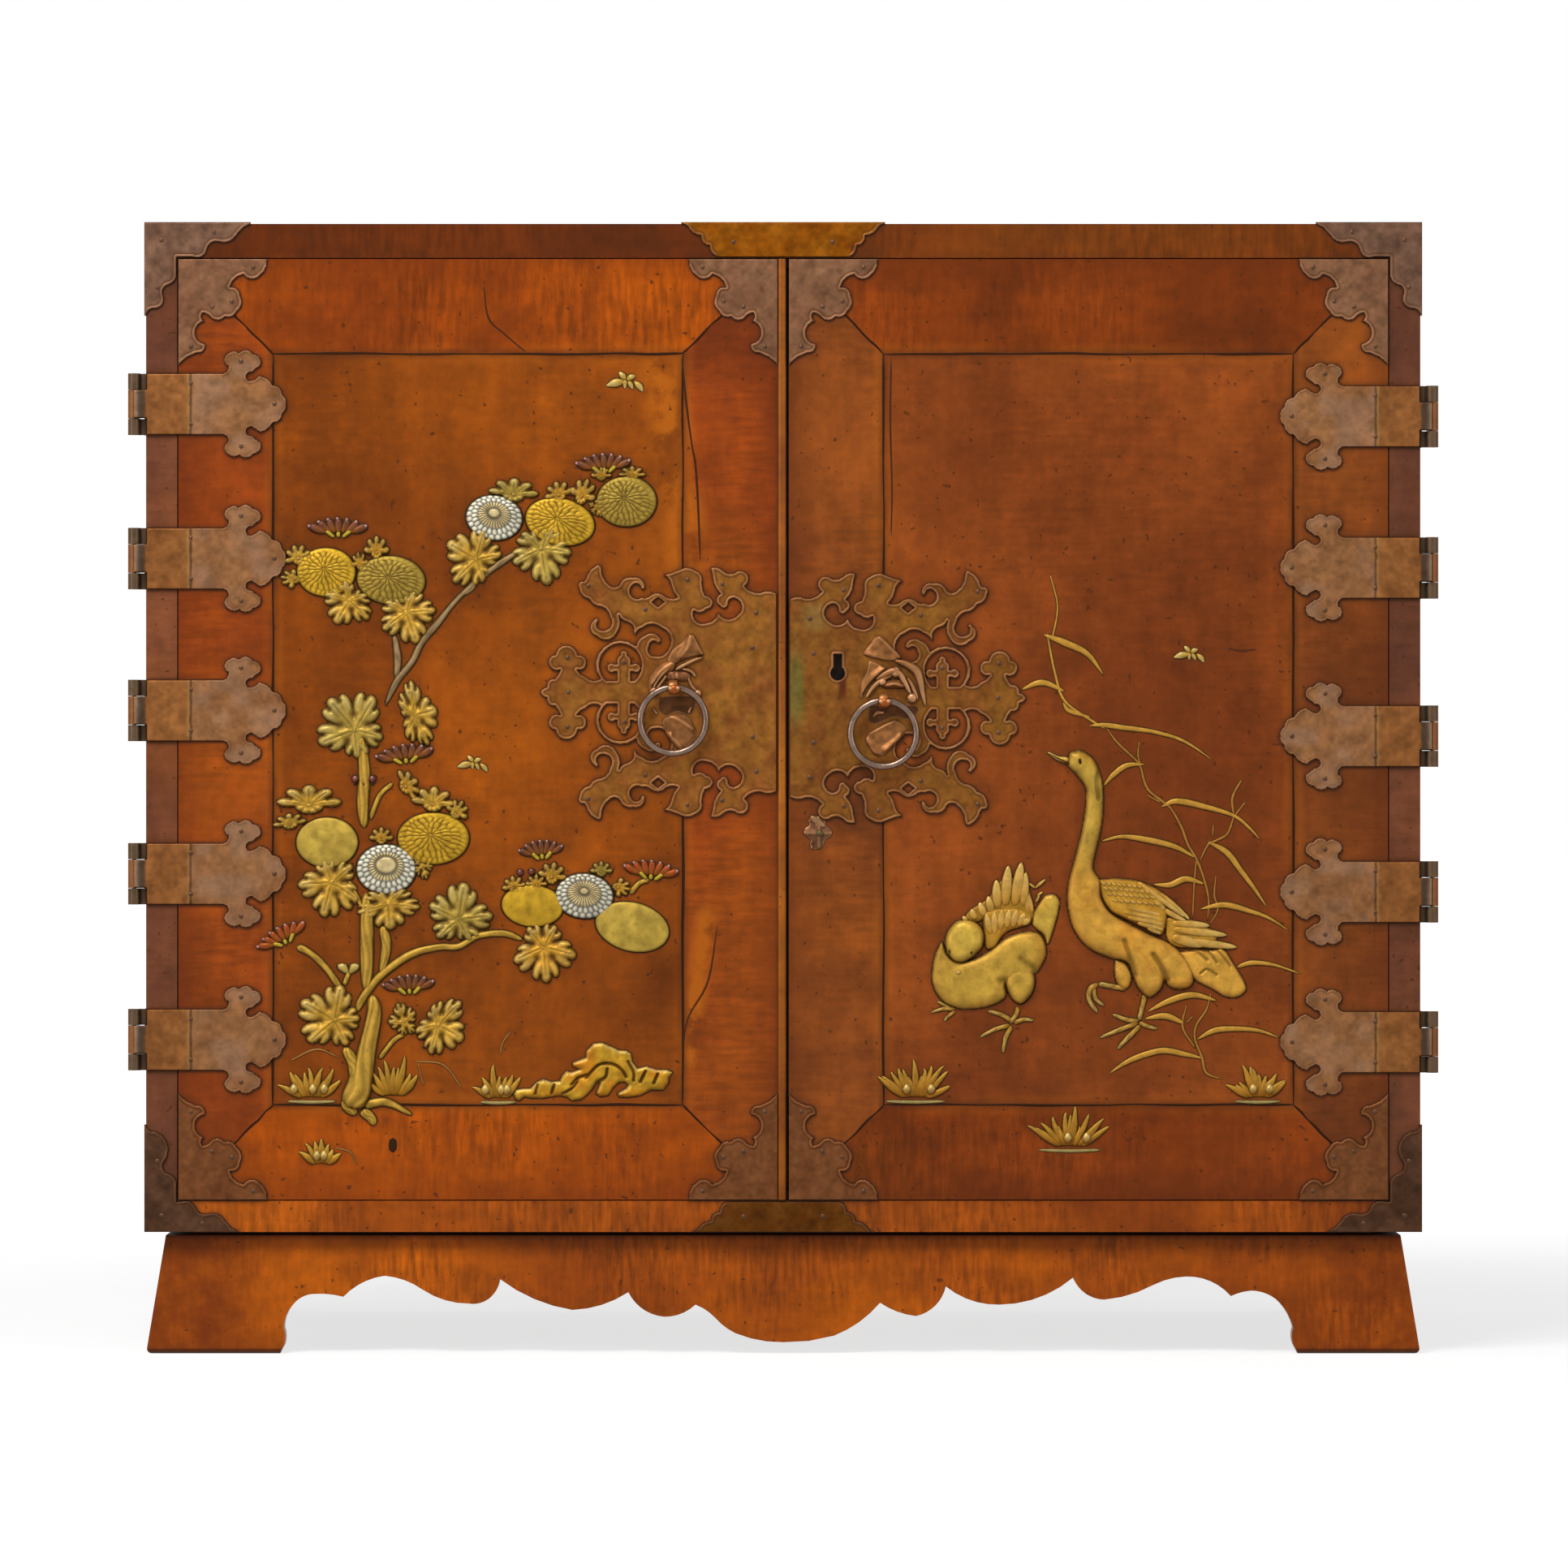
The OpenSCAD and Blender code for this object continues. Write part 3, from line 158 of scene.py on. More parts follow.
def maths(tree, operation, a, b=0.0, clamp=False):
    """One sum, product or other step of reckoning between two values."""
    return node(tree, "Math", {"operation": operation, "use_clamp": clamp}, _0=a, _1=b).outputs[0]


def ranged(tree, value, low, high, to_low=0.0, to_high=1.0):
    """Stretches low..high to to_low..to_high and stops at both ends."""
    return node(tree, "MapRange", _0=value, _1=low, _2=high, _3=to_low, _4=to_high).outputs[0]


print("lamps give", sum(it.energy for it in bpy.data.lights), "watts together")

# %% [markdown]
# Together with the air the lamps add up to about one, so that a colour renders as it is written. The
# floor and the air are white for the eye and in reflections, while the floor still takes the
# cabinet's soft shadow. More light would whiten the background too, but it would bleach the lacquer.


# %% White air and a pale floor
def seen_white(tree):
    """1 for rays that come straight from the eye, a reflection or glass, and 0 for light."""
    rays = node(tree, "LightPath").outputs
    return maths(tree, "MAXIMUM", maths(tree, "MAXIMUM", rays["Is Camera Ray"], rays["Is Glossy Ray"]),
                 rays["Is Transmission Ray"])


world = bpy.data.worlds.new("studio")
world.use_nodes = True
air = world.node_tree
air.nodes.clear()
AIR = 0.3
strength = maths(air, "ADD", maths(air, "MULTIPLY", seen_white(air), 1 - AIR), AIR)
sky = node(air, "Background", Color=(1, 1, 1, 1), Strength=strength)
air.links.new(sky.outputs[0], node(air, "OutputWorld").inputs[0])
scene.world = world

floor_mesh = bpy.data.meshes.new("floor")
floor_mesh.from_pydata([(-20, -20, 0), (20, -20, 0), (20, 40, 0), (-20, 40, 0)], [], [(0, 1, 2, 3)])
floor = bpy.data.objects.new("floor", floor_mesh)
scene.collection.objects.link(floor)
pale = bpy.data.materials.new("pale_floor")
pale.use_nodes = True
tree = pale.node_tree
tree.nodes.clear()
NEAR, FAR, NEAR_GLOW = 0.7, 2.6, 0.74
far = node(tree, "VectorMath", {"operation": "LENGTH"}, _0=node(tree, "NewGeometry").outputs["Position"])
whiter = ranged(tree, far.outputs["Value"], NEAR, FAR, NEAR_GLOW, 1.0)
glow = node(tree, "Emission", Color=(1, 1, 1, 1), Strength=maths(tree, "MULTIPLY", seen_white(tree), whiter))
matt = node(tree, "BsdfDiffuse", Color=(0.3, 0.3, 0.3, 1))
both = node(tree, "AddShader", _0=glow.outputs[0], _1=matt.outputs[0])
tree.links.new(both.outputs[0], node(tree, "OutputMaterial").inputs[0])
floor_mesh.materials.append(pale)
print("the floor whitens from", NEAR, "to", FAR, "m off the middle")

# %% [markdown]
# ## Figured wood under lacquer
# The boards are maple-like wood with a curly figure: narrow stripes that cross the grain and shift
# with the light. Noise that is squeezed one way gives such stripes, and slower noise mottles the
# colour from orange to dark red. A picture could be wrapped round the boards instead, but noise in
# the board's own coordinates fits every size. First come the helpers that mix colours and find out
# where on a board a place lies.


# %% Helpers for colour and place
def mixed(tree, share, a, b, how="MIX"):
    """Colour a where share is 0 and b where it is 1."""
    made = node(tree, "Mix", {"data_type": "RGBA", "blend_type": how}, _0=share)
    for socket, value in ((made.inputs[6], a), (made.inputs[7], b)):
        if isinstance(value, bpy.types.NodeSocket):
            tree.links.new(value, socket)
        else:
            socket.default_value = (*value, 1)
    return made.outputs[2]


def noise(tree, place, scale, detail=3.0, rough=0.55, stretch=(1, 1, 1), shift=(0, 0, 0)):
    """Cloudy values round a half; stretch squeezes the place first, which draws the clouds out."""
    moved = node(tree, "Mapping", Vector=place, Scale=stretch, Location=shift).outputs[0]
    return node(tree, "TexNoise", Vector=moved, Scale=scale, Detail=detail, Roughness=rough).outputs[0]


def line_share(tree, place, ends, width):
    """1 on the straight line between two ends, falling to 0 at width from it. The nearest place on
    the line is its start plus the line times a share, which is kept between 0 and 1."""
    (x0, z0), (x1, z1) = at(ends) * MM
    start, along = np.array([x0, 0, z0]), np.array([x1 - x0, 0, z1 - z0])
    from_start = node(tree, "VectorMath", {"operation": "SUBTRACT"}, _0=place, _1=start).outputs[0]
    share = node(tree, "VectorMath", {"operation": "DOT_PRODUCT"}, _0=from_start,
                 _1=along / (along @ along)).outputs["Value"]
    share = maths(tree, "ADD", share, 0.0, clamp=True)
    nearest = node(tree, "VectorMath", {"operation": "SCALE"}, _0=along, Scale=share).outputs[0]
    gap = node(tree, "VectorMath", {"operation": "DISTANCE"}, _0=from_start, _1=nearest).outputs["Value"]
    return ranged(tree, gap, 0.0, width * MM, 1.0, 0.0)


def started(name):
    """An empty material, its nodes and the piece's own coordinates."""
    made = bpy.data.materials.new(name)
    made.use_nodes = True
    made.node_tree.nodes.clear()
    return made, made.node_tree, node(made.node_tree, "TexCoord").outputs["Object"]


def coated(made, tree, colour, rough, bump, settings):
    """Joins colour, roughness and bump in one glossy shader; settings are its other sockets."""
    coat = node(tree, "BsdfPrincipled", Base_Color=colour, Roughness=rough, Normal=bump)
    for key, value in settings:
        coat.inputs[key].default_value = value
    tree.links.new(coat.outputs[0], node(tree, "OutputMaterial").inputs[0])
    return made


def product(tree, first, *others):
    """All the values multiplied."""
    for other in others:
        first = maths(tree, "MULTIPLY", first, other)
    return first


def shaded(tree, colour, value):
    """The colour times a grey value."""
    grey = node(tree, "CombineColor", _0=value, _1=value, _2=value).outputs[0]
    return mixed(tree, 1.0, colour, grey, "MULTIPLY")


def hollow_shade(tree, reach, low, high, most):
    """How deep in a corner a place lies, from 0 to most: the share of the sky over it that is hidden
    by anything nearer than reach in mm. This darkens corners and hollows as painted shade, which
    stands in part for old wax and dust."""
    open_sky = node(tree, "AmbientOcclusion", {"samples": 5}, Distance=reach * MM).outputs["AO"]
    return ranged(tree, open_sky, high, low, 0.0, most)


def box_distance(tree, place, middle, half):
    """How far a place lies outside an upright rectangle, in metres, and below 0 how far inside: the
    larger of the distances beyond its half width and beyond its half height."""
    parts = node(tree, "SeparateXYZ", _0=place).outputs
    gaps = [maths(tree, "SUBTRACT", maths(tree, "ABSOLUTE", maths(tree, "SUBTRACT", parts[axis], m * MM)),
                  h * MM)
            for axis, m, h in ((0, middle[0], half[0]), (2, middle[1], half[1]))]
    return maths(tree, "MAXIMUM", *gaps)


DOOR_MIDDLE, JOINT_HALF, DOOR_HALF = (215.55, 441), (144.65, 265.2), (211.65, 332.2)
print("a door is", 2 * DOOR_HALF[0], "by", 2 * DOOR_HALF[1], "mm")

# %% [markdown]
# The lacquer itself is a warm clear coat over the mottled colour. It has rubbed through to orange
# where hands and sleeves pass, is darker towards the edges of the doors, and holds old wax in every
# joint; its corners and hollows get painted shade. One function paints all the boards, and its values
# say how much of each there is.

# %% Lacquer
GLOW, WAX_AND_SHADE, SPECK = (0.43, 0.105, 0.005), (0.045, 0.011, 0.003), (0.05, 0.012, 0.002)


def lacquer(name, light, dark, grain="z", curl=0.5, shift=0.0, door=0, worn=(), gloss=0.3, feet=None):
    """light and dark are the two ends of the mottling; grain is the way the boards run; door is -1
    or 1 on a door, whose frame joints and edges are stained; worn lists straight lines (two ends and
    a width) along which the lacquer has rubbed to a bright orange; feet gives how far from the
    middle the lacquer begins to darken and where it is darkest, in mm."""
    made, tree, place = started(name)
    flat = node(tree, "VectorMath", {"operation": "MULTIPLY"}, _0=place, _1=(1, 0, 1)).outputs[0]
    along = {"x": (0.1, 1, 1), "y": (1, 0.1, 1), "z": (1, 1, 0.1)}[grain]
    across = {"x": (1, 0.2, 0.16), "y": (0.2, 1, 0.16), "z": (0.16, 0.2, 1)}[grain]
    away = (shift, shift * 0.7, shift * 1.3)
    deep = tuple(c * k for c, k in zip(dark, (0.6, 0.5, 0.6)))
    mottle = noise(tree, place, 8, 5, 0.6, shift=away)
    blotch = noise(tree, place, 30, 5, 0.65, shift=away)
    cloud = noise(tree, place, 3.4, 3, 0.5, shift=(shift + 3, 1, 2))
    streak = noise(tree, place, 75, 6, 0.65, along, away)
    stripe = noise(tree, place, 300, 2, 0.5, across, away)
    where = ranged(tree, noise(tree, place, 11, 2, 0.5, shift=(2, shift, 5)), 0.4, 0.6, 0.2, 1.0)
    colour = mixed(tree, ranged(tree, mottle, 0.34, 0.64), dark, light)
    colour = mixed(tree, ranged(tree, cloud, 0.5, 0.72, 0.0, 0.75), colour, deep)
    colour = mixed(tree, ranged(tree, cloud, 0.45, 0.28, 0.0, 0.4), colour, GLOW if curl < 0.9 else light)
    figure = maths(tree, "ADD", product(tree, where, curl, ranged(tree, stripe, 0.34, 0.66, -0.34, 0.24)),
                   1.0)
    spots = ranged(tree, noise(tree, place, 95, 4, 0.6, shift=away), 0.3, 0.7, 0.86, 1.12)
    shade = product(tree, ranged(tree, streak, 0.3, 0.7, 0.88, 1.1),
                    ranged(tree, blotch, 0.3, 0.7, 0.74, 1.24), figure, spots)
    colour = shaded(tree, colour, shade)
    for ends, width in worn:
        share = product(tree, line_share(tree, flat, ends, width), ranged(tree, blotch, 0.4, 0.56, 0.0, 1.3))
        colour = mixed(tree, maths(tree, "MINIMUM", share, 0.9), colour, GLOW)
    if door:
        middle = (door * DOOR_MIDDLE[0], DOOR_MIDDLE[1])
        to_joint = maths(tree, "ABSOLUTE", box_distance(tree, place, middle, JOINT_HALF))
        to_edge = maths(tree, "MULTIPLY", box_distance(tree, place, middle, DOOR_HALF), -1.0)
        some = ranged(tree, mottle, 0.36, 0.6)
        colour = mixed(tree, product(tree, ranged(tree, to_joint, 0.002, 0.009, 0.4, 0.0), some), colour,
                       GLOW)
        colour = mixed(tree, product(tree, ranged(tree, to_joint, 0.0, 0.005, 0.8, 0.0),
                                     ranged(tree, blotch, 0.36, 0.6, 0.35, 1.0)), colour, WAX_AND_SHADE)
        colour = mixed(tree, ranged(tree, to_edge, 0.0, 0.024, 0.5, 0.0), colour, deep)
    if feet:
        aside = maths(tree, "ABSOLUTE", node(tree, "SeparateXYZ", _0=place).outputs[0])
        burl = ranged(tree, blotch, 0.35, 0.6, 1.15, 0.55)
        colour = mixed(tree, product(tree, ranged(tree, aside, feet[0] * MM, feet[1] * MM, 0.0, 0.85), burl),
                       colour, deep)
    speck = ranged(tree, noise(tree, place, 230, 1, 0.4, shift=away), 0.72, 0.77, 0.0, 0.75)
    scuff = ranged(tree, noise(tree, place, 34, 5, 0.7, along, (7, shift, 1)), 0.68, 0.78, 0.0, 0.4)
    colour = mixed(tree, maths(tree, "MAXIMUM", speck, scuff), colour, SPECK)
    # painted shade: corners and hollows next to raised parts are darkened towards the wax colour
    colour = mixed(tree, hollow_shade(tree, 7, 0.62, 0.97, 0.85), colour, WAX_AND_SHADE)
    rough = ranged(tree, mottle, 0.3, 0.7, gloss + 0.16, gloss + 0.02)
    uneven = maths(tree, "ADD", product(tree, stripe, 0.2), product(tree, streak, 0.6))
    bump = node(tree, "Bump", Strength=0.2, Distance=0.0006, Height=uneven).outputs[0]
    return coated(made, tree, colour, rough, bump, (
        ("Coat Weight", 0.1), ("Coat Roughness", 0.12), ("Specular IOR Level", 0.25),
        ("Specular Tint", (1.0, 0.5, 0.2, 1))))


# the wax colour also serves as the painted shade of corners and hollows
print("rubbed lacquer glows", GLOW, "and corners hold wax of", WAX_AND_SHADE)

# %% [markdown]
# Every board was cut and coated by itself, so each has its own two colours, its own way of the grain
# and its own shift through the noise. Boards that share one material would show the same clouds.

# %% The lacquers of this cabinet
left_worn = [([(812, 452), (850, 700)], 20), ([(870, 1130), (848, 1300)], 10)]
panel_left = lacquer("lacquer_left_panel", (0.31, 0.066, 0.002), (0.17, 0.034, 0.001), "z", 0.3, 0.0, -1,
                     left_worn)
stile_left = lacquer("lacquer_left_stiles", (0.3, 0.05, 0.004), (0.165, 0.027, 0.003), "z", 0.6, 1.7, -1,
                     left_worn)
rail_left = lacquer("lacquer_left_rails", (0.4, 0.073, 0.001), (0.25, 0.041, 0.001), "x", 0.9, 3.1, -1)
panel_right = lacquer("lacquer_right_panel", (0.34, 0.074, 0.009), (0.2, 0.041, 0.005), "z", 0.3, 5.3, 1)
stile_right = lacquer("lacquer_right_stiles", (0.28, 0.066, 0.008), (0.15, 0.034, 0.006), "z", 0.5, 6.9, 1)
rail_right = lacquer("lacquer_right_rails", (0.245, 0.041, 0.002), (0.13, 0.021, 0.001), "x", 0.8, 8.3, 1)
case_top = lacquer("lacquer_top", (0.12, 0.0195, 0.001), (0.062, 0.0098, 0.001), "x", 0.7, 9.7)
case_low = lacquer("lacquer_bottom", (0.46, 0.098, 0.004), (0.29, 0.056, 0.003), "x", 1.0, 11.0)
case_side = lacquer("lacquer_sides", (0.18, 0.055, 0.023), (0.09, 0.028, 0.016), "z", 0.4, 12.2, gloss=0.36)
bead_wood = lacquer("lacquer_bead", (0.4, 0.12, 0.01), (0.22, 0.055, 0.006), "z", 0.3, 13.0)
stand_wood = lacquer("lacquer_stand", (0.44, 0.092, 0.002), (0.26, 0.047, 0.002), "x", 1.1, 14.4,
                     feet=(345, 400))
foot_wood = lacquer("lacquer_stand_ends", (0.2, 0.044, 0.007), (0.1, 0.021, 0.005), "y", 1.0, 15.9)
inner_wood = lacquer("thin_lacquer_inside", (0.16, 0.055, 0.02), (0.08, 0.026, 0.012), "x", 0.2, 17.0,
                     gloss=0.45)
drawer_wood = lacquer("lacquer_drawers", (0.33, 0.085, 0.01), (0.2, 0.045, 0.006), "x", 0.8, 18.8)
print("lacquers made:", len([m for m in bpy.data.materials if "lacquer" in m.name]))

# %% [markdown]
# ## Worn copper and dusted gold
# The mounts are beaten copper alloy, brown where it has tarnished, with a pink rim that hands have
# rubbed and that also carries a painted highlight. The decoration is lacquer built up and dusted with
# gold. Both take their colour from the shape itself: each new mesh carries a tint at every point,
# worked out together with its height, with painted highlights on rims and crests and painted shade in
# grooves, gaps and at the foot. The material adds the tarnish, the small dents and painted shade in
# hollows. Plain CAD parts get a fixed colour instead.


# %% Metal
def metal(name, colour=None, shine=0.55, rough=0.42, spots=(0.05, 0.03, 0.012), dents=0.35, size=90,
          shade_and_dirt=0.8):
    """colour is the metal's own colour, or None where the mesh carries a tint; the last value says how
    dark its hollows are painted, as shade and in part dirt."""
    made, tree, place = started(name)
    base = colour
    if colour is None:
        base = node(tree, "Attribute", {"attribute_name": "tint"}).outputs["Color"]
    cloud = noise(tree, place, size, 5, 0.65)
    fine = noise(tree, place, size * 6, 3, 0.6)
    base = shaded(tree, base, ranged(tree, cloud, 0.3, 0.7, 0.72, 1.24))
    base = mixed(tree, ranged(tree, cloud, 0.6, 0.74, 0.0, 0.6), base, spots)
    # painted shade in the hollows, in part dirt, darkened towards a deeper tarnish colour
    base = mixed(tree, hollow_shade(tree, 3, 0.5, 0.92, shade_and_dirt), base, tuple(0.3 * c for c in spots))
    dull = ranged(tree, cloud, 0.3, 0.7, rough - 0.08, rough + 0.14)
    bump = node(tree, "Bump", Strength=dents, Distance=0.0007,
                Height=maths(tree, "ADD", cloud, maths(tree, "MULTIPLY", fine, 0.35))).outputs[0]
    return coated(made, tree, base, dull, bump, (
        ("Metallic", shine), ("Specular IOR Level", 0.2), ("Specular Tint", (1.0, 0.6, 0.3, 1))))


plate_copper = metal("copper_plates", None, 0.5, 0.42, (0.09, 0.04, 0.014))
hinge_copper = metal("copper_hinges", (0.2, 0.077, 0.03), 0.5, 0.42, (0.1, 0.045, 0.02))
leaf_copper = metal("copper_leaves", (0.1, 0.062, 0.036), 0.6, 0.38, (0.04, 0.03, 0.02))
corner_copper = metal("copper_corners", (0.135, 0.064, 0.037), 0.5, 0.46, (0.08, 0.035, 0.02))
dark_corner = metal("copper_low_corners", (0.105, 0.039, 0.016), 0.5, 0.46, (0.03, 0.014, 0.008))
boss_copper = metal("copper_bosses", None, 0.55, 0.36, (0.1, 0.04, 0.02), 0.4)
pull_copper = metal("copper_pulls", (0.25, 0.1, 0.045), 0.55, 0.4, (0.08, 0.035, 0.018), 0.5)
nail_copper = metal("copper_nails", (0.085, 0.042, 0.024), 0.6, 0.36, (0.03, 0.018, 0.012))
ring_metal = metal("ring_metal", (0.18, 0.122, 0.09), 0.9, 0.2, (0.06, 0.035, 0.025), 0.4, 140)
iron = metal("dark_iron", (0.1, 0.08, 0.065), 0.8, 0.45, (0.06, 0.03, 0.016))
gold = metal("dusted_gold", None, 0.3, 0.38, (0.2, 0.1, 0.015), 0.3, 160, 0.9)
crack_wax = metal("old_wax", None, 0.0, 0.6, (0.02, 0.006, 0.003), 0.1, 200, 0.0)
print("metals made:", [m.name for m in bpy.data.materials if "copper" in m.name or "iron" in m.name])

# %% [markdown]
# Each part of the frame now gets its finish by name, and what isn't in the list is a drawer or one
# of the copper corners. The low mounts have a darker copper.

# %% Finishes for the frame
finishes = {
    "carcase_top": case_top, "carcase_bottom": case_low, "carcase_left_side": case_side,
    "carcase_right_side": case_side, "carcase_back": inner_wood, "door_stops": inner_wood,
    "dust_boards": inner_wood, "drawer_dividers": inner_wood, "stand_front_apron": stand_wood,
    "stand_back_rail": inner_wood, "stand_left_end": foot_wood, "stand_right_end": foot_wood,
    "stand_corner_blocks": inner_wood, "stand_top_rails": inner_wood, "left_door_bead": bead_wood,
    "left_door_stiles": stile_left, "left_door_rails": rail_left, "left_door_panel": panel_left,
    "right_door_stiles": stile_right, "right_door_rails": rail_right, "right_door_panel": panel_right,
    "left_hinge_straps": hinge_copper, "right_hinge_straps": hinge_copper,
    "left_hinge_leaves": leaf_copper, "right_hinge_leaves": leaf_copper, "hinge_pins": iron,
    "case_nails": nail_copper, "left_door_nails": nail_copper, "right_door_nails": nail_copper,
    "drawer_pulls": pull_copper, "left_ring_boss": pull_copper, "right_ring_boss": pull_copper,
    "left_ring": ring_metal, "right_ring": ring_metal, "lock_case": iron, "lock_bolt": iron,
    "lock_strike": iron, "left_bolt_staples": iron, "left_door_top_bolt": iron,
    "left_door_bottom_bolt": iron, "case_bottom_corner_mounts": dark_corner,
    "bottom_centre_mount": dark_corner}
for name, it in nodes.items():
    finish = finishes.get(name, drawer_wood if name.startswith("drawer") else corner_copper)
    it.data.materials.clear()
    it.data.materials.append(finish)
print("nodes finished:", len(nodes))

# %% [markdown]
# ## From outline to relief
# Almost everything on the front is a flat outline with a rounded, carved or rimmed surface. One tool
# makes them all: lay a grid over the outline, measure how far every grid point is from the outline,
# and let that distance decide the height and the colour. Sculpting by hand would give the same
# shapes, but a distance keeps every rim the same width all the way round a scroll. Many such shells
# are gathered here into one mesh, so that a whole spray of flowers is one piece.


# %% Shells gathered into a piece
class Shells:
    """Closed shells collected to become one mesh: points in mm, faces, and a colour at each point."""

    def __init__(self):
        """Starts with no shell; count is the number of points taken in so far."""
        self.points, self.quads, self.caps, self.tints, self.count = [], [], [], [], 0

    def add(self, points, quads, tint, caps=()):
        """Takes in one shell. Its quads and its end caps number its own points, so they are shifted
        by the number of points that were there before."""
        points = np.asarray(points, float).reshape(-1, 3)
        self.points.append(points)
        self.quads.append(np.asarray(quads) + self.count)
        self.caps += [(np.asarray(cap) + self.count).tolist() for cap in caps]
        self.tints.append(np.broadcast_to(tint, points.shape))
        self.count += len(points)

    def build(self, name, body, material, slot):
        """Makes one mesh of all the shells, with every face turned outwards."""
        mesh = bpy.data.meshes.new(name)
        mesh.from_pydata((np.concatenate(self.points) * MM).tolist(), [],
                         np.concatenate(self.quads).tolist() + self.caps)
        mesh.attributes.new("tint", "FLOAT_COLOR", "POINT").data.foreach_set("color", np.c_[
            np.concatenate(self.tints), np.ones(self.count)].astype(np.float32).ravel())
        mesh.validate()
        shell = bmesh.new()
        shell.from_mesh(mesh)
        bmesh.ops.recalc_face_normals(shell, faces=shell.faces)
        shell.to_mesh(mesh)
        shell.free()
        mesh.polygons.foreach_set("use_smooth", np.ones(len(mesh.polygons), bool))
        mesh.materials.append(material)
        piece = bpy.data.objects.new(name, mesh)
        scene.collection.objects.link(piece)
        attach(piece, body)
        print(name, len(mesh.polygons), "faces")
        return piece


def grid_faces(rows, columns, wrap=False):
    """The four corners of each cell of a grid that is numbered row by row; with wrap, the last
    column meets the first."""
    r, c = np.mgrid[0:rows - 1, 0:columns - (not wrap)]
    right = (c + 1) % columns
    return np.stack([r * columns + c, r * columns + right, (r + 1) * columns + right,
                     (r + 1) * columns + c], -1).reshape(-1, 4)


def rings_shell(shells, rings, tint):
    """A closed shell from a stack of rings, whose small first and last rings get one face each."""
    rows, columns = rings.shape[:2]
    shells.add(rings, grid_faces(rows, columns, True),
               np.asarray(tint).reshape(-1, 3) if np.ndim(tint) > 1 else tint,
               [np.arange(columns), np.arange((rows - 1) * columns, rows * columns)])


print("a grid of 3 by 4 points has", len(grid_faces(3, 4)), "faces")

# %% [markdown]
# Hand work is never even, so heights and colours waver slowly across every piece. The noise for that
# is made of random values on a lattice, blended smoothly between them. It depends only on the place,
# so two neighbouring pieces waver together, and it is the same each time.

# %% Noise on a lattice
LATTICE_SIDE = 64
LATTICE = np.random.default_rng(7).random((LATTICE_SIDE, LATTICE_SIDE))


def speckle(points, size, seed=0):
    """Smooth noise from 0 to 1: random values on a lattice of that size in mm, blended across each
    cell by three squares less two cubes."""
    p = points / size + 17.3 * (seed + 1)
    k = np.floor(p).astype(int)
    t = p - k
    t = t * t * (3 - 2 * t)
    x, z = k[..., 0] % LATTICE_SIDE, k[..., 1] % LATTICE_SIDE
    x1, z1 = (x + 1) % LATTICE_SIDE, (z + 1) % LATTICE_SIDE
    low = LATTICE[x, z] * (1 - t[..., 0]) + LATTICE[x1, z] * t[..., 0]
    high = LATTICE[x, z1] * (1 - t[..., 0]) + LATTICE[x1, z1] * t[..., 0]
    return low * (1 - t[..., 1]) + high * t[..., 1]


def bell(values, middle, wide):
    """1 at the middle: e to the power of minus the square of the distance over wide."""
    return np.exp(-(((values - middle) / wide) ** 2))


def laid_over(tint, colour, share):
    """Colours moved towards another one, by a share from 0 to 1 that each point has."""
    share = np.asarray(share)[..., None]
    return tint * (1 - share) + colour * share


print("noise between", round(LATTICE.min(), 3), "and", round(LATTICE.max(), 3))

# %% [markdown]
# The outline of a mount is read from the flat front of its CAD plate, so the two can't part company.
# A triangle's side that no other triangle shares must lie on the border. To know a place's depth the
# distance to every side is needed, and a whole array of places is measured at once.


# %% Outlines and depths
def around(points):
    """The sides of a closed outline, as pairs of neighbouring corners."""
    return np.stack([points, np.roll(points, -1, 0)], 1)


def flat_face(name, plane):
    """The sides of a CAD node's flat face on one plane: an edge of its triangles is a side when no
    second triangle of the face has it."""
    mesh = nodes[name].data
    place = np.empty(len(mesh.vertices) * 3, np.float32)
    mesh.vertices.foreach_get("co", place)
    mesh.calc_loop_triangles()
    corners = np.empty(len(mesh.loop_triangles) * 3, np.int32)
    mesh.loop_triangles.foreach_get("vertices", corners)
    spots, same = np.unique(np.round(place.reshape(-1, 3) / MM, 2), axis=0, return_inverse=True)
    corners = same.ravel()[corners].reshape(-1, 3)
    corners = corners[(np.abs(spots[corners][:, :, 1] - plane) < 0.03).all(1)]
    edges = np.concatenate([corners[:, [0, 1]], corners[:, [1, 2]], corners[:, [2, 0]]])
    _, first, times = np.unique(np.sort(edges, 1), axis=0, return_index=True, return_counts=True)
    return spots[edges[first[times == 1]]][:, :, [0, 2]]


def groups(sides, gap=12):
    """Parts the sides of separate pieces, wherever a gap wider than gap lies between them."""
    found = [sides]
    for way in (1, 0):
        parted = []
        for part in found:
            part = part[np.argsort(part[:, :, way].min(1))]
            reach = np.maximum.accumulate(part[:, :, way].max(1))
            cuts = np.nonzero(part[1:, :, way].min(1) - reach[:-1] > gap)[0] + 1
            parted += np.split(part, cuts)
        found = parted
    return found


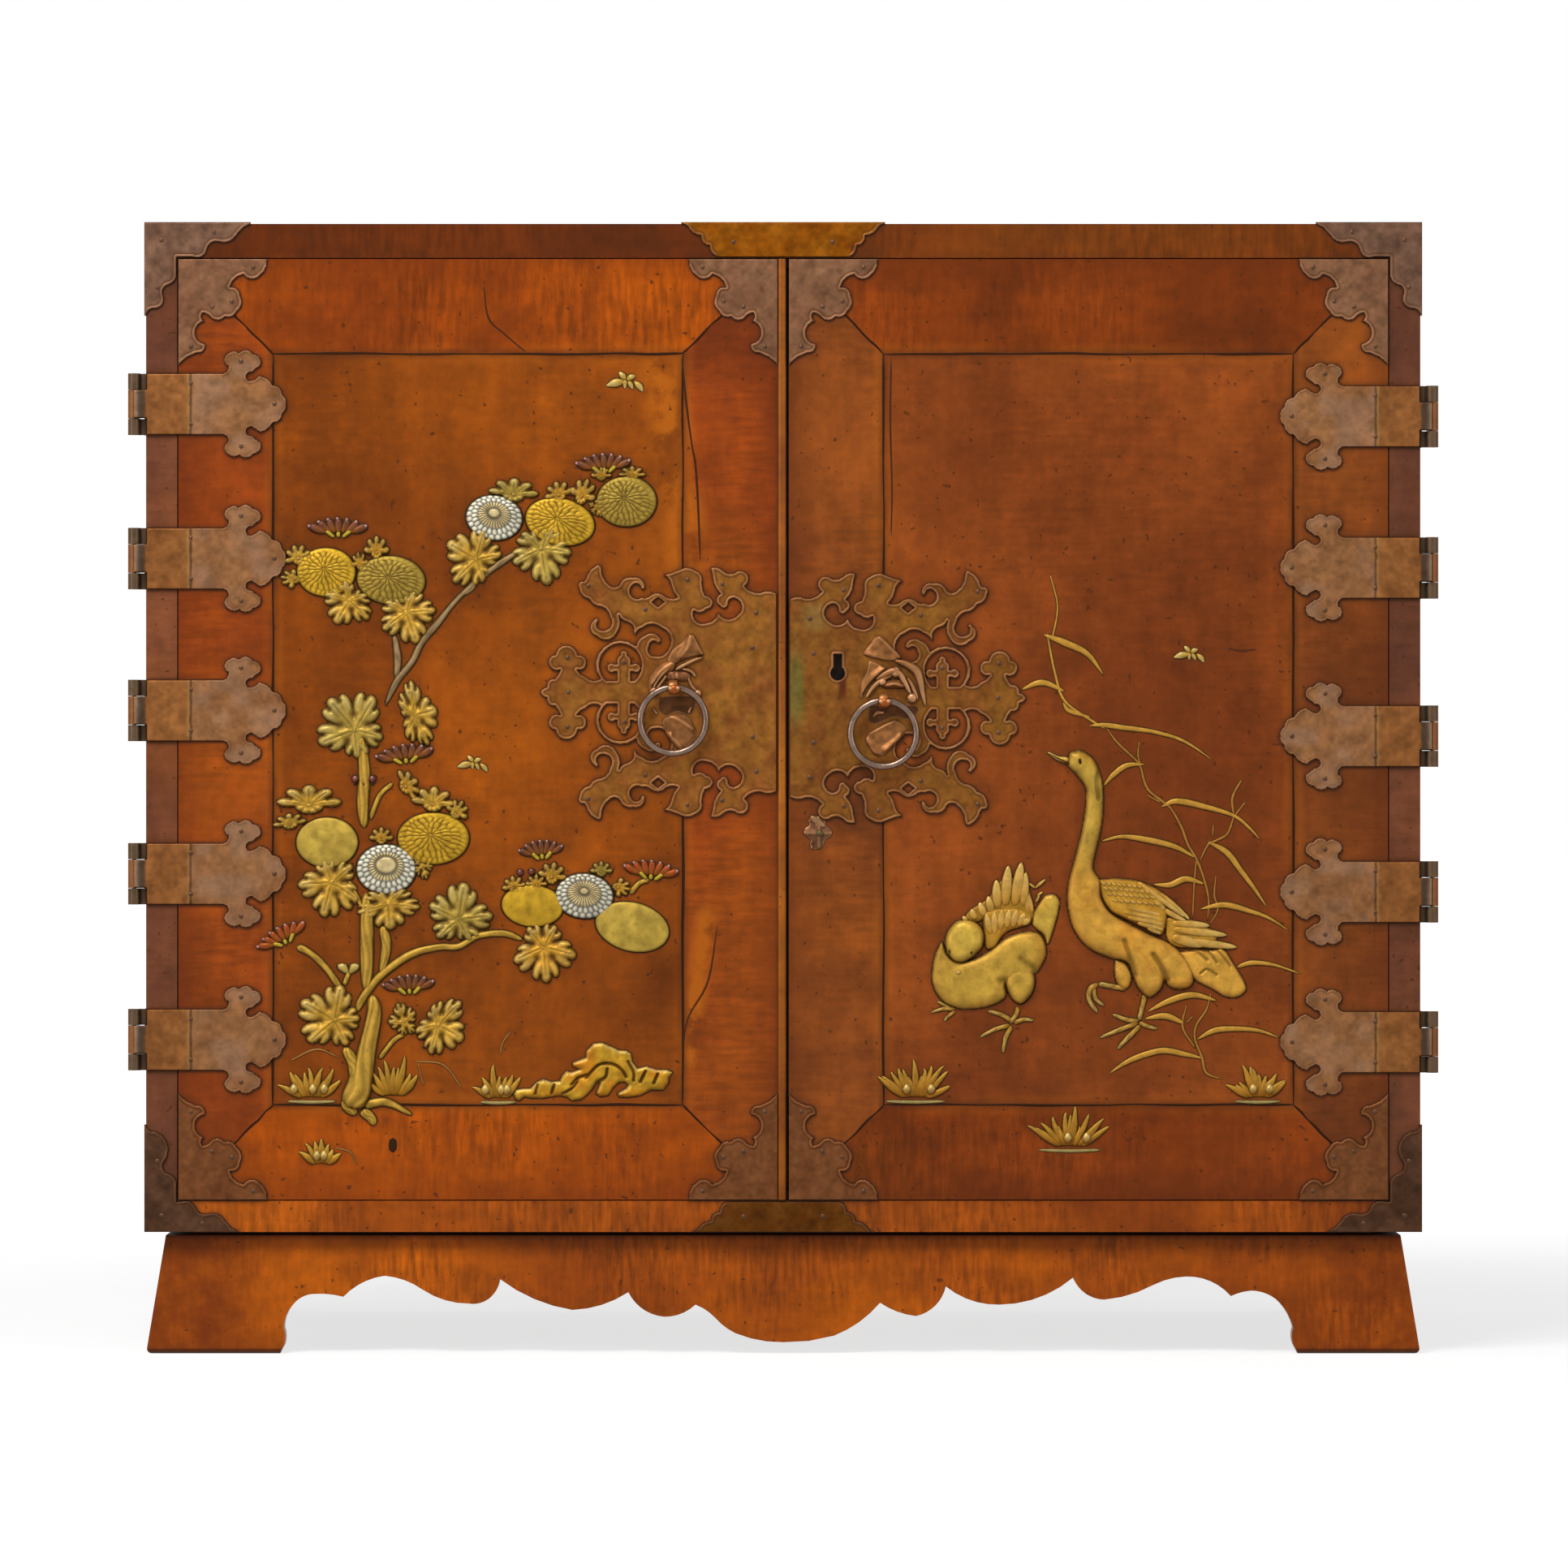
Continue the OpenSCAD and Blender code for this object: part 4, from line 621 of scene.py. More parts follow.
def measured(points, sides):
    """For each point the distance to the nearest side, the nearest place on it, and whether the
    point lies inside: a line to its right then crosses an odd number of sides."""
    a, b = sides[:, 0], sides[:, 1]
    ab = b - a
    rise = np.where(ab[:, 1] == 0, 1, ab[:, 1])
    near, inside = np.empty_like(points), np.empty(len(points), bool)
    for part in np.array_split(np.arange(len(points)), 1 + len(points) * len(a) // 2000000):
        p = points[part, None]
        share = np.clip(((p - a) * ab).sum(-1) / ((ab**2).sum(1) + 1e-12), 0, 1)
        spot = a + share[..., None] * ab
        near[part] = spot[np.arange(len(part)), ((spot - p) ** 2).sum(-1).argmin(1)]
        crossed = (a[:, 1] > p[..., 1]) != (b[:, 1] > p[..., 1])
        inside[part] = (crossed & (p[..., 0] < a[:, 0] + (p[..., 1] - a[:, 1]) / rise * ab[:, 0])
                        ).sum(1) % 2 == 1
    return np.linalg.norm(points - near, axis=1), near, inside


print("the left lock plate has", len(flat_face("left_lock_plate", plate_y)), "sides")

# %% [markdown]
# The relief itself is the grid with its points pushed forward. The cells that the outline crosses
# would leave a stair of squares, so the points nearest to the outline are moved onto it. A halo, a
# thin dark skirt round a form, is a painted shadow line where the form meets the door, partly old dirt.

# %% Relief over an outline
SUNK = 0.02


def raised(shells, sides, back, step, surface, halo=0.0):
    """A relief over an outline. Grid points near the outline are moved onto it, and surface(depth,
    points, near) gives the height in front of back and the colour at every point, where depth is the
    distance inside the outline, negative in the halo round it. The same cells, laid flat behind,
    close the shell."""
    low = sides.min((0, 1)) - halo - 1.5 * step
    high = sides.max((0, 1)) + halo + 1.5 * step
    x, z = np.meshgrid(np.arange(low[0], high[0], step), np.arange(low[1], high[1], step))
    points = np.stack([x, z], -1).reshape(-1, 2)
    distance, near, inside = measured(points, sides)
    depth = np.where(inside, distance, -distance)
    cells = grid_faces(*x.shape)
    cells = cells[depth[cells].mean(1) > -halo]
    used, cells = np.unique(cells, return_inverse=True)
    cells = cells.reshape(-1, 4)
    points, near, depth = points[used], near[used], depth[used]
    away = (points - near) / np.maximum(np.abs(depth), 1e-9)[:, None]
    rim = depth < -halo + 0.4 * step
    on = (np.abs(depth) < 0.4 * step) & ~rim
    points = np.where(on[:, None], near, points)
    points = np.where(rim[:, None], near + (away * halo if halo else 0), points)
    depth = np.where(on, 0, np.where(rim, -halo, depth))
    out, tint = surface(depth, points, near)
    front = np.c_[points[:, 0], back - out, points[:, 1]]
    behind = np.c_[points[:, 0], np.full(len(points), back + SUNK), points[:, 1]]
    other = np.where(rim, np.arange(len(points)), np.arange(len(points)) + len(points))
    shells.add(np.concatenate([front, behind]), np.concatenate([cells, other[cells][:, ::-1]]),
               np.concatenate([tint, tint]))


print("a relief's back lies", SUNK, "mm inside what carries it")

# %% [markdown]
# ## The copper mounts
# Every mount is sheet copper with a raised rim and a groove inside it, where the punch ran along the
# outline; the rim carries a painted highlight, partly wear, and the groove painted shade. Its outline is
# taken from the CAD plate itself, so the skin can't slip off it. Straight edges that lie along a board
# have no rim on the real mounts, so they get none here.

# %% The surface of a sheet mount
FIELD, OCHRE, RIM_WEAR_AND_HIGHLIGHT = np.array([[0.21, 0.066, 0.014], [0.26, 0.105, 0.016], [0.42, 0.2, 0.1]])
GROOVE_SHADE, SHADOW = np.array([[0.06, 0.02, 0.007], [0.03, 0.01, 0.005]])


def pressed(field, ochre, rim_wear_and_highlight, plain, rim_width=1.0, stains=(), extra=None, edge=1.0):
    """The surface of a sheet mount. The rim is a bell curve of the depth, the groove a second one a
    little further in, and between them lies a field with slow dents. The rim carries a painted highlight
    that comes and goes like wear, the groove and the dents painted shade and the outer edge a painted
    shadow; edge weakens rim and groove."""
    def surface(depth, points, near):
        """Height and colour by depth: first the shape, then the cloudy field with painted shade in its dents,
        then stains, the groove's painted shade and the rim's painted highlight on top."""
        rimmed = np.where(plain(near), 0.0, 1.0)
        rim = bell(depth, rim_width, 0.5 * rim_width) * rimmed
        groove = bell(depth, 2.4 * rim_width, 0.6 * rim_width) * rimmed
        dents = speckle(points, 6, 1) * 0.5 + speckle(points, 2.6, 2) * 0.5
        rim, groove = rim * edge, groove * edge
        out = 0.16 + 0.2 * dents + 0.4 * rim - 0.14 * groove
        cloud = np.clip(speckle(points, 16, 3) * 0.8 + speckle(points, 6, 4) * 0.6 - 0.25, 0, 1)
        # painted shade: the field is darker in its dents
        tint = laid_over(field, ochre, cloud) * (0.66 + 0.6 * dents[:, None])
        for x, z, wide, high, colour in stains:
            (cx, cz), size = at([x, z]), np.array([wide, high]) * PIXEL
            share = np.exp(-((((points - [cx, cz]) / size) ** 4).sum(1)))
            tint = laid_over(tint, np.array(colour) * (0.7 + 0.6 * dents[:, None]), share)
        groove = (0.5 + 0.5 * speckle(points, 7, 21)) * groove
        # painted shade in the groove
        tint = laid_over(tint, GROOVE_SHADE, 0.85 * groove)
        worn = (0.25 + 0.75 * speckle(points, 9, 22)) * rim
        # painted highlight on the rim, coming and going with wear
        tint = laid_over(tint, rim_wear_and_highlight, 0.8 * worn)
        if extra:
            out, tint = extra(points, out, tint)
        # painted shadow along the outermost edge
        tint = np.where((depth < 0.3)[:, None], SHADOW * 2, tint)
        return np.where(depth < 0.01, 0.0, out), tint
    return surface


print("rim colour", RIM_WEAR_AND_HIGHLIGHT, "and groove colour", GROOVE_SHADE)

# %% [markdown]
# Two kinds of mount need more. A hinge strap is seen with its second layer of sheet and its knuckle,
# and the mounts at the foot of the doors are browner. Both are small changes to the same surface.

# %% Straps and low mounts
CASE_HALF, SEAM = 449.7, 30.6
STEP_SHINE, KNUCKLE_GREY, STRAP_PALE = np.array([[0.3, 0.19, 0.06], [0.085, 0.052, 0.032],
                                                 [0.27, 0.15, 0.09]])
DOOR_HALFWAY, BROWNER = 400, np.array([0.82, 0.62, 0.42])


def seamed(points, out, tint):
    """The outer third of a strap is a second layer of sheet: redder, and ending in a step with a painted
    highlight on one edge and painted shade on the other. The knuckle beyond the case is greyer, with a
    painted highlight along its crown."""
    along = CASE_HALF - np.abs(points[:, 0]) + 0.8 * (speckle(points, 4, 23) - 0.5)
    outer, knuckle = (1 / (1 + np.exp((along - spot) * 3)) for spot in (SEAM, -0.6))
    tint = laid_over(tint, tint * [0.95, 0.82, 0.6], outer)
    # painted highlight on one edge of the step
    tint = laid_over(tint, STEP_SHINE, 0.5 * bell(along, SEAM - 1, 0.7))
    pale = (1 - outer) * np.clip(2.4 * speckle(points, 13, 24) - 0.9, 0, 1) * 0.5
    tint = laid_over(tint, STRAP_PALE, pale)
    # painted highlight along the knuckle's crown
    crown = bell(along, -8, 2)
    tint = laid_over(tint, KNUCKLE_GREY * (0.7 + 2.2 * crown[:, None]), knuckle)
    # painted shade on the other edge of the step
    return out + 0.25 * outer, tint * (1 - 0.75 * bell(along, SEAM + 0.8, 0.7))[:, None]


def browned(points, out, tint):
    """The mounts at the foot of the doors are browner than those at the top."""
    return out, np.where((points[:, 1:] < DOOR_HALFWAY), tint * BROWNER, tint)


print("the step of a strap lies", SEAM, "mm in from the side of the case")

# %% [markdown]
# A skin is laid on every plate of a CAD node in turn. The rim leaves out the sides where a mount
# meets a neighbour or the edge of its board: for a corner those are the sides of its own box, and
# for a lock plate the meeting edge of the doors.


# %% Skins on the plates
def in_box(low, high):
    """Which places lie on the border of a box."""
    return lambda q: (np.abs(q - low) < 0.4).any(1) | (np.abs(q - high) < 0.4).any(1)


def skin(name, cad, plane, body, step=0.7, field=FIELD, ochre=OCHRE, rim=RIM_WEAR_AND_HIGHLIGHT, plain=None, width=1.0,
         stains=(), extra=None, edge=1.0):
    """Lays a pressed surface on each separate plate of a CAD node's front face."""
    shells = Shells()
    for sides in groups(flat_face(cad, plane)):
        where = plain or in_box(sides.min((0, 1)), sides.max((0, 1)))
        surface = pressed(field, ochre, rim, where, width, stains, extra, edge)
        raised(shells, sides, plane - 0.02, step, surface)
    return shells.build(name, body, plate_copper, "copper")


VERDIGRIS, DRIP, PALE_SPOT = (0.13, 0.1, 0.02), (0.09, 0.02, 0.008), (0.2, 0.1, 0.025)
MEETING, STRAP_END = 5.4, 396
skin("left_plate_skin", "left_lock_plate", plate_y, "left_door", 0.62, plain=lambda q: q[:, 0] > -MEETING)
skin("right_plate_skin", "right_lock_plate", plate_y, "right_door", 0.62, FIELD * 0.86, OCHRE * 0.86,
     RIM_WEAR_AND_HIGHLIGHT * 0.9, plain=lambda q: q[:, 0] < MEETING,
     stains=[(981, 849, 10, 44, VERDIGRIS), (1038, 846, 5, 16, DRIP), (1003, 760, 16, 18, PALE_SPOT)])
HINGE_FIELD, HINGE_OCHRE = np.array([0.21, 0.088, 0.034]), np.array([0.28, 0.125, 0.048])
for side in ("left", "right"):
    skin(side + "_strap_skins", side + "_hinge_straps", plate_y, side + "_door", 0.8, HINGE_FIELD,
         HINGE_OCHRE, RIM_WEAR_AND_HIGHLIGHT * 0.9, plain=lambda q: np.abs(q[:, 0]) > STRAP_END, width=0.8, extra=seamed,
         edge=0.65)
    skin(side + "_corner_skins", side + "_door_corner_mounts", mount_y, side + "_door", 0.7,
         np.array([0.165, 0.072, 0.037]), np.array([0.21, 0.1, 0.05]), RIM_WEAR_AND_HIGHLIGHT, extra=browned)
skin("top_centre_skin", "top_centre_mount", case_mount_y, "root", 0.7, np.array([0.2, 0.05, 0.001]),
     np.array([0.25, 0.08, 0.003]), RIM_WEAR_AND_HIGHLIGHT * 0.8)
skin("top_corner_skins", "case_top_corner_mounts", case_mount_y, "root", 0.7,
     np.array([0.125, 0.062, 0.04]), np.array([0.18, 0.094, 0.056]), RIM_WEAR_AND_HIGHLIGHT * 0.7)
skin("bottom_centre_skin", "bottom_centre_mount", case_mount_y, "root", 0.7,
     np.array([0.08, 0.022, 0.002]), np.array([0.12, 0.04, 0.005]), RIM_WEAR_AND_HIGHLIGHT * 0.5)
skin("bottom_corner_skins", "case_bottom_corner_mounts", case_mount_y, "root", 0.7,
     np.array([0.05, 0.022, 0.012]), np.array([0.1, 0.045, 0.024]), RIM_WEAR_AND_HIGHLIGHT * 0.4)

# %% [markdown]
# ## Stems, blades and feathers
# A stem, a reed leaf and a goose feather are all half an oval carried along a smooth line. The line
# is a chain of cubic curves through a few places, and the half width is one more value that runs
# along it. A curve object with a bevel could do this too, but not with a colour that follows it.


# %% Strokes
def smooth_line(points, count):
    """Between two places runs a cubic whose slope at each end is half the step between the neighbours
    on both sides."""
    p = np.asarray(points, float)
    p = np.vstack([2 * p[0] - p[1], p, 2 * p[-1] - p[-2]])
    s = np.linspace(0, len(p) - 3 - 1e-9, count)
    k = s.astype(int)
    t = (s - k)[:, None]
    a, b, c, d = p[k], p[k + 1], p[k + 2], p[k + 3]
    return 0.5 * (2 * b + (c - a) * t + (2 * a - 5 * b + 4 * c - d) * t**2 + (3 * b - a - 3 * c + d) * t**3)


# dark brown for pupils and fine lines, and for painted shadow: halos, gaps, hollows and the feet of the
# relief
EARTH_AND_SHADOW = np.array([0.055, 0.018, 0.006])


def stroke(shells, points, colour, height=0.8, taper=10, back=None, halo=0.8, sides=8, lift=0.0, to=None,
           bark=0):
    """points are pixels across, down and half width. Across the line the piece is w times the cosine
    and in front of the door height times w times the sine of the angle; the width falls to nothing
    at both ends by a root of one less a power, so a high power gives blunt ends. The colour runs to
    the colour to, and bark is a number of ridges that follow the line. The flanks and the grooves
    between ridges are painted darker as shade, and the halo is a dark skirt of painted shadow."""
    back = door_y if back is None else back
    p = np.array(points, float)
    count = int(np.clip(len(p) * 5, 10, 60))
    line = smooth_line(np.c_[at(p[:, :2]), p[:, 2] * PIXEL], count)
    s = np.linspace(-0.995, 0.995, count)
    wide = np.maximum(line[:, 2], 0.15) * np.sqrt(1 - np.abs(s) ** taper)
    slope = np.gradient(line[:, :2], axis=0)
    slope /= np.linalg.norm(slope, axis=1)[:, None] + 1e-9
    aside = np.c_[-slope[:, 1], slope[:, 0]]
    angle = np.linspace(0, np.pi, sides)
    for extra, tall, tone in ((halo, 0.0, EARTH_AND_SHADOW), (0.0, height, None)):
        if tone is not None and not halo:
            continue
        w = wide + extra * (wide > 0.1)
        flat = line[:, None, :2] + aside[:, None] * (w[:, None] * np.cos(angle))[..., None]
        out = 0.12 * np.sin(angle) + 0 * w[:, None] if tone is not None else (
            lift + tall * wide[:, None] * np.sin(angle) + 0.05)
        # painted shade: the colour darkens towards the flanks, and below also between the bark ridges
        shade = np.broadcast_to(0.6 + 0.4 * np.sin(angle), (count, sides))
        if bark and tone is None:
            ridge = np.cos(2 * bark * angle + 3 * np.sin(4 * s)[:, None])
            shade, out = shade * (0.78 + 0.22 * ridge), out * (1 + 0.12 * ridge)
        share = ((s + 1) / 2)[:, None, None]
        blend = np.asarray(colour) * (1 - share) + np.asarray(colour if to is None else to) * share
        paint = np.broadcast_to(tone, (count, sides, 3)) if tone is not None else blend * shade[..., None]
        rings_shell(shells, np.stack([flat[..., 0], back - out, flat[..., 1]], -1), paint)


print("three places in a row, smoothed:", smooth_line([(0, 0), (1, 0), (2, 0)], 3)[:, 0])

# %% [markdown]
# The chrysanthemum grows from one woody foot. Its thick stems are gold with ridges of bark, and the
# thin ones of the upper spray are greyer, because much of their gold has worn off.

# %% Stems
STEM, PALE_STEM = (0.52, 0.3, 0.042), (0.31, 0.2, 0.09)
left_stems = Shells()
for points in (
        [(436, 1366, 15), (438, 1352, 16), (444, 1334, 15), (452, 1295, 11), (461, 1250, 9), (458, 1226, 7)],
        [(452, 1222, 6), (452, 1180, 8), (452, 1140, 8), (451, 1100, 6)],
        [(449, 1020, 5), (447, 990, 7), (449, 950, 7), (444, 905, 5)],
        [(470, 1200, 4), (476, 1166, 6), (471, 1140, 5)],
        [(440, 1246, 4), (446, 1232, 5), (467, 1204, 5), (504, 1177, 5), (540, 1167, 4), (565, 1166, 4),
         (589, 1153, 4), (620, 1150, 4), (644, 1158, 4)],
        [(421, 1220, 4), (402, 1193, 4), (383, 1175, 4), (366, 1166, 5)],
        [(424, 1214, 3), (430, 1198, 3)], [(424, 1290, 5), (436, 1310, 8), (440, 1330, 9)],
        [(467, 1305, 3), (485, 1282, 3), (498, 1274, 3)], [(440, 1372, 5), (428, 1364, 6), (424, 1355, 4)],
        [(445, 1368, 6), (456, 1376, 6), (462, 1386, 4)], [(448, 1362, 6), (476, 1358, 5), (508, 1374, 2)],
        [(430, 1085, 3), (441, 1108, 3), (450, 1122, 3)], [(456, 1010, 3), (468, 980, 3), (484, 965, 3)],
        [(776, 1101, 4), (788, 1088, 3), (800, 1084, 3)]):
    stroke(left_stems, points, STEM, 0.75, sides=17 if points[1][2] > 5 else 9,
           bark=3 if points[1][2] > 5 else 1)
for points in (
        [(604, 706, 3), (587, 716, 3), (560, 742, 3), (540, 767, 4), (520, 791, 4), (508, 815, 4),
         (490, 838, 4), (475, 868, 3)],
        [(486, 782, 3), (490, 811, 4.5), (489, 836, 3.5)], [(592, 712, 3), (616, 694, 4), (642, 678, 3)],
        [(566, 735, 1.5), (580, 727, 2), (588, 716, 1.5)], [(492, 836, 2), (510, 812, 2), (522, 788, 1.5)]):
    stroke(left_stems, points, PALE_STEM, 0.7, bark=1, sides=9)
left_stems.build("left_stems", "left_door", gold, "gold_relief")

# %% [markdown]
# ## Chrysanthemum leaves
# The leaf has five broad lobes with blunt teeth, a raised vein in each and a drilled hollow where two
# lobes part. In polar form its outline is the length of the leaf times one cosine for the lobes and
# a faster one for the teeth, which is easier to vary than a drawn outline. A leaf seen from its
# edge, behind a flower, is a crown of pointed fingers instead.

# %% A leaf
LEAF, LEAF_GREEN, LEAF_WARM = np.array([[0.5, 0.28, 0.035], [0.39, 0.26, 0.045], [0.51, 0.26, 0.028]])
PALE_GOLD_AND_HIGHLIGHT = np.array([0.58, 0.44, 0.15])


def leaf(shells, place, wide, high, turn=0, crown=False, colour=LEAF):
    """place is the middle and wide and high the size, in pixels; turn is where the tip points, in
    degrees clockwise from straight up. The reach from the spot where the veins meet is a low root of
    a cosine, which gives broad lobes with narrow gaps, times a faster one for the teeth. A crown, a
    leaf seen from its edge, keeps five pointed fingers on one side."""
    angle = np.linspace(-np.pi, np.pi, 360, endpoint=False)
    beat = 4.5 if crown else 2.5
    lobes, teeth = np.abs(np.cos(beat * angle)), np.abs(np.cos(7.5 * angle)) ** 0.5
    if crown:
        reach = np.where(np.abs(angle) < 1.745, 0.62 + 0.38 * lobes**0.7, 0.45)
    else:
        uneven = 1 + 0.2 * np.cos(angle) + 0.07 * np.sin(3 * angle + place[0])
        reach = (0.45 + 0.47 * lobes**0.35) * (0.82 + 0.2 * teeth) * uneven
    local = np.c_[np.sin(angle), np.cos(angle)] * reach[:, None]
    half, mid = (local.max(0) - local.min(0)) / 2, (local.max(0) + local.min(0)) / 2
    size = np.array([wide, high]) * PIXEL / 2
    c, s = np.cos(np.radians(turn)), np.sin(np.radians(turn))
    spin = np.array([[c, -s], [s, c]])
    middle = at(place)
    outline = middle + ((local - mid) / half * size) @ spin

    def surface(depth, points, near):
        """Every lobe and finger swells, a groove follows each vein, and a round hollow is drilled
        where two lobes part. The fingers that face up and left carry a painted highlight, and the veins,
        the hollows, the gaps between fingers and the foot of the leaf are painted dark as shade."""
        own = ((points - middle) @ spin.T) / size * half + mid
        turned, far = np.arctan2(own[:, 0], own[:, 1]), np.hypot(own[:, 0], own[:, 1])
        share = far / np.interp(turned, angle, reach)
        step = np.pi / beat
        off = np.abs((turned + step / 2) % step - step / 2)
        mm = size.mean()
        vein = np.exp(-((off * far * mm / 0.5) ** 2)) * (far > 0.06) * (share < 0.85)
        gap = ((step / 2 - off) * far * mm) ** 2 + ((far - 0.4) * mm) ** 2
        hollow = np.exp(-gap / (0.11 * mm) ** 2) * (not crown)
        outer, lobe = np.clip((share - 0.45) / 0.3, 0, 1), np.cos(beat * off)
        finger = lobe if crown else np.abs(np.cos(7.5 * turned)) ** 0.7
        full = 1 - np.exp(-np.maximum(depth, 0) / (0.9 if crown else 1.2))
        lump = 1.1 * lobe + 1.2 * finger * outer + 0.5 * speckle(points, 3, 5) - 0.8 * vein - 1.7 * hollow
        out = 0.12 + full * (1.4 + lump)
        # painted highlight on the fingers that face up and left
        lit = np.clip(0.5 + 0.5 * ((points - middle) / size) @ np.array([-0.7, 0.7]), 0, 1)
        pale = outer * finger * full * (0.1 + 0.65 * lit)
        # painted shade: darker towards the foot of the leaf
        tint = colour * (0.82 + 0.36 * speckle(points, 9, 6)[:, None]) * (0.6 + 0.4 * full[:, None])
        # painted shade in the veins and between the fingers
        tint = laid_over(tint, PALE_GOLD_AND_HIGHLIGHT, pale) * (1 - 0.35 * vein - 0.5 * outer * (1 - finger))[:, None]
        # painted shade in the drilled hollows
        tint = laid_over(tint, EARTH_AND_SHADOW, 0.8 * hollow)
        return out * (depth > -0.7), np.where((depth < 0.05)[:, None], EARTH_AND_SHADOW, tint)

    raised(shells, around(outline), door_y, 0.7 if wide > 50 else 0.55, surface, 0.7)


print("leaf colours", LEAF, LEAF_GREEN, LEAF_WARM)

# %% [markdown]
# Every leaf is placed by its middle and its size in the picture, with the way its tip points. The
# upper and the lower spray are two pieces, so that neither mesh grows too heavy.

# %% The leaves in their places
upper_leaves, lower_leaves = Shells(), Shells()
for place, wide, high, turn, crown, tone in (
        ((633, 604), 62, 30, 4, True, LEAF_GREEN), ((688, 606), 36, 26, -15, True, LEAF_WARM),
        ((719, 606), 34, 34, 20, True, LEAF_WARM), ((741, 584), 26, 18, 0, True, LEAF_WARM),
        ((779, 583), 34, 18, 0, True, LEAF_WARM), ((738, 625), 24, 24, 80, False, LEAF_WARM),
        ((579, 686), 76, 66, -60, False, LEAF), ((668, 686), 74, 72, 170, False, LEAF_GREEN),
        ((358, 713), 24, 26, -80, True, LEAF), ((366, 684), 34, 26, -20, True, LEAF),
        ((464, 675), 32, 30, 0, True, LEAF_WARM), ((443, 692), 22, 24, -10, True, LEAF_WARM),
        ((428, 746), 64, 54, -150, False, LEAF), ((504, 763), 70, 64, 160, False, LEAF),
        ((432, 893), 90, 84, -40, False, LEAF_GREEN), ((516, 879), 84, 46, 75, False, LEAF),
        ((504, 967), 44, 24, 60, True, LEAF_WARM)):
    leaf(upper_leaves, place, wide, high, turn, crown, tone)
for place, wide, high, turn, crown, tone in (
        ((381, 985), 80, 36, 0, True, LEAF), ((357, 1012), 42, 20, -8, True, LEAF),
        ((534, 985), 54, 32, 6, True, LEAF), ((564, 998), 30, 26, 30, True, LEAF),
        ((470, 1030), 30, 22, 0, True, LEAF_WARM), ((406, 1094), 78, 74, -165, False, LEAF),
        ((479, 1121), 78, 50, 175, False, LEAF), ((522, 1070), 24, 28, 160, False, LEAF),
        ((568, 1124), 80, 74, 10, False, LEAF_GREEN), ((406, 1252), 82, 80, -60, False, LEAF),
        ((496, 1256), 36, 42, -20, False, LEAF), ((547, 1265), 76, 58, 120, False, LEAF),
        ((671, 1174), 78, 74, 175, False, LEAF_WARM), ((681, 1076), 36, 28, 10, True, LEAF_WARM),
        ((633, 1090), 30, 22, -10, True, LEAF_WARM), ((661, 1087), 28, 20, 0, True, LEAF_WARM),
        ((766, 1094), 24, 24, 100, True, LEAF_WARM), ((741, 1071), 28, 20, 0, True, LEAF_GREEN)):
    leaf(lower_leaves, place, wide, high, turn, crown, tone)
upper_leaves.build("upper_leaves", "left_door", gold, "gold_relief")
lower_leaves.build("lower_leaves", "left_door", gold, "gold_relief")

# %% [markdown]
# ## Chrysanthemum heads
# A head is a low dome seen a little from the side, so its centre sits above the middle. Three kinds
# grow here: silver ones with two rings of round petals, gold ones with long wavy petals, and plain
# domes. All are grids of rings, and the petals are cosines of the angle on top of the dome. Single
# petals laid on one by one would look the same from here and cost a hundred times the faces.

# %% A flower head
GOLD, OLIVE, SILVER, PLAIN, CREAM = np.array([[0.5, 0.29, 0.02], [0.3, 0.2, 0.03], [0.64, 0.6, 0.45],
                                              [0.46, 0.31, 0.05], [0.52, 0.41, 0.2]])
PETAL_GAP_SHADE = np.array([0.05, 0.055, 0.055])


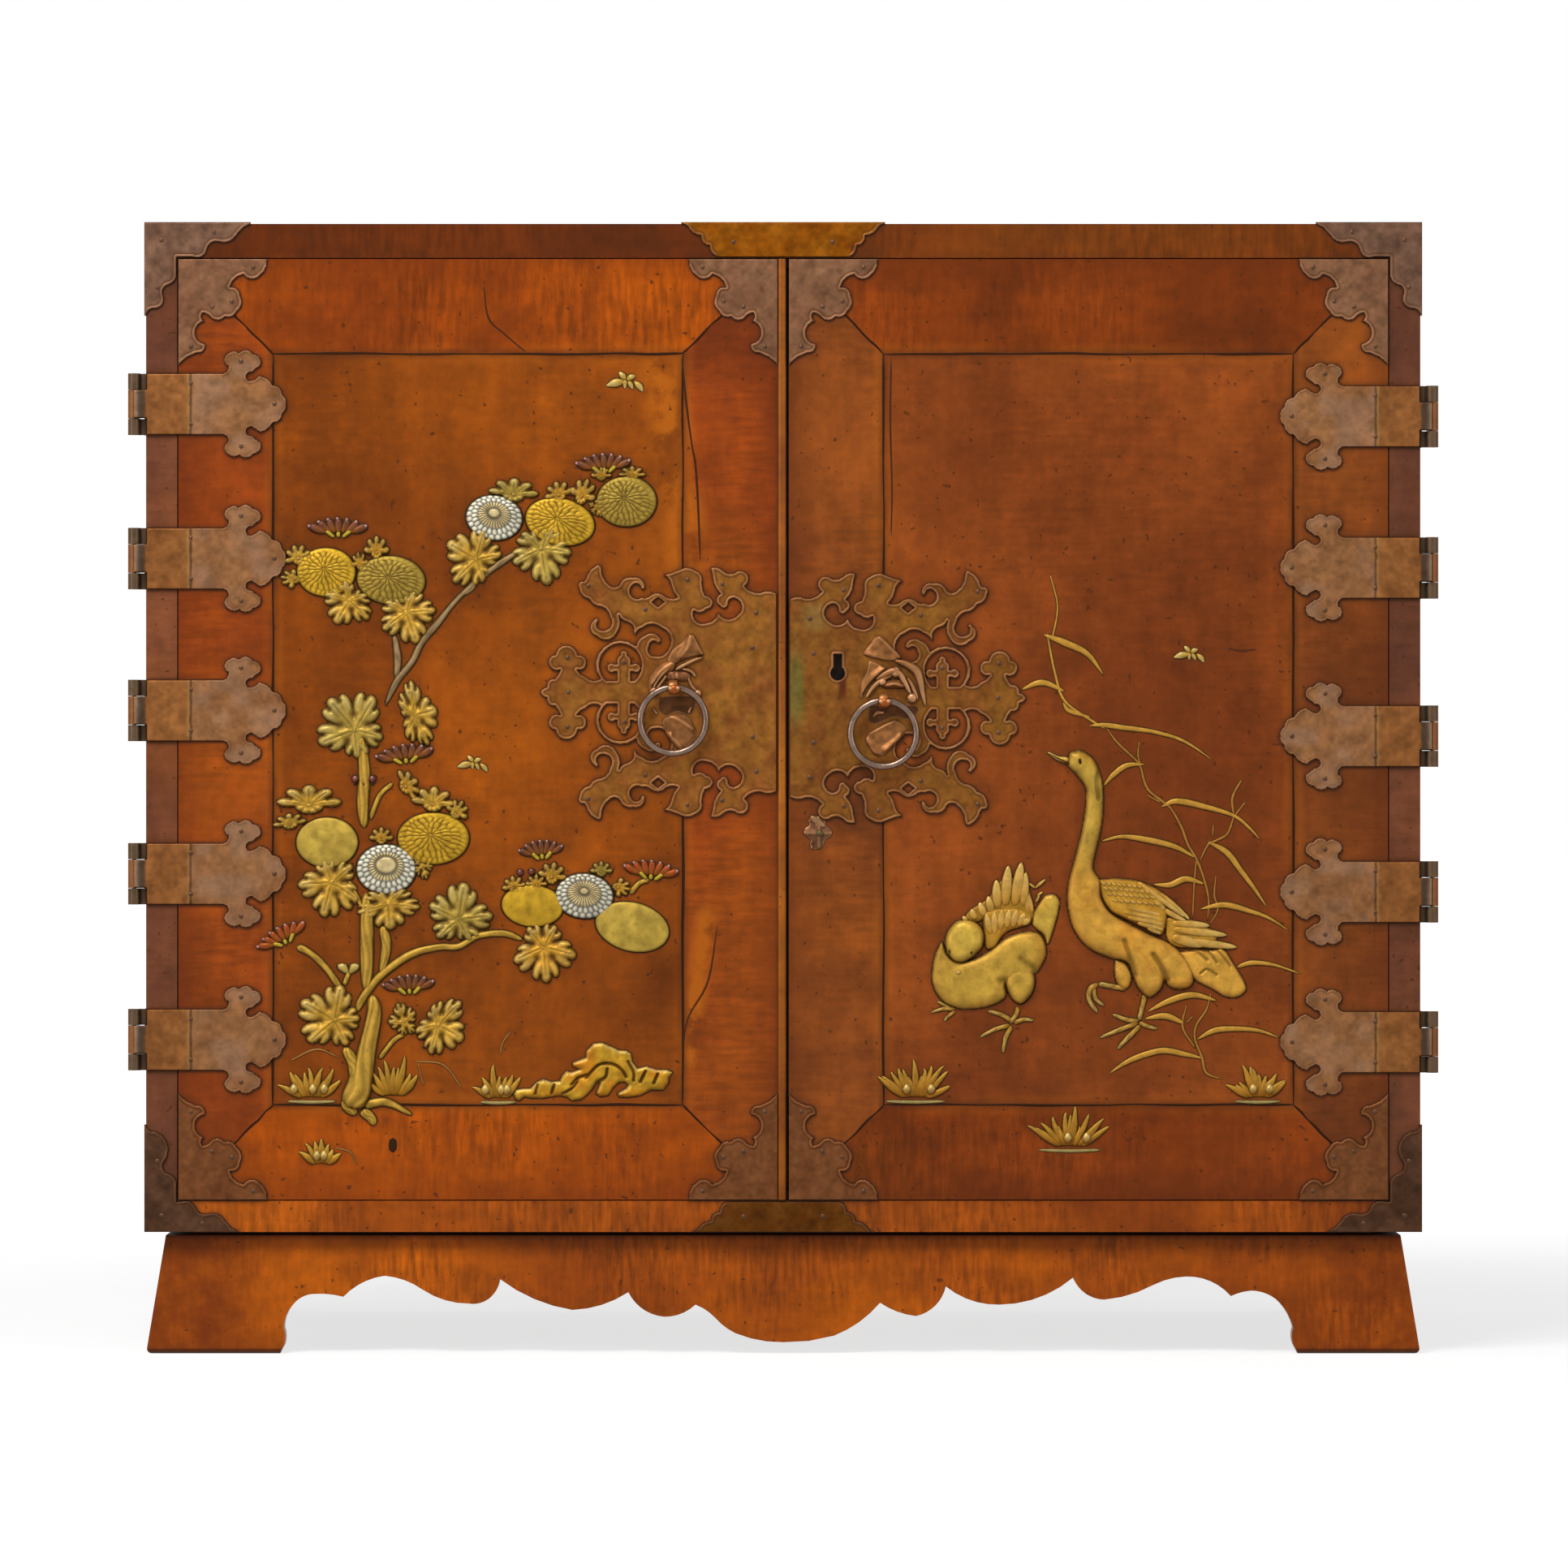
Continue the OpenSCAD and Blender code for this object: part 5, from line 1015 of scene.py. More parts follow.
def head(shells, place, half_wide, half_high, kind, colour, tilt=0, button=0.3):
    """u runs from the centre to the rim and a round it. Each point is the centre times 1 - u plus the
    oval rim times u, and the dome is the root of 1 - u squared. A petal is a drop: a cosine of a
    multiple of a, times half a sine wave of u between the petal's two ends."""
    u, a = np.meshgrid(np.linspace(1, 0.02, 40), np.linspace(0, 2 * np.pi, 180, endpoint=False),
                       indexing="ij")
    size = np.array([half_wide, half_high]) * PIXEL
    c, s = np.cos(np.radians(tilt)), np.sin(np.radians(tilt))
    oval = np.stack([np.cos(a), np.sin(a)], -1) * size
    oval = np.stack([oval[..., 0] * c + oval[..., 1] * s, oval[..., 1] * c - oval[..., 0] * s], -1)
    centre = size * {"silver": (0, 0.24), "wavy": (-0.08, 0.14), "plain": (0, 0.1)}[kind]
    flat = at(place) + centre * (1 - u)[..., None] + oval * u[..., None]
    carve, petals = np.zeros_like(u), np.zeros_like(u)
    tint = colour * (0.8 + 0.34 * speckle(flat, 7, 10))[..., None]
    gap = 0.3 * np.clip(speckle(flat, 6, 9) - 0.5, 0, 1) * 2
    rings = {"silver": ((button + 0.05, 0.6, 30, 0), (0.58, 0.82, 24, 0.5), (0.78, 1.0, 24, 0)),
             "wavy": ((0.06, 0.34, 11, 0), (0.26, 0.6, 18, 0.5), (0.52, 0.82, 25, 0.2), (0.76, 1.0, 31, 0.4)),
             "plain": ()}[kind]
    for low, high, count, turn in rings:
        t = np.clip((u - low) / (high - low), 0, 1)
        wave = a + (0.05 * np.sin(9 * u + 5 * a) if kind == "wavy" else 0)
        drop = np.abs(np.cos(count / 2 * wave + turn * np.pi)) ** 0.9 * np.sin(np.pi * t) ** 0.7
        petals = np.maximum(petals, drop)
    if kind == "silver":
        knob = np.clip((button - u) / (0.3 * button), 0, 1)
        inner = np.clip((0.6 - u) / 0.04, 0, 1)
        petals = np.maximum(petals * (u > button), np.minimum(knob * 2, 1))
        # how much painted shade lies in the gaps between petals
        gap = np.clip(1.1 - 1.5 * petals, 0, 1) * (0.92 - 0.4 * inner)
        tint = laid_over(tint, CREAM * (0.8 + 0.3 * speckle(flat, 3, 11))[..., None], inner)
        # painted highlight: petal crests lighter than their sides
        tint = tint * (0.55 + 0.6 * petals)[..., None]
        carve = 0.55 * petals + 0.7 * knob
    elif kind == "wavy":
        smooth = np.clip((0.98 - 0.2 * np.clip(np.cos(a - 1.0), 0, 1) - u) * 12, 0, 1)
        carve = 0.5 * petals * smooth + 0.3 * (1 - smooth)
        # how much painted shade lies in the gaps between petals
        gap = np.clip(1.0 - 1.5 * petals, 0, 1) * smooth * (u > 0.05) * 0.85
        # painted highlight on the petal crests
        tint = tint * (0.8 + 0.35 * petals)[..., None]
    dome = np.sqrt(np.clip(1.02 - u**2, 0, 1)) ** 0.8
    out = 0.3 + 2.7 * dome + carve
    # painted shade in the gaps between petals
    tint = laid_over(tint, PETAL_GAP_SHADE if kind == "silver" else EARTH_AND_SHADOW * 1.3, gap)
    # painted shade: the outer edge of the dome is darkened
    tint = tint * (0.5 + 0.5 * np.clip((1 - u) * 12, 0, 1))[..., None]
    front = np.stack([flat[..., 0], door_y - out, flat[..., 1]], -1)
    wider = 1 + 0.9 / size.mean()
    # a dark base ring of painted shadow round the head
    scale, depth = np.array([[0.05, wider, wider, 1], [-0.02, -0.02, 0.12, 0.2]])[..., None]
    ring = at(place) + oval[0] * scale[..., None]
    base = np.stack([ring[..., 0], door_y - depth + 0 * ring[..., 0], ring[..., 1]], -1)
    rings_shell(shells, np.concatenate([base, front]),
                np.concatenate([np.broadcast_to(EARTH_AND_SHADOW, (4,) + tint.shape[1:]), tint]))


print("a silver head is", np.round(SILVER / GOLD, 1), "times as bright as a gold one")

# %% [markdown]
# Five heads stand in the upper spray and six in the lower one. Each row gives the middle, the half
# width and half height, the kind, the colour and the tilt, and a silver head also its button.

# %% The heads in their places
for name, flowers in (
        ("upper_heads", (((772, 618), 37, 31, "wavy", OLIVE, 0), ((690, 643), 43, 29, "wavy", GOLD, 12),
                         ((609, 638), 35, 28, "silver", SILVER, 8, 0.2),
                         ((402, 705), 36, 30, "wavy", GOLD, 0), ((482, 715), 42, 30, "wavy", OLIVE, 5))),
        ("lower_heads", (((403, 1038), 38, 31, "plain", PLAIN, 0),
                         ((534, 1033), 44, 32, "wavy", GOLD * 0.9, 0),
                         ((476, 1071), 37, 31, "silver", SILVER, 0, 0.34),
                         ((656, 1116), 38, 26, "plain", GOLD, 5), ((779, 1142), 46, 30, "plain", PLAIN, 14),
                         ((720, 1104), 36, 28, "silver", SILVER * 0.85, 5, 0.14)))):
    heads = Shells()
    for flower in flowers:
        head(heads, *flower)
    heads.build(name, "left_door", gold, "gold_relief")

# %% [markdown]
# ## Buds, insects, rock and grass
# The small things are strokes too. A bud is a fan of short petals over a yellow-green cup, red or
# purple in the body with a painted pink highlight at the tips, and each petal is one stroke whose
# colour runs along it.

# %% A bud
PURPLE, RED, PINK_HIGHLIGHT = np.array([[0.085, 0.03, 0.03], [0.3, 0.045, 0.015], [0.42, 0.25, 0.24]])
BURNT, CALYX = np.array([[0.26, 0.08, 0.01], [0.42, 0.31, 0.03]])
small = Shells()


def bud(place, wide, tone, turn=0, petals=7):
    """Petals stand like a hand of cards: their feet meet in the calyx and their tips lie on an arc.
    Each one runs from burnt orange to the flower's own colour, with a painted pink highlight on its tip."""
    c, s = np.cos(np.radians(turn)), np.sin(np.radians(turn))

    def put(x, y, half):
        """A place in the bud, turned by the cosine and sine of its tilt and moved to where it grows."""
        return place[0] + x * c - y * s, place[1] + x * s + y * c, half

    for t in sorted(np.linspace(-1, 1, petals), key=abs, reverse=True):
        tip = t * wide * 0.45, -11 + 9 * t * t
        foot = t * wide * 0.14, 9 - 3 * abs(t)
        half = wide / petals * 0.46
        knee = (foot[0] + tip[0] * 1.1) / 2, (foot[1] + tip[1]) / 2 + 1
        stroke(small, [put(*foot, half * 0.6), put(*knee, half), put(*tip, half * 0.95)], BURNT, 0.8, 4,
               halo=0.6, to=tone)
        # a painted pink highlight on the tip of each petal
        edge = put(tip[0] * 0.9 + foot[0] * 0.1 - half * 0.25, tip[1] + 3, half * 0.3)
        stroke(small, [edge, put(tip[0] - half * 0.2, tip[1] - 0.5, half * 0.45)], PINK_HIGHLIGHT, 0.9, 4, halo=0,
               lift=1.3, sides=6)
    for t in (-1, 1, 0):
        stroke(small, [put(t * wide * 0.06, 13, 2.4), put(t * wide * 0.2, 6 - 2 * abs(t), 3)], CALYX, 0.9, 4,
               halo=0.5, lift=0.6)


print("bud colours", PURPLE, RED, PINK_HIGHLIGHT)

# %% [markdown]
# Seven buds, a few berries, two seed leaves and two insects share one piece. An insect is a body
# with four wings, read once from an enlarged detail and used again at another size.

# %% Buds and insects in their places
for place, wide, tone, turn in (
        ((744, 570), 74, PURPLE, -3), ((417, 649), 80, PURPLE, 0), ((499, 928), 78, PURPLE, -8),
        ((347, 1152), 72, RED, -28), ((504, 1212), 70, PURPLE, -4), ((667, 1046), 60, PURPLE, -6),
        ((803, 1071), 74, RED, 6)):
    bud(place, wide, tone, turn)
for x, y, half in ((438, 961, 6), (459, 961, 6), (449, 966, 7), (641, 1076, 4.5), (655, 1075, 4.5)):
    stroke(small, [(x - 3, y + 2, half), (x, y, half), (x + 3, y + 2, half)], PURPLE * [2.2, 1.4, 1.2], 0.8,
           3, halo=0.6, to=PURPLE)
    # a painted pink highlight on each berry
    stroke(small, [(x - 2, y - 3, half * 0.3), (x + 1, y - 3, half * 0.3)], PINK_HIGHLIGHT, 0.8, 4, halo=0, lift=1.8,
           sides=6)
for x in (422, 437):
    stroke(small, [(430, 1200, 3), (x, 1191, 6), (x + (x > 430) * 2 - 1, 1187, 5)], LEAF_GREEN, 0.7, 3,
           to=PALE_GOLD_AND_HIGHLIGHT)

MOTH = ([(800, 440, 40), (740, 360, 60), (670, 290, 30)], [(790, 470, 50), (600, 500, 85), (420, 555, 25)],
        [(820, 450, 40), (900, 390, 60), (985, 360, 35)], [(850, 460, 40), (900, 540, 50), (935, 620, 20)],
        [(960, 470, 30), (1060, 560, 65), (1130, 670, 25)], [(790, 440, 50), (785, 520, 45), (785, 610, 18)])


def fly(shells, wing, corner, times):
    """One wing or the body of an insect, a flat stroke with a pale tip."""
    stroke(shells, enlarged(wing, corner, times), LEAF * 0.85, 0.6, 4, halo=0.5, to=PALE_GOLD_AND_HIGHLIGHT * 0.9)


for shift, times in (((720, 440), 15.68), ((541, 916), 19)):
    for wing in MOTH:
        fly(small, wing, shift, times)
small.build("buds_and_insects", "left_door", gold, "gold_relief")

# %% [markdown]
# The rock is one outline cut by clefts, painted dark as shade and as the lacquer that shows in them.
# Clefts are lines, so the surface asks each point how far the nearest line is and sinks by a bell of
# that distance, which keeps them soft at both ends.

# %% The rock
ROCK, MOSS = np.array([[0.52, 0.205, 0.012], [0.46, 0.25, 0.02]])
ROCK_VIEW = (590, 1270), 6.03
rock_line = enlarged([
    (255, 470), (270, 440), (330, 430), (380, 430), (430, 380), (480, 360), (540, 380), (600, 375),
    (620, 330), (650, 300), (690, 310), (750, 288), (700, 265), (695, 240), (740, 220), (795, 200),
    (800, 150), (850, 95), (920, 90), (990, 120), (1040, 145), (1100, 150), (1130, 170), (1140, 230),
    (1180, 280), (1250, 265), (1320, 290), (1400, 290), (1440, 310), (1410, 350), (1410, 390), (1370, 440),
    (1280, 440), (1200, 480), (1100, 495), (1040, 490), (1030, 465), (1090, 430), (1112, 402), (1085, 380),
    (1040, 382), (1000, 420), (960, 480), (900, 490), (870, 465), (895, 410), (905, 376), (870, 390),
    (845, 430), (800, 480), (760, 510), (690, 520), (660, 495), (600, 480), (480, 500), (390, 500),
    (340, 490), (300, 520), (270, 505)],
    *ROCK_VIEW)
CLEFTS = ([(800, 345), (850, 290), (890, 255), (950, 242), (1020, 258), (1070, 300), (1095, 345)],
          [(690, 400), (740, 350), (800, 330)], [(620, 470), (690, 430), (730, 380)],
          [(880, 380), (940, 345), (955, 285)], [(1110, 230), (1150, 310), (1150, 370)],
          [(435, 400), (420, 470)], [(1240, 300), (1200, 380)], [(560, 400), (540, 470)],
          [(1330, 320), (1300, 390)])


def near_lines(points, lines, corner, times, wide):
    """1 on any of the lines, falling off as a bell of that width in mm."""
    share = np.zeros(len(points))
    for line in lines:
        path = at(enlarged(smooth_line(line, 24), corner, times))
        gap = measured(points, np.stack([path[:-1], path[1:]], 1))[0]
        share = np.maximum(share, bell(gap, 0, wide))
    return share


def rock_surface(depth, points, near):
    """The rock rises to a rounded crest and is carved by clefts, lines with a dip that are painted dark
    as shade and as the lacquer in them. Its upper edges carry a painted highlight, and it is painted
    darker towards its outline as shade."""
    full = 1 - np.exp(-np.maximum(depth, 0) / 1.5)
    cleft = near_lines(points, CLEFTS, *ROCK_VIEW, 1.0)
    out = 0.15 + 2.9 * full * (0.6 + 0.4 * speckle(points, 5, 12)) - 1.9 * cleft * full
    cloud = np.clip(2 * speckle(points, 8, 13) - 0.5, 0, 1)
    # painted shade: darker towards the outline
    shade = (0.8 + 0.4 * speckle(points, 4, 14)) * (0.6 + 0.4 * full)
    # painted highlight along the upper edges
    upper_edge_highlight = np.clip((near - points)[:, 1] / np.maximum(np.abs(depth), 0.2), 0, 1) * bell(depth, 1, 1) * 0.5
    tint = laid_over(laid_over(ROCK, MOSS, cloud) * shade[:, None], PALE_GOLD_AND_HIGHLIGHT * 1.1, upper_edge_highlight)
    # clefts painted dark, as shade and as the lacquer that shows in them
    tint = laid_over(tint, EARTH_AND_SHADOW, 0.85 * cleft)
    return out, np.where((depth < 0.05)[:, None], EARTH_AND_SHADOW, tint)


ground = Shells()
raised(ground, around(at(rock_line)), door_y, 0.5, rock_surface, 0.8)
print("the rock has", len(ground.quads[0]), "faces")

# %% [markdown]
# A tuft of grass is a fan of plump blades that curl over, with a few round bulbs in front. Its
# blades differ a little, by a random choice that starts from a fixed number, so it never changes.

# %% Grass
TURF, BLADE = np.array([[0.32, 0.14, 0.01], [0.42, 0.24, 0.035]])


def tuft(shells, x, y, wide, high, blades, seed, tone, bulbs=2, bar=True):
    """Plump blades fan out of one foot and curl over, with a few round bulbs in front, and mostly a
    thin line of ground below."""
    pick = np.random.default_rng(seed)
    for t in sorted(np.linspace(-1, 1, blades), key=abs):
        lean, tall = t * wide / 2, high * (0.5 + 0.5 * pick.random()) * (1 - 0.45 * t * t)
        curl = (0.5 - pick.random()) * 10
        stroke(shells, [(x + lean * 0.3, y, 3.2), (x + lean * 0.62, y - tall * 0.45, 4 + 1.5 * pick.random()),
                        (x + lean * 0.9 + curl * 0.4, y - tall * 0.85, 2.4),
                        (x + lean + curl, y - tall, 0.8)],
               tone * (0.8 + 0.4 * pick.random()), 0.75, 6, halo=0.5, to=BLADE)
    for k in range(bulbs):
        left = x + wide * (0.22 * pick.random() - 0.11) + (k - bulbs / 2 + 0.5) * wide * 0.2
        stroke(shells, [(left, y - 3, 3.5), (left + 1, y - 10, 5.5), (left + 1, y - 17, 3)], tone, 0.8, 3,
               halo=0.5, to=PALE_GOLD_AND_HIGHLIGHT, lift=1.2)
    if bar:
        stroke(shells, [(x - wide * 0.4, y + 5, 1.6), (x, y + 6, 2.2), (x + wide * 0.4, y + 5, 1.6)],
               PALE_GOLD_AND_HIGHLIGHT * 0.55, 0.5, 8, halo=0.4)


for x, y, wide, high, blades, seed, bulbs, bar in (
        (384, 1352, 76, 48, 9, 1, 3, True), (484, 1350, 66, 56, 9, 2, 0, False),
        (614, 1353, 56, 50, 7, 3, 3, True), (396, 1434, 48, 32, 7, 4, 2, False)):
    tuft(ground, x, y, wide, high, blades, seed, TURF, bulbs, bar)
for points in ([(356, 1308, 1), (390, 1293, 1.3), (420, 1304, 1)],
               [(510, 1308, 1), (546, 1312, 1.3), (570, 1342, 1)], [(515, 1310, 1), (522, 1338, 1)],
               [(616, 1300, 1), (620, 1284, 1.2), (630, 1270, .8)],
               [(412, 1414, .8), (432, 1420, 1), (440, 1436, .8)]):
    stroke(ground, points, (0.3, 0.13, 0.03), 0.6, 6, halo=0.3)
ground.build("rock_and_grass", "left_door", gold, "gold_relief")

# %% [markdown]
# ## Two geese
# Each goose is a few swelling forms that overlap: neck and breast, thighs, tail, and a wing laid in
# rows of feathers. The forms are outlines with a wide rounded edge, and the feathers are strokes.
# A sculpted mesh would do too, but outlines are read straight off an enlarged detail.

# %% Forms and feathers
DOWN, DOWN_DARK, QUILL = np.array([[0.5, 0.3, 0.045], [0.42, 0.2, 0.022], [0.58, 0.37, 0.1]])
WARM_DOWN, DULL_DOWN, NECK_FROM = DOWN * [1.06, 0.86, 0.85], DOWN * [0.93, 0.86, 0.85], 320
geese = Shells()


def rounded(outline, corner, times, fine):
    """An outline read on an enlarged detail, closed, smoothed to fine times its places, as sides."""
    line = at(enlarged(outline, corner, times))
    return around(smooth_line(np.vstack([line, line[:1]]), fine * len(line))[:-1])


def form(outline, corner, times, swell=3.0, round_over=7.0, lift=0.0, tone=DOWN, creases=(), crease=2.0):
    """A swelling form: the height is that of a quarter circle over the first round_over mm, and along
    the creases it dips and is painted darker as shade. High up, on a neck, the gold is greener."""
    def surface(depth, points, near):
        """A quarter circle of the depth for the height, less the creases, and a colour that warms in
        slow clouds, with a painted highlight on the crest and painted shade at the foot and in the creases."""
        t = np.clip(depth / round_over, 0, 1)
        full = np.sqrt(1 - (1 - t) ** 2)
        dip = near_lines(points, creases, corner, times, crease) if creases else np.zeros(len(points))
        out = 0.15 + (swell + lift) * full * (1 - 0.45 * dip)
        # painted shade: darker towards the foot of the form
        tint = tone * (0.78 + 0.36 * speckle(points, 7, 20))[:, None] * (0.5 + 0.5 * full[:, None] ** 0.7)
        warm = np.clip(2 * speckle(points, 15, 25) - 1, 0, 1) * 0.5
        # painted shade in the creases
        tint = laid_over(tint, tint * [1.1, 0.85, 0.6], warm) * (1 - 0.5 * dip[:, None])
        # painted highlight on the crest of the form
        tint = tint * (1 + 0.3 * np.clip(full - 0.75, 0, 1)[:, None] * np.array([1.0, 2.0, 1.6]))
        neck = np.clip((points[:, 1:] - NECK_FROM) / 50, 0, 1)
        tint = tint * (1 + neck * np.array([-0.16, 0.02, 0.05]))
        return out, np.where((depth < 0.05)[:, None], EARTH_AND_SHADOW, tint)

    raised(geese, rounded(outline, corner, times, 6), door_y, 0.72, surface, 0.8)


def feathers(rows, corner, times, tone=DOWN_DARK, height=0.5, lift=0.0, taper=4):
    """Each row gives a foot, a tip and a half width, on the enlarged detail; the tip is paler."""
    for foot, tip, wide in rows:
        middle = np.add(foot, tip) / 2
        stroke(geese, enlarged([(*foot, wide * 0.8), (*middle, wide), (*tip, wide * 0.5)], corner, times),
               tone, height, taper, halo=0.6, lift=lift, to=QUILL)


def claw(points, corner, times):
    """A leg or a toe: a thin stroke with one ridge, paler to its tip."""
    stroke(geese, enlarged(points, corner, times), DOWN_DARK, 0.7, 6, halo=0.6, to=QUILL * 0.8, bark=1,
           sides=9)


print("down", DOWN, "and quill", QUILL)

# %% [markdown]
# The left goose has curled up with its head drawn in, so it is built from the back forward: tail,
# raised wing, body, thigh, and last the head, each a little higher than the one before it.

# %% The goose at rest
CURLED, LEGS = ((1140, 1050), 7.467), ((1130, 920), 4.023)
form([(1100, 400), (1180, 388), (1232, 440), (1226, 540), (1190, 680), (1150, 800), (1122, 850), (1095, 770),
      (1040, 720), (985, 660), (1000, 560), (1050, 470)], *CURLED, 2.6, 6)
form([(350, 610), (400, 545), (480, 490), (560, 440), (620, 370), (670, 290), (740, 250), (900, 240),
      (950, 330), (985, 450), (1005, 560), (960, 620), (600, 610), (480, 640), (400, 640)], *CURLED, 1.2, 4,
      0, DOWN_DARK * 0.75)
feathers([((385, 640), (345, 590), 24), ((460, 620), (425, 525), 34), ((545, 590), (500, 462), 38),
          ((610, 560), (580, 405), 40), ((945, 560), (925, 300), 26), ((985, 560), (945, 380), 24),
          ((665, 520), (655, 255), 48), ((735, 500), (765, 125), 54), ((820, 500), (885, 95), 56),
          ((900, 500), (925, 185), 44), ((1010, 330), (1105, 250), 14), ((1010, 330), (955, 285), 12),
          ((1030, 400), (1080, 365), 12), ((1020, 460), (1050, 395), 12)], *CURLED, DOWN_DARK * 1.05, 0.45,
          0.9, 5)
form([(530, 560), (620, 522), (750, 512), (870, 515), (940, 548), (985, 600), (960, 660), (880, 690),
      (760, 730), (690, 800), (640, 880), (560, 880), (535, 700)], *CURLED, 2.2, 5, 0, DOWN_DARK)
feathers([((600, 760), (560, 560), 34), ((640, 760), (635, 545), 36), ((690, 720), (705, 530), 36),
          ((745, 700), (775, 525), 36), ((800, 690), (845, 530), 36), ((855, 680), (915, 560), 34),
          ((890, 665), (965, 610), 30)], *CURLED, DOWN_DARK * 1.1, 0.35, 2.1, 3)
BACK = [(150, 820), (95, 930), (64, 1080), (66, 1200), (112, 1310), (190, 1392), (310, 1438), (450, 1440),
        (600, 1412), (720, 1352), (745, 1290), (735, 1200), (790, 1300), (850, 1386), (905, 1384),
        (975, 1310), (1008, 1210), (1000, 1130), (1030, 1105), (1085, 1015), (1114, 930), (1100, 830),
        (1050, 752), (960, 732), (840, 750), (730, 800), (650, 862), (560, 930), (490, 965), (400, 1000),
        (300, 1010), (220, 960)]
form(BACK, *CURLED, 3.8, 9, 0.2, DULL_DOWN, creases=(
    [(1015, 1115), (985, 1060), (930, 1020), (880, 985)], [(735, 1180), (690, 1185)],
    [(735, 1180), (770, 1280), (800, 1330)]), crease=2.6)
form([(880, 1042), (945, 1062), (995, 1115), (1008, 1200), (975, 1305), (905, 1384), (850, 1388), (795, 1345),
      (752, 1260), (742, 1160), (780, 1085)], *CURLED, 4.2, 7, 0.3, DULL_DOWN)
form([(370, 618), (455, 640), (520, 700), (543, 780), (525, 870), (470, 935), (400, 990), (345, 1018),
      (290, 1016), (240, 985), (205, 935), (184, 860), (194, 760), (245, 675), (300, 632)], *CURLED, 4.8, 7,
      0.5, DOWN * 1.05)
for x, y in ((215, 912), (424, 922)):
    stroke(geese, enlarged([(x - 14, y, 24), (x + 14, y, 24)], *CURLED), DOWN * 0.8, 0.4, 3, halo=0, lift=3.6)
    stroke(geese, enlarged([(x - 8, y, 15), (x + 8, y, 15)], *CURLED), EARTH_AND_SHADOW * 0.6, 0.6, 3, halo=0, lift=4.5)
stroke(geese, enlarged([(303, 1085, 24), (305, 1125, 22)], *CURLED), QUILL, 0.8, 3, halo=0, lift=3.6)
for points in ([(500, 1290, 14), (490, 1330, 12), (460, 1370, 14)],
               [(470, 1360, 14), (420, 1330, 12), (350, 1310, 9)],
               [(460, 1380, 14), (390, 1400, 11), (310, 1440, 8)],
               [(470, 1385, 14), (440, 1440, 12), (425, 1520, 8)],
               [(480, 1370, 14), (530, 1352, 11), (578, 1358, 8)],
               [(190, 1300, 12), (130, 1300, 10), (68, 1318, 6)], [(170, 1300, 12), (100, 1262, 7)],
               [(190, 1310, 10), (150, 1340, 9), (136, 1362, 6)]):
    claw(points, *LEGS)

print("points so far:", geese.count)

# %% [markdown]
# The right goose walks with its neck up. The tail and the long feathers lie lowest, then the wing
# with its rows of small scales, then the body in one sweep from the beak to the thighs.

# %% The walking goose
WALKING, TAIL = ((1290, 890), 3.5636), ((1300, 1100), 6.03)
form([(920, 440), (1040, 425), (1150, 430), (1250, 420), (1320, 520), (1400, 650), (1416, 725), (1350, 776),
      (1260, 770), (1180, 722), (1100, 682), (1030, 640), (960, 540)], *TAIL, 2.6, 5, 0, WARM_DOWN, (
          [(1140, 430), (1200, 520)], [(1200, 415), (1300, 545)], [(1060, 440), (1130, 500)],
          [(1080, 600), (1130, 570), (1200, 610)]), 0.9)
form([(820, 190), (900, 180), (1010, 215), (1120, 250), (1180, 290), (1200, 350), (1150, 400), (1000, 410),
      (880, 395), (830, 330)], *TAIL, 1.3, 4, 0, DOWN_DARK)
feathers([((860, 225), (1150, 245), 32), ((860, 330), (1110, 392), 44), ((870, 270), (1275, 315), 34),
          ((880, 345), (1352, 405), 34), ((1150, 430), (1210, 515), 14), ((1220, 415), (1300, 540), 16)],
         *TAIL, DOWN_DARK * 1.1, 0.5, 0.8, 8)
feathers([((800, 120), (975, 215), 26), ((770, 0), (1000, 200), 24)], *TAIL, WARM_DOWN, 0.6, 1.2, 8)
form([(225, 690), (320, 686), (410, 700), (500, 742), (522, 790), (530, 830), (520, 900), (500, 935),
      (470, 925), (400, 890), (340, 862), (280, 830), (240, 770)], *WALKING, 3.0, 5, tone=DOWN_DARK * 1.1)
for x0, y0, x1, y1, count, wide, long in (
        (238, 702, 395, 716, 8, 9, 16), (246, 724, 428, 738, 9, 9, 17),
        (262, 748, 452, 764, 9, 9, 18), (282, 776, 470, 792, 8, 10, 22)):
    for t in np.linspace(0, 1, count):
        x, y = x0 + (x1 - x0) * t, y0 + (y1 - y0) * t
        stroke(geese, enlarged([(x, y, wide), (x + long, y + 8, wide), (x + long * 1.2, y + 10, wide * 0.8)],
                               *WALKING),
               DOWN_DARK * 1.1, 0.6, 3, halo=0.4, lift=2.75, to=QUILL, sides=6)
feathers([((345, 815), (508, 845), 10), ((330, 832), (512, 866), 10), ((350, 855), (514, 888), 11),
          ((395, 880), (510, 910), 11), ((440, 902), (500, 928), 10), ((470, 780), (518, 822), 9)], *WALKING,
         DOWN_DARK, 0.5, 2.7, 8)
feathers([((395, 700), (608, 856), 14)], *WALKING, WARM_DOWN, 0.7, 2.0, 12)
form([(300, 1040), (345, 1060), (372, 1120), (350, 1170), (310, 1150), (296, 1090)], *WALKING, 2.4, 5,
     tone=WARM_DOWN)
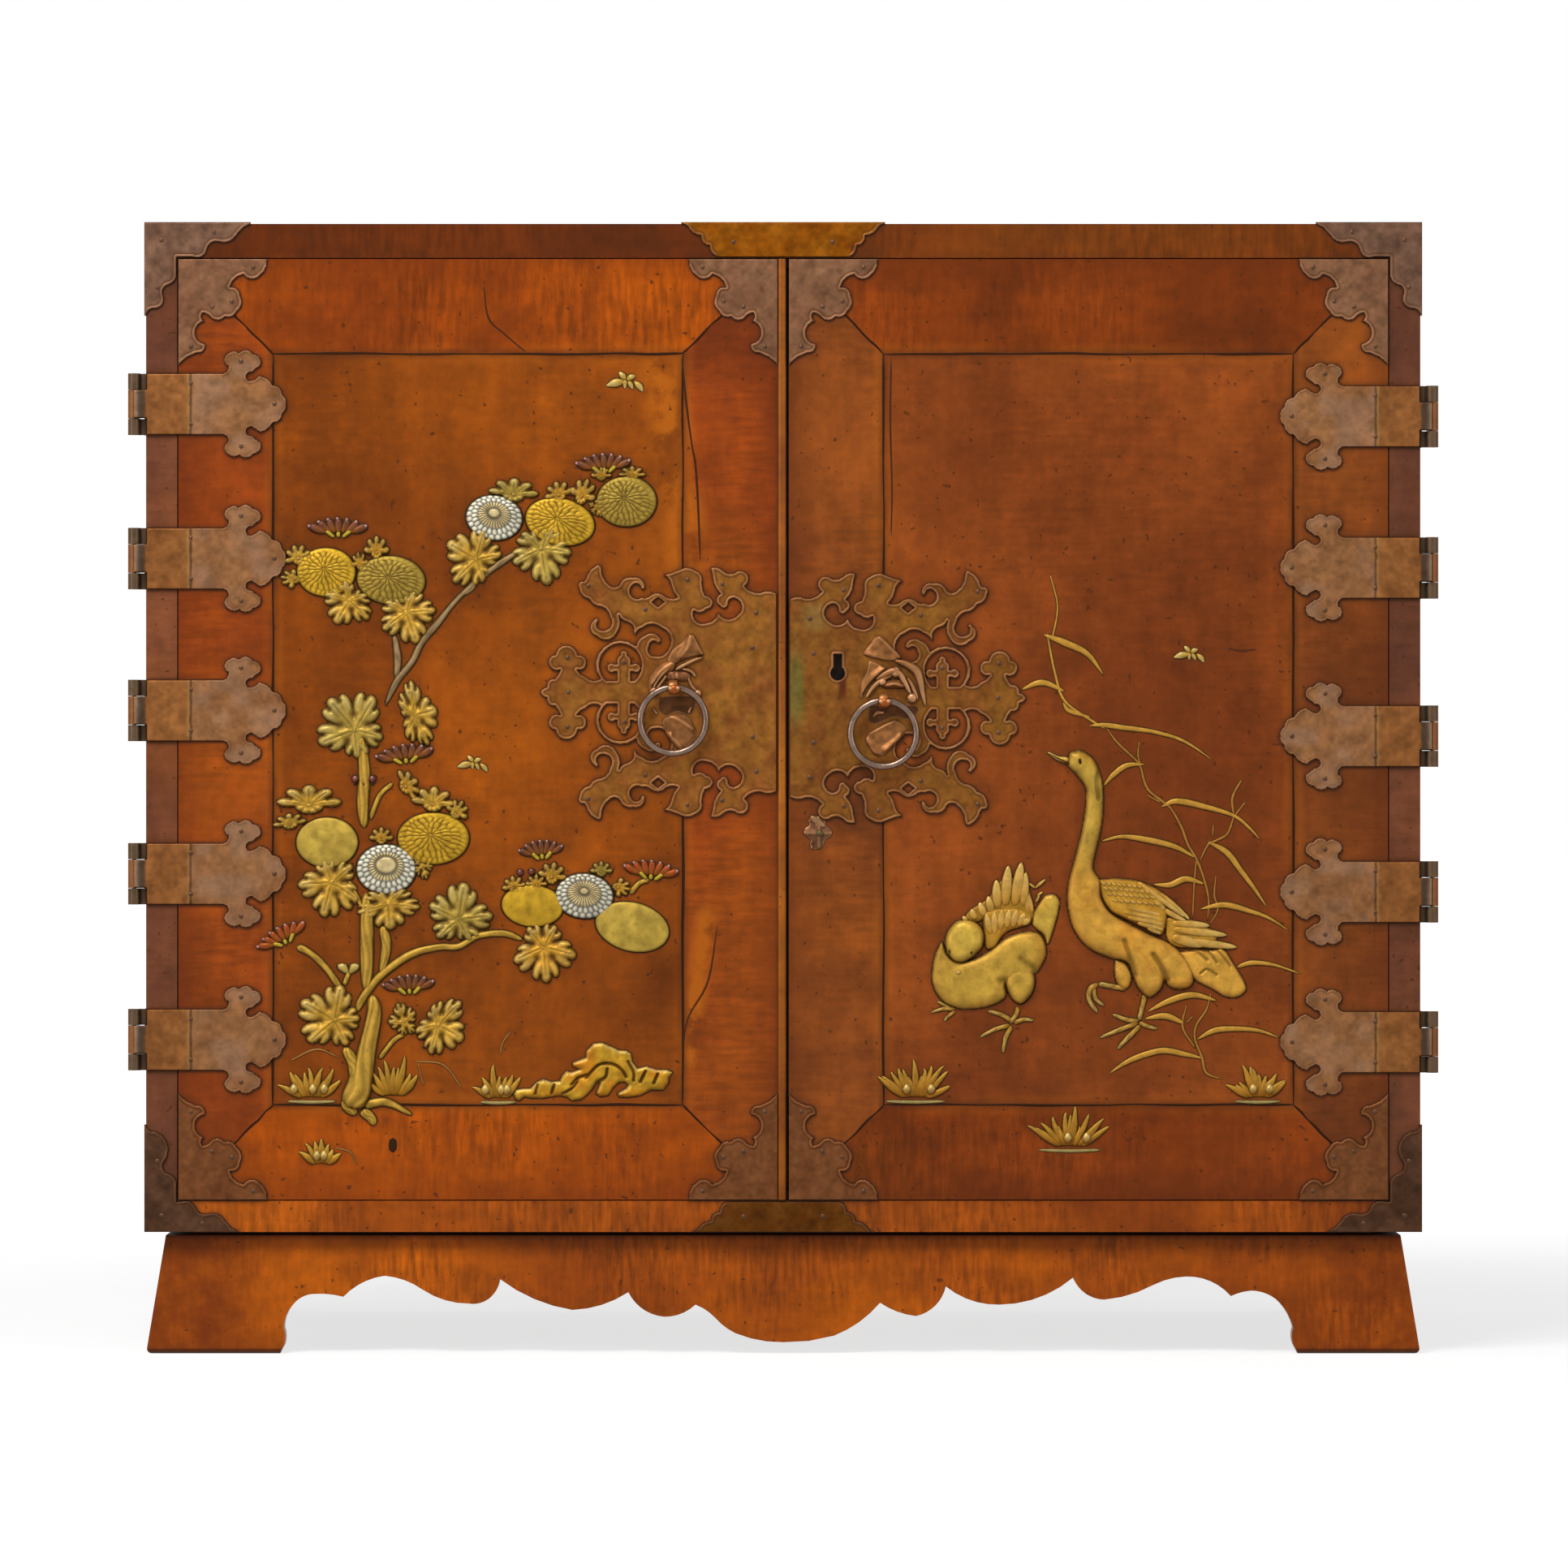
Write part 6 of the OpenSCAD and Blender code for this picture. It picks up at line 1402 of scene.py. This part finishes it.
form([(100, 132), (150, 126), (200, 158), (232, 220), (246, 300), (244, 420), (226, 520), (206, 600),
      (204, 650), (236, 700), (240, 770), (280, 836), (360, 884), (450, 930), (540, 972), (600, 1024),
      (640, 1092), (638, 1150), (590, 1172), (536, 1160), (516, 1130), (500, 1170), (450, 1208), (404, 1170),
      (376, 1110), (352, 1056), (270, 1032), (180, 988), (118, 910), (90, 800), (96, 700), (130, 570),
      (160, 440), (172, 300), (130, 232), (92, 188)],
     *WALKING, 4.4, 8, 0.4, WARM_DOWN, ([(340, 960), (362, 1030), (385, 1110)],
                                       [(466, 1020), (500, 1070), (524, 1130)],
                                       [(238, 200), (220, 260), (226, 330)]))
form([(400, 990), (450, 1016), (490, 1080), (500, 1150), (452, 1204), (408, 1160), (384, 1080)], *WALKING,
     4.8, 8, 0.6, WARM_DOWN)
stroke(geese, enlarged([(2, 130, 4), (50, 158, 10), (100, 168, 18)], *WALKING), QUILL, 0.8, 5, halo=0.6,
       lift=0.4, to=DOWN)
stroke(geese, enlarged([(8, 136, 2), (60, 164, 2.5), (108, 186, 3)], *WALKING), EARTH_AND_SHADOW, 0.4, 6, halo=0,
       lift=2.6)
stroke(geese, enlarged([(134, 172, 19), (154, 170, 19)], *WALKING), DOWN * 0.8, 0.4, 3, halo=0, lift=3.8)
stroke(geese, enlarged([(138, 172, 12), (150, 170, 12)], *WALKING), EARTH_AND_SHADOW * 0.6, 0.5, 4, halo=0, lift=4.9)
for points in ([(350, 1168, 16), (290, 1160, 12), (226, 1148, 14)],
               [(226, 1150, 13), (190, 1170, 13), (186, 1220, 11), (222, 1276, 10)],
               [(205, 1160, 11), (212, 1210, 10), (250, 1246, 8)],
               [(430, 1196, 14), (418, 1250, 11), (404, 1310, 12)],
               [(404, 1312, 13), (350, 1306, 11), (288, 1282, 8)],
               [(400, 1320, 13), (320, 1350, 11), (230, 1386, 7)],
               [(410, 1330, 12), (360, 1380, 12), (308, 1436, 8)],
               [(404, 1318, 12), (440, 1334, 10), (486, 1346, 7)]):
    claw(points, *WALKING)
geese.build("geese", "right_door", gold, "gold_relief")

# %% [markdown]
# ## Reeds
# A reed leaf is widest in its first third and ends in a long point, and the stems are bent at every
# joint. They are strokes with a sharper taper, flatter than the flower stems.

# %% Reeds and grass of the right door
REED, REED_STEM = (0.47, 0.24, 0.035), (0.34, 0.15, 0.025)
reeds = Shells()
for points in (
        [(185, 15, 3), (250, 12, 11), (340, 24, 12), (470, 42, 9), (600, 82, 7), (728, 166, 3)],
        [(248, 280, 4), (290, 232, 12), (350, 190, 12), (430, 184, 4)],
        [(500, 372, 5), (570, 346, 14), (690, 370, 13), (820, 410, 8), (890, 465, 6), (936, 516, 2)],
        [(238, 522, 4), (330, 502, 9), (440, 516, 14), (560, 546, 12), (656, 596, 5)],
        [(706, 524, 7), (790, 572, 14), (850, 650, 12), (910, 730, 9), (966, 812, 3)],
        [(466, 712, 4), (540, 714, 13), (610, 688, 14), (692, 710, 6)],
        [(672, 820, 5), (780, 802, 14), (900, 832, 10), (980, 862, 7), (1064, 916, 2)],
        [(832, 1076, 8), (900, 1056, 11), (1000, 1066, 7), (1118, 1106, 2)],
        [(438, 1272, 4), (540, 1222, 14), (640, 1197, 14), (746, 1222, 6)],
        [(428, 1302, 5), (520, 1290, 15), (602, 1322, 8)],
        [(656, 1394, 5), (740, 1352, 13), (850, 1346, 11), (940, 1356, 8), (1022, 1386, 3)],
        [(272, 1542, 3), (370, 1482, 12), (500, 1442, 14), (600, 1456, 12), (688, 1476, 5)]):
    stroke(reeds, enlarged(points, *WALKING), REED, 0.5, 8, halo=0.6)
for points in (
        [(262, 25, 4), (310, 90, 6), (390, 166, 5), (412, 200, 5), (440, 290, 6), (510, 350, 6),
         (545, 380, 5), (590, 460, 6), (620, 540, 6), (656, 600, 6), (690, 690, 5), (710, 780, 5),
         (705, 872, 4)],
        [(406, 84, 3), (400, 140, 4), (412, 200, 4)],
        [(822, 410, 5), (792, 490, 5), (742, 520, 5), (706, 540, 5), (670, 612, 3)],
        [(820, 410, 4), (815, 330, 6), (856, 250, 4)], [(824, 410, 4), (872, 350, 3)],
        [(656, 600, 5), (646, 720, 4), (640, 860, 3)],
        [(742, 674, 3), (735, 760, 4), (750, 822, 4), (714, 890, 3)],
        [(720, 1188, 4), (700, 1262, 5), (656, 1330, 5), (650, 1392, 5), (680, 1470, 6), (700, 1540, 6),
         (776, 1568, 3)],
        [(612, 1240, 3), (596, 1340, 5), (652, 1432, 4)], [(730, 450, 3), (728, 500, 4)],
        [(640, 1290, 3), (612, 1320, 4)], [(440, 320, 3), (500, 352, 4)]):
    stroke(reeds, enlarged(points, *WALKING), REED_STEM, 0.6, 8, halo=0.45)
for points in ([(1294, 708, .8), (1303, 748, 1), (1296, 790, 1.4)],
               [(1286, 782, 2), (1312, 792, 4.5), (1340, 806, 3.5), (1360, 832, 1)],
               [(1290, 780, 1.4), (1300, 830, 1.6), (1312, 864, 1.8), (1345, 888, 1.6), (1362, 898, 1.4)],
               [(1258, 850, 1.2), (1284, 841, 4), (1312, 852, 1.5)],
               [(1310, 866, 1.2), (1318, 876, 3), (1344, 884, 1.2)]):
    stroke(reeds, points, REED, 0.5, 8, halo=0.5)
for x, y, wide, high, blades, seed in (
        (1128, 1352, 92, 52, 13, 5), (1318, 1412, 96, 50, 13, 6), (1550, 1352, 72, 44, 12, 7)):
    tuft(reeds, x, y, wide, high, blades, seed, TURF * [0.95, 0.8, 0.8])
for wing in MOTH:
    fly(reeds, wing, (1424, 781), 19)
reeds.build("reeds_and_grass", "right_door", gold, "gold_relief")

# %% [markdown]
# ## The leaves that hold the rings
# Each ring hangs from an eye in front of crossed leaves with ribbons, cast and chased. The rough CAD
# solids keep their place and size, and these take over what is seen. A leaf is an outline with a
# ridge, a ribbon is a stroke, and the eye is an oval carried round the ring's wire on a circle.

# %% Leaf, eye and bead
COPPER, PALE_COPPER_AND_GLINT, COPPER_SHADE = np.array([[0.25, 0.1, 0.032], [0.44, 0.22, 0.1], [0.06, 0.022, 0.008]])
RING_Y, EYE_RING, EYE_HALF = -251.7, 4.25, 3.4
KNOB_Y, GLINT_Y, WIRE = -256.1, -256.99, 2.4


def chased(shells, outline, ridges, corner, times, tall=4.0, tone=COPPER, back=None):
    """A cast leaf: it rises quickly inside its outline, and a bell of the distance to a ridge lifts it
    to its full height. Rim and ridge carry a painted highlight, partly wear, and the foot painted shade."""
    back = plate_y if back is None else back

    def surface(depth, points, near):
        """Height from the quick rise and the ridge's bell; the colour is painted lighter on the ridge as a
        highlight and darkest at the foot as shade.
        """
        full = 1 - np.exp(-np.maximum(depth, 0) / 0.9)
        crest = near_lines(points, ridges, corner, times, 2.4)
        fine = near_lines(points, ridges, corner, times, 0.7)
        out = 0.1 + full * (0.45 * tall + 0.55 * tall * crest) * (0.94 + 0.06 * speckle(points, 2.5, 30))
        rim = bell(depth, 0.6, 0.5) * (0.3 + 0.7 * speckle(points, 5, 31))
        # painted highlight on the ridges
        tint = tone * (0.6 + 0.6 * speckle(points, 3, 32) + 0.25 * crest)[:, None]
        # painted highlight on rim and ridge, partly wear
        tint = laid_over(tint, PALE_COPPER_AND_GLINT, np.clip(0.55 * rim + 0.5 * fine, 0, 0.8))
        # painted shade at the foot
        return out, np.where((depth < 0.2)[:, None], COPPER_SHADE, tint)

    raised(shells, rounded(outline, corner, times, 5), back, 0.45, surface)


def eye(shells, x, z):
    """A torus with an oval section: the angle a runs round the axis, which lies across the door, and
    b round the section. Its radius is the ring's plus the section's thickness times the cosine of b.
    Its colour is painted lighter on the outer side as a highlight and darker on the inner side as
    shade."""
    a, b = np.meshgrid(np.linspace(0, 2 * np.pi, 32, endpoint=False),
                       np.linspace(0, 2 * np.pi, 16, endpoint=False), indexing="ij")
    radius = EYE_RING + 1.05 * np.cos(b)
    points = np.stack([x + EYE_HALF * np.sin(b), RING_Y + radius * np.cos(a), z + radius * np.sin(a)], -1)
    rows = np.arange(32 * 16).reshape(32, 16)
    right, down = np.roll(rows, -1, 1), np.roll(rows, -1, 0)
    faces = np.stack([rows, right, np.roll(down, -1, 1), down], -1).reshape(-1, 4)
    # painted highlight on the outer side of the eye and painted shade on its inner side
    shells.add(points, faces, COPPER * (0.8 + 0.5 * np.cos(b)).reshape(-1, 1))


def bead(shells, x, y, z, size, tint):
    """A ball flattened by its three sizes; its rings run from one pole to the other."""
    a, b = np.meshgrid(np.linspace(0.02, np.pi - 0.02, 14), np.linspace(0, 2 * np.pi, 24, endpoint=False),
                       indexing="ij")
    ball = np.stack([np.sin(a) * np.cos(b), np.cos(a), np.sin(a) * np.sin(b)], -1)
    rings_shell(shells, ball * size + [x, y, z], np.broadcast_to(tint, ball.shape))


print("the eye is", 2 * (EYE_RING + 1.05), "mm high over the wire")

# %% [markdown]
# The two bosses aren't a pair: each was chased by hand. So each has its own leaves, with their
# outline, ridges, height and colour, then its ribbons, and then small balls at the ribbons' ends.

# %% The two bosses
leaves = {
    "left": ((750, 740), 7.129, (
        ([(525, 480), (560, 425), (640, 362), (702, 296), (748, 300), (778, 350), (808, 410), (840, 468),
          (812, 490), (740, 498), (660, 528), (590, 562), (540, 580), (512, 535)],
         [[(716, 305), (700, 400), (640, 490)], [(748, 310), (790, 400), (826, 465)]], 4.0, COPPER),
        ([(545, 520), (470, 548), (400, 610), (350, 690), (344, 760), (376, 800), (430, 770), (470, 710),
          (530, 650), (590, 600), (590, 545)], [[(560, 550), (460, 620), (385, 720)]], 3.6, COPPER * 1.1),
        # a low dark patch of painted shade in the hollow under the eye
        ([(440, 835), (740, 835), (765, 950), (700, 1012), (600, 985), (500, 1022), (430, 960)], [], 0.8,
         COPPER_SHADE * 1.4),
        ([(600, 985), (690, 1008), (745, 1085), (772, 1175), (722, 1262), (640, 1318), (560, 1262),
          (508, 1180), (468, 1080), (500, 1020)],
         [[(545, 1015), (640, 1060), (735, 1125)], [(545, 1195), (600, 1250), (645, 1310)]], 3.4,
         COPPER * 0.9),
        ([(520, 620), (700, 620), (708, 705), (512, 705)], [[(600, 630), (600, 700)]], 4.6,
         COPPER * [0.8, 0.75, 0.9])),
     (([(832, 498, 16), (740, 530, 18), (650, 575, 20), (585, 610, 16)], 1.1, 1.2),
      ([(560, 570, 14), (480, 640, 18), (420, 720, 15), (395, 780, 14)], 1.1, 1.6),
      ([(640, 600, 16), (722, 622, 17), (766, 672, 14)], 1.1, 1.4),
      ([(700, 675, 15), (728, 750, 16), (785, 808, 13)], 1.0, 1.2),
      ([(512, 655, 15), (462, 725, 16), (412, 790, 14)], 1.0, 1.6),
      ([(385, 940, 10), (425, 1000, 12)], 0.8, 1.0), ([(730, 930, 12), (700, 990, 12)], 0.8, 1.0)),
     ((400, 802, 3.2), (782, 815, 2.6))),
    "right": ((1010, 740), 6.533, (
        ([(480, 280), (520, 308), (572, 360), (640, 430), (650, 475), (560, 490), (480, 475), (400, 455),
          (345, 432), (368, 390), (408, 342), (440, 296)],
         [[(486, 290), (560, 365), (642, 445)], [(395, 452), (460, 468), (520, 512)]], 4.0, COPPER * 1.05),
        ([(395, 480), (460, 500), (540, 545), (500, 600), (430, 650), (372, 720), (340, 800), (320, 740),
          (340, 640), (380, 560)], [[(520, 545), (430, 620), (355, 730)]], 3.0, COPPER),
        # a low dark patch of painted shade in the hollow under the eye
        ([(400, 835), (760, 835), (800, 900), (700, 960), (590, 945), (450, 1000), (380, 960)], [], 0.8,
         COPPER_SHADE * 1.4),
        ([(395, 1060), (470, 1018), (590, 958), (662, 980), (705, 1040), (655, 1110), (600, 1165),
          (520, 1248), (440, 1240), (395, 1180), (362, 1115)],
         [[(392, 1060), (480, 1022), (592, 964)], [(372, 1130), (402, 1190), (455, 1240)],
          [(530, 1200), (592, 1150), (652, 1098)]], 3.4, COPPER),
        ([(515, 630), (700, 630), (708, 705), (508, 705)], [[(540, 690), (600, 672), (665, 694)]], 4.6,
         COPPER * [0.8, 0.75, 0.8])),
     (([(600, 480, 24), (700, 515, 32), (780, 570, 38), (812, 660, 30), (830, 760, 22), (852, 850, 12)], 1.0,
       1.0),
      ([(450, 640, 18), (515, 600, 26), (590, 566, 30), (645, 590, 26), (685, 660, 24), (735, 760, 20)], 1.0,
       2.2),
      ([(590, 590, 22), (500, 640, 22), (430, 700, 20), (372, 785, 14)], 0.9, 2.0),
      ([(705, 620, 16), (745, 690, 18), (790, 800, 16)], 0.9, 1.4),
      ([(425, 940, 10), (460, 905, 14), (520, 900, 12)], 0.7, 1.0)),
     ((742, 785, 3.4), (610, 575, 3.6), (505, 655, 2.8)))}
for side, (corner, times, shapes, ribbons, balls) in leaves.items():
    boss = Shells()
    for outline, ridges, tall, tone in shapes:
        chased(boss, outline, ridges, corner, times, tall, tone)
    for points, height, lift in ribbons:
        stroke(boss, enlarged(points, corner, times), COPPER * 0.85, height, 6, plate_y, 0, 10, lift,
               to=PALE_COPPER_AND_GLINT)
    for x, y, size in balls:
        (bx, bz), = at(enlarged([(x, y)], corner, times))
        bead(boss, bx, plate_y - 2.4, bz, [size, 2.2, size], PALE_COPPER_AND_GLINT)
    low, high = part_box(side + "_ring")
    x, z = (low.x + high.x) / 2 / MM, high.z / MM - WIRE
    eye(boss, x, z)
    bead(boss, x + 1.0, KNOB_Y, z - 1.4, [4.2, 1.9, 3.4], COPPER * [1.1, 0.7, 0.5])
    # two pale beads: painted highlights on the eye
    for dx in (-1.8, 3.4):
        bead(boss, x + dx, GLINT_Y, z - 0.6, [1.6, 1.2, 1.5], PALE_COPPER_AND_GLINT * 1.2)
    piece = boss.build(side + "_boss_leaves", side + "_door", boss_copper, "copper")
    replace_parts(piece, side + "_ring_boss")

# %% [markdown]
# Below the right lock plate sits a small flower of four petals, nailed on by its middle. It is the
# same kind of chased leaf, with two ridges that cross.

# %% The small flower
rosette = Shells()
ROSE = (960, 970), 13.07
chased(rosette, [(650, 455), (740, 520), (760, 610), (830, 660), (862, 735), (820, 810), (745, 850),
                 (725, 930), (640, 1000), (540, 1002), (490, 930), (500, 850), (440, 800), (392, 735),
                 (410, 660), (480, 610), (470, 530), (540, 460)],
       [[(640, 480), (640, 960)], [(420, 735), (840, 735)]], *ROSE, 1.7, np.array([0.12, 0.05, 0.024]),
       door_y)
stroke(rosette, enlarged([(500, 470, 40), (600, 540, 60), (740, 640, 40)], *ROSE), (0.2, 0.1, 0.05), 0.5, 5,
       door_y, 0, 8, 0.8, to=PALE_COPPER_AND_GLINT * 0.7)
(nail_x, nail_z), = at(enlarged([(660, 745)], *ROSE))
bead(rosette, nail_x, door_y - 1.7, nail_z, [2.6, 1.3, 2.2], np.array([0.09, 0.07, 0.03]))
# three short pale strokes: painted highlights on the petals
for x, y in ((415, 730), (520, 960), (600, 590)):
    stroke(rosette, enlarged([(x, y - 30, 12), (x, y + 30, 14)], *ROSE), PALE_COPPER_AND_GLINT, 0.7, 4, door_y, 0, 6,
           1.2)
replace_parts(rosette.build("rosette_flower", "right_door", boss_copper, "copper"), "right_door_rosette")

# %% [markdown]
# ## Lines in the lacquer
# Over the joints of the door frames the lacquer has cracked in hairlines, which are the first thing
# that tells a framed door from a plain one. Dark wax has settled in them. They are very thin dark
# strokes, wavering a little, laid along the joints of the CAD frame.

# %% A hairline
HAIR, PLACES = 1.7, 14


def hairline(shells, ends, seed, wide=HAIR):
    """A straight line whose places waver sideways by a fraction of a pixel, and whose width comes
    and goes."""
    pick = np.random.default_rng(seed)
    (x0, y0), (x1, y1) = ends
    t = np.linspace(0, 1, PLACES)
    side = np.array([y0 - y1, x1 - x0]) / np.hypot(x1 - x0, y1 - y0)
    line = np.c_[x0 + (x1 - x0) * t, y0 + (y1 - y0) * t] + side * (pick.random((PLACES, 1)) - 0.5) * 1.4
    stroke(shells, np.c_[line, wide * (0.45 + 0.55 * pick.random(PLACES))], (0.02, 0.005, 0.002), 0.02, 30,
           halo=0, sides=4)


print("a hairline is at most", round(2 * HAIR * PIXEL, 1), "mm wide")

# %% [markdown]
# Each frame has eight joints: four round the panel and four across the corners. Beside them run a
# few long cracks, and at the foot of the left door a small dark knot.

# %% Hairlines on both doors
for side, turn in (("left", -1), ("right", 1)):
    lines = Shells()
    outer, inner, edge, meet = (MIDDLE + turn * (DOOR_MIDDLE[0] + away) / PIXEL for away in (
        JOINT_HALF[0], -JOINT_HALF[0], DOOR_HALF[0], -DOOR_HALF[0]))
    top, low, above, below = (FLOOR - (DOOR_MIDDLE[1] + away) / PIXEL for away in (
        JOINT_HALF[1], -JOINT_HALF[1], DOOR_HALF[1], -DOOR_HALF[1]))
    for k, ends in enumerate((((outer, top), (inner, top)), ((inner, top), (inner, low)),
                              ((inner, low), (outer, low)), ((outer, low), (outer, top)),
                              ((edge, above), (outer, top)), ((meet, above), (inner, top)),
                              ((edge, below), (outer, low)), ((meet, below), (inner, low)))):
        hairline(lines, ends, k + (20 if turn > 0 else 0))
    if turn < 0:
        stroke(lines, [(596, 352, .6), (602, 392, 1.2), (622, 412, 1), (648, 434, .8)], (0.05, 0.014, 0.005),
               0.02, 20, halo=0)
        stroke(lines, [(484, 1402, 5), (484, 1420, 5)], (0.02, 0.008, 0.004), 0.02, 3, halo=0)
        stroke(lines, [(840, 442, 1), (846, 500, 1.3), (852, 545, 1), (858, 585, 1.4), (863, 690, 1)],
               (0.04, 0.012, 0.004), 0.02, 20, halo=0)
        stroke(lines, [(884, 1140, .6), (872, 1210, 1.3), (846, 1260, 1), (840, 1330, .8)],
               (0.07, 0.02, 0.006), 0.02, 20, halo=0)
    else:
        stroke(lines, [(1098, 441, 1), (1097, 520, 1.2), (1099, 600, 1), (1098, 659, .8)],
               (0.06, 0.017, 0.005), 0.02, 20, halo=0)
        stroke(lines, [(1512, 799, 1), (1530, 802, 1.6), (1548, 800, 1)], (0.08, 0.02, 0.008), 0.02, 6,
               halo=0)
    lines.build(side + "_door_hairlines", side + "_door", crack_wax, "lacquered_wood")
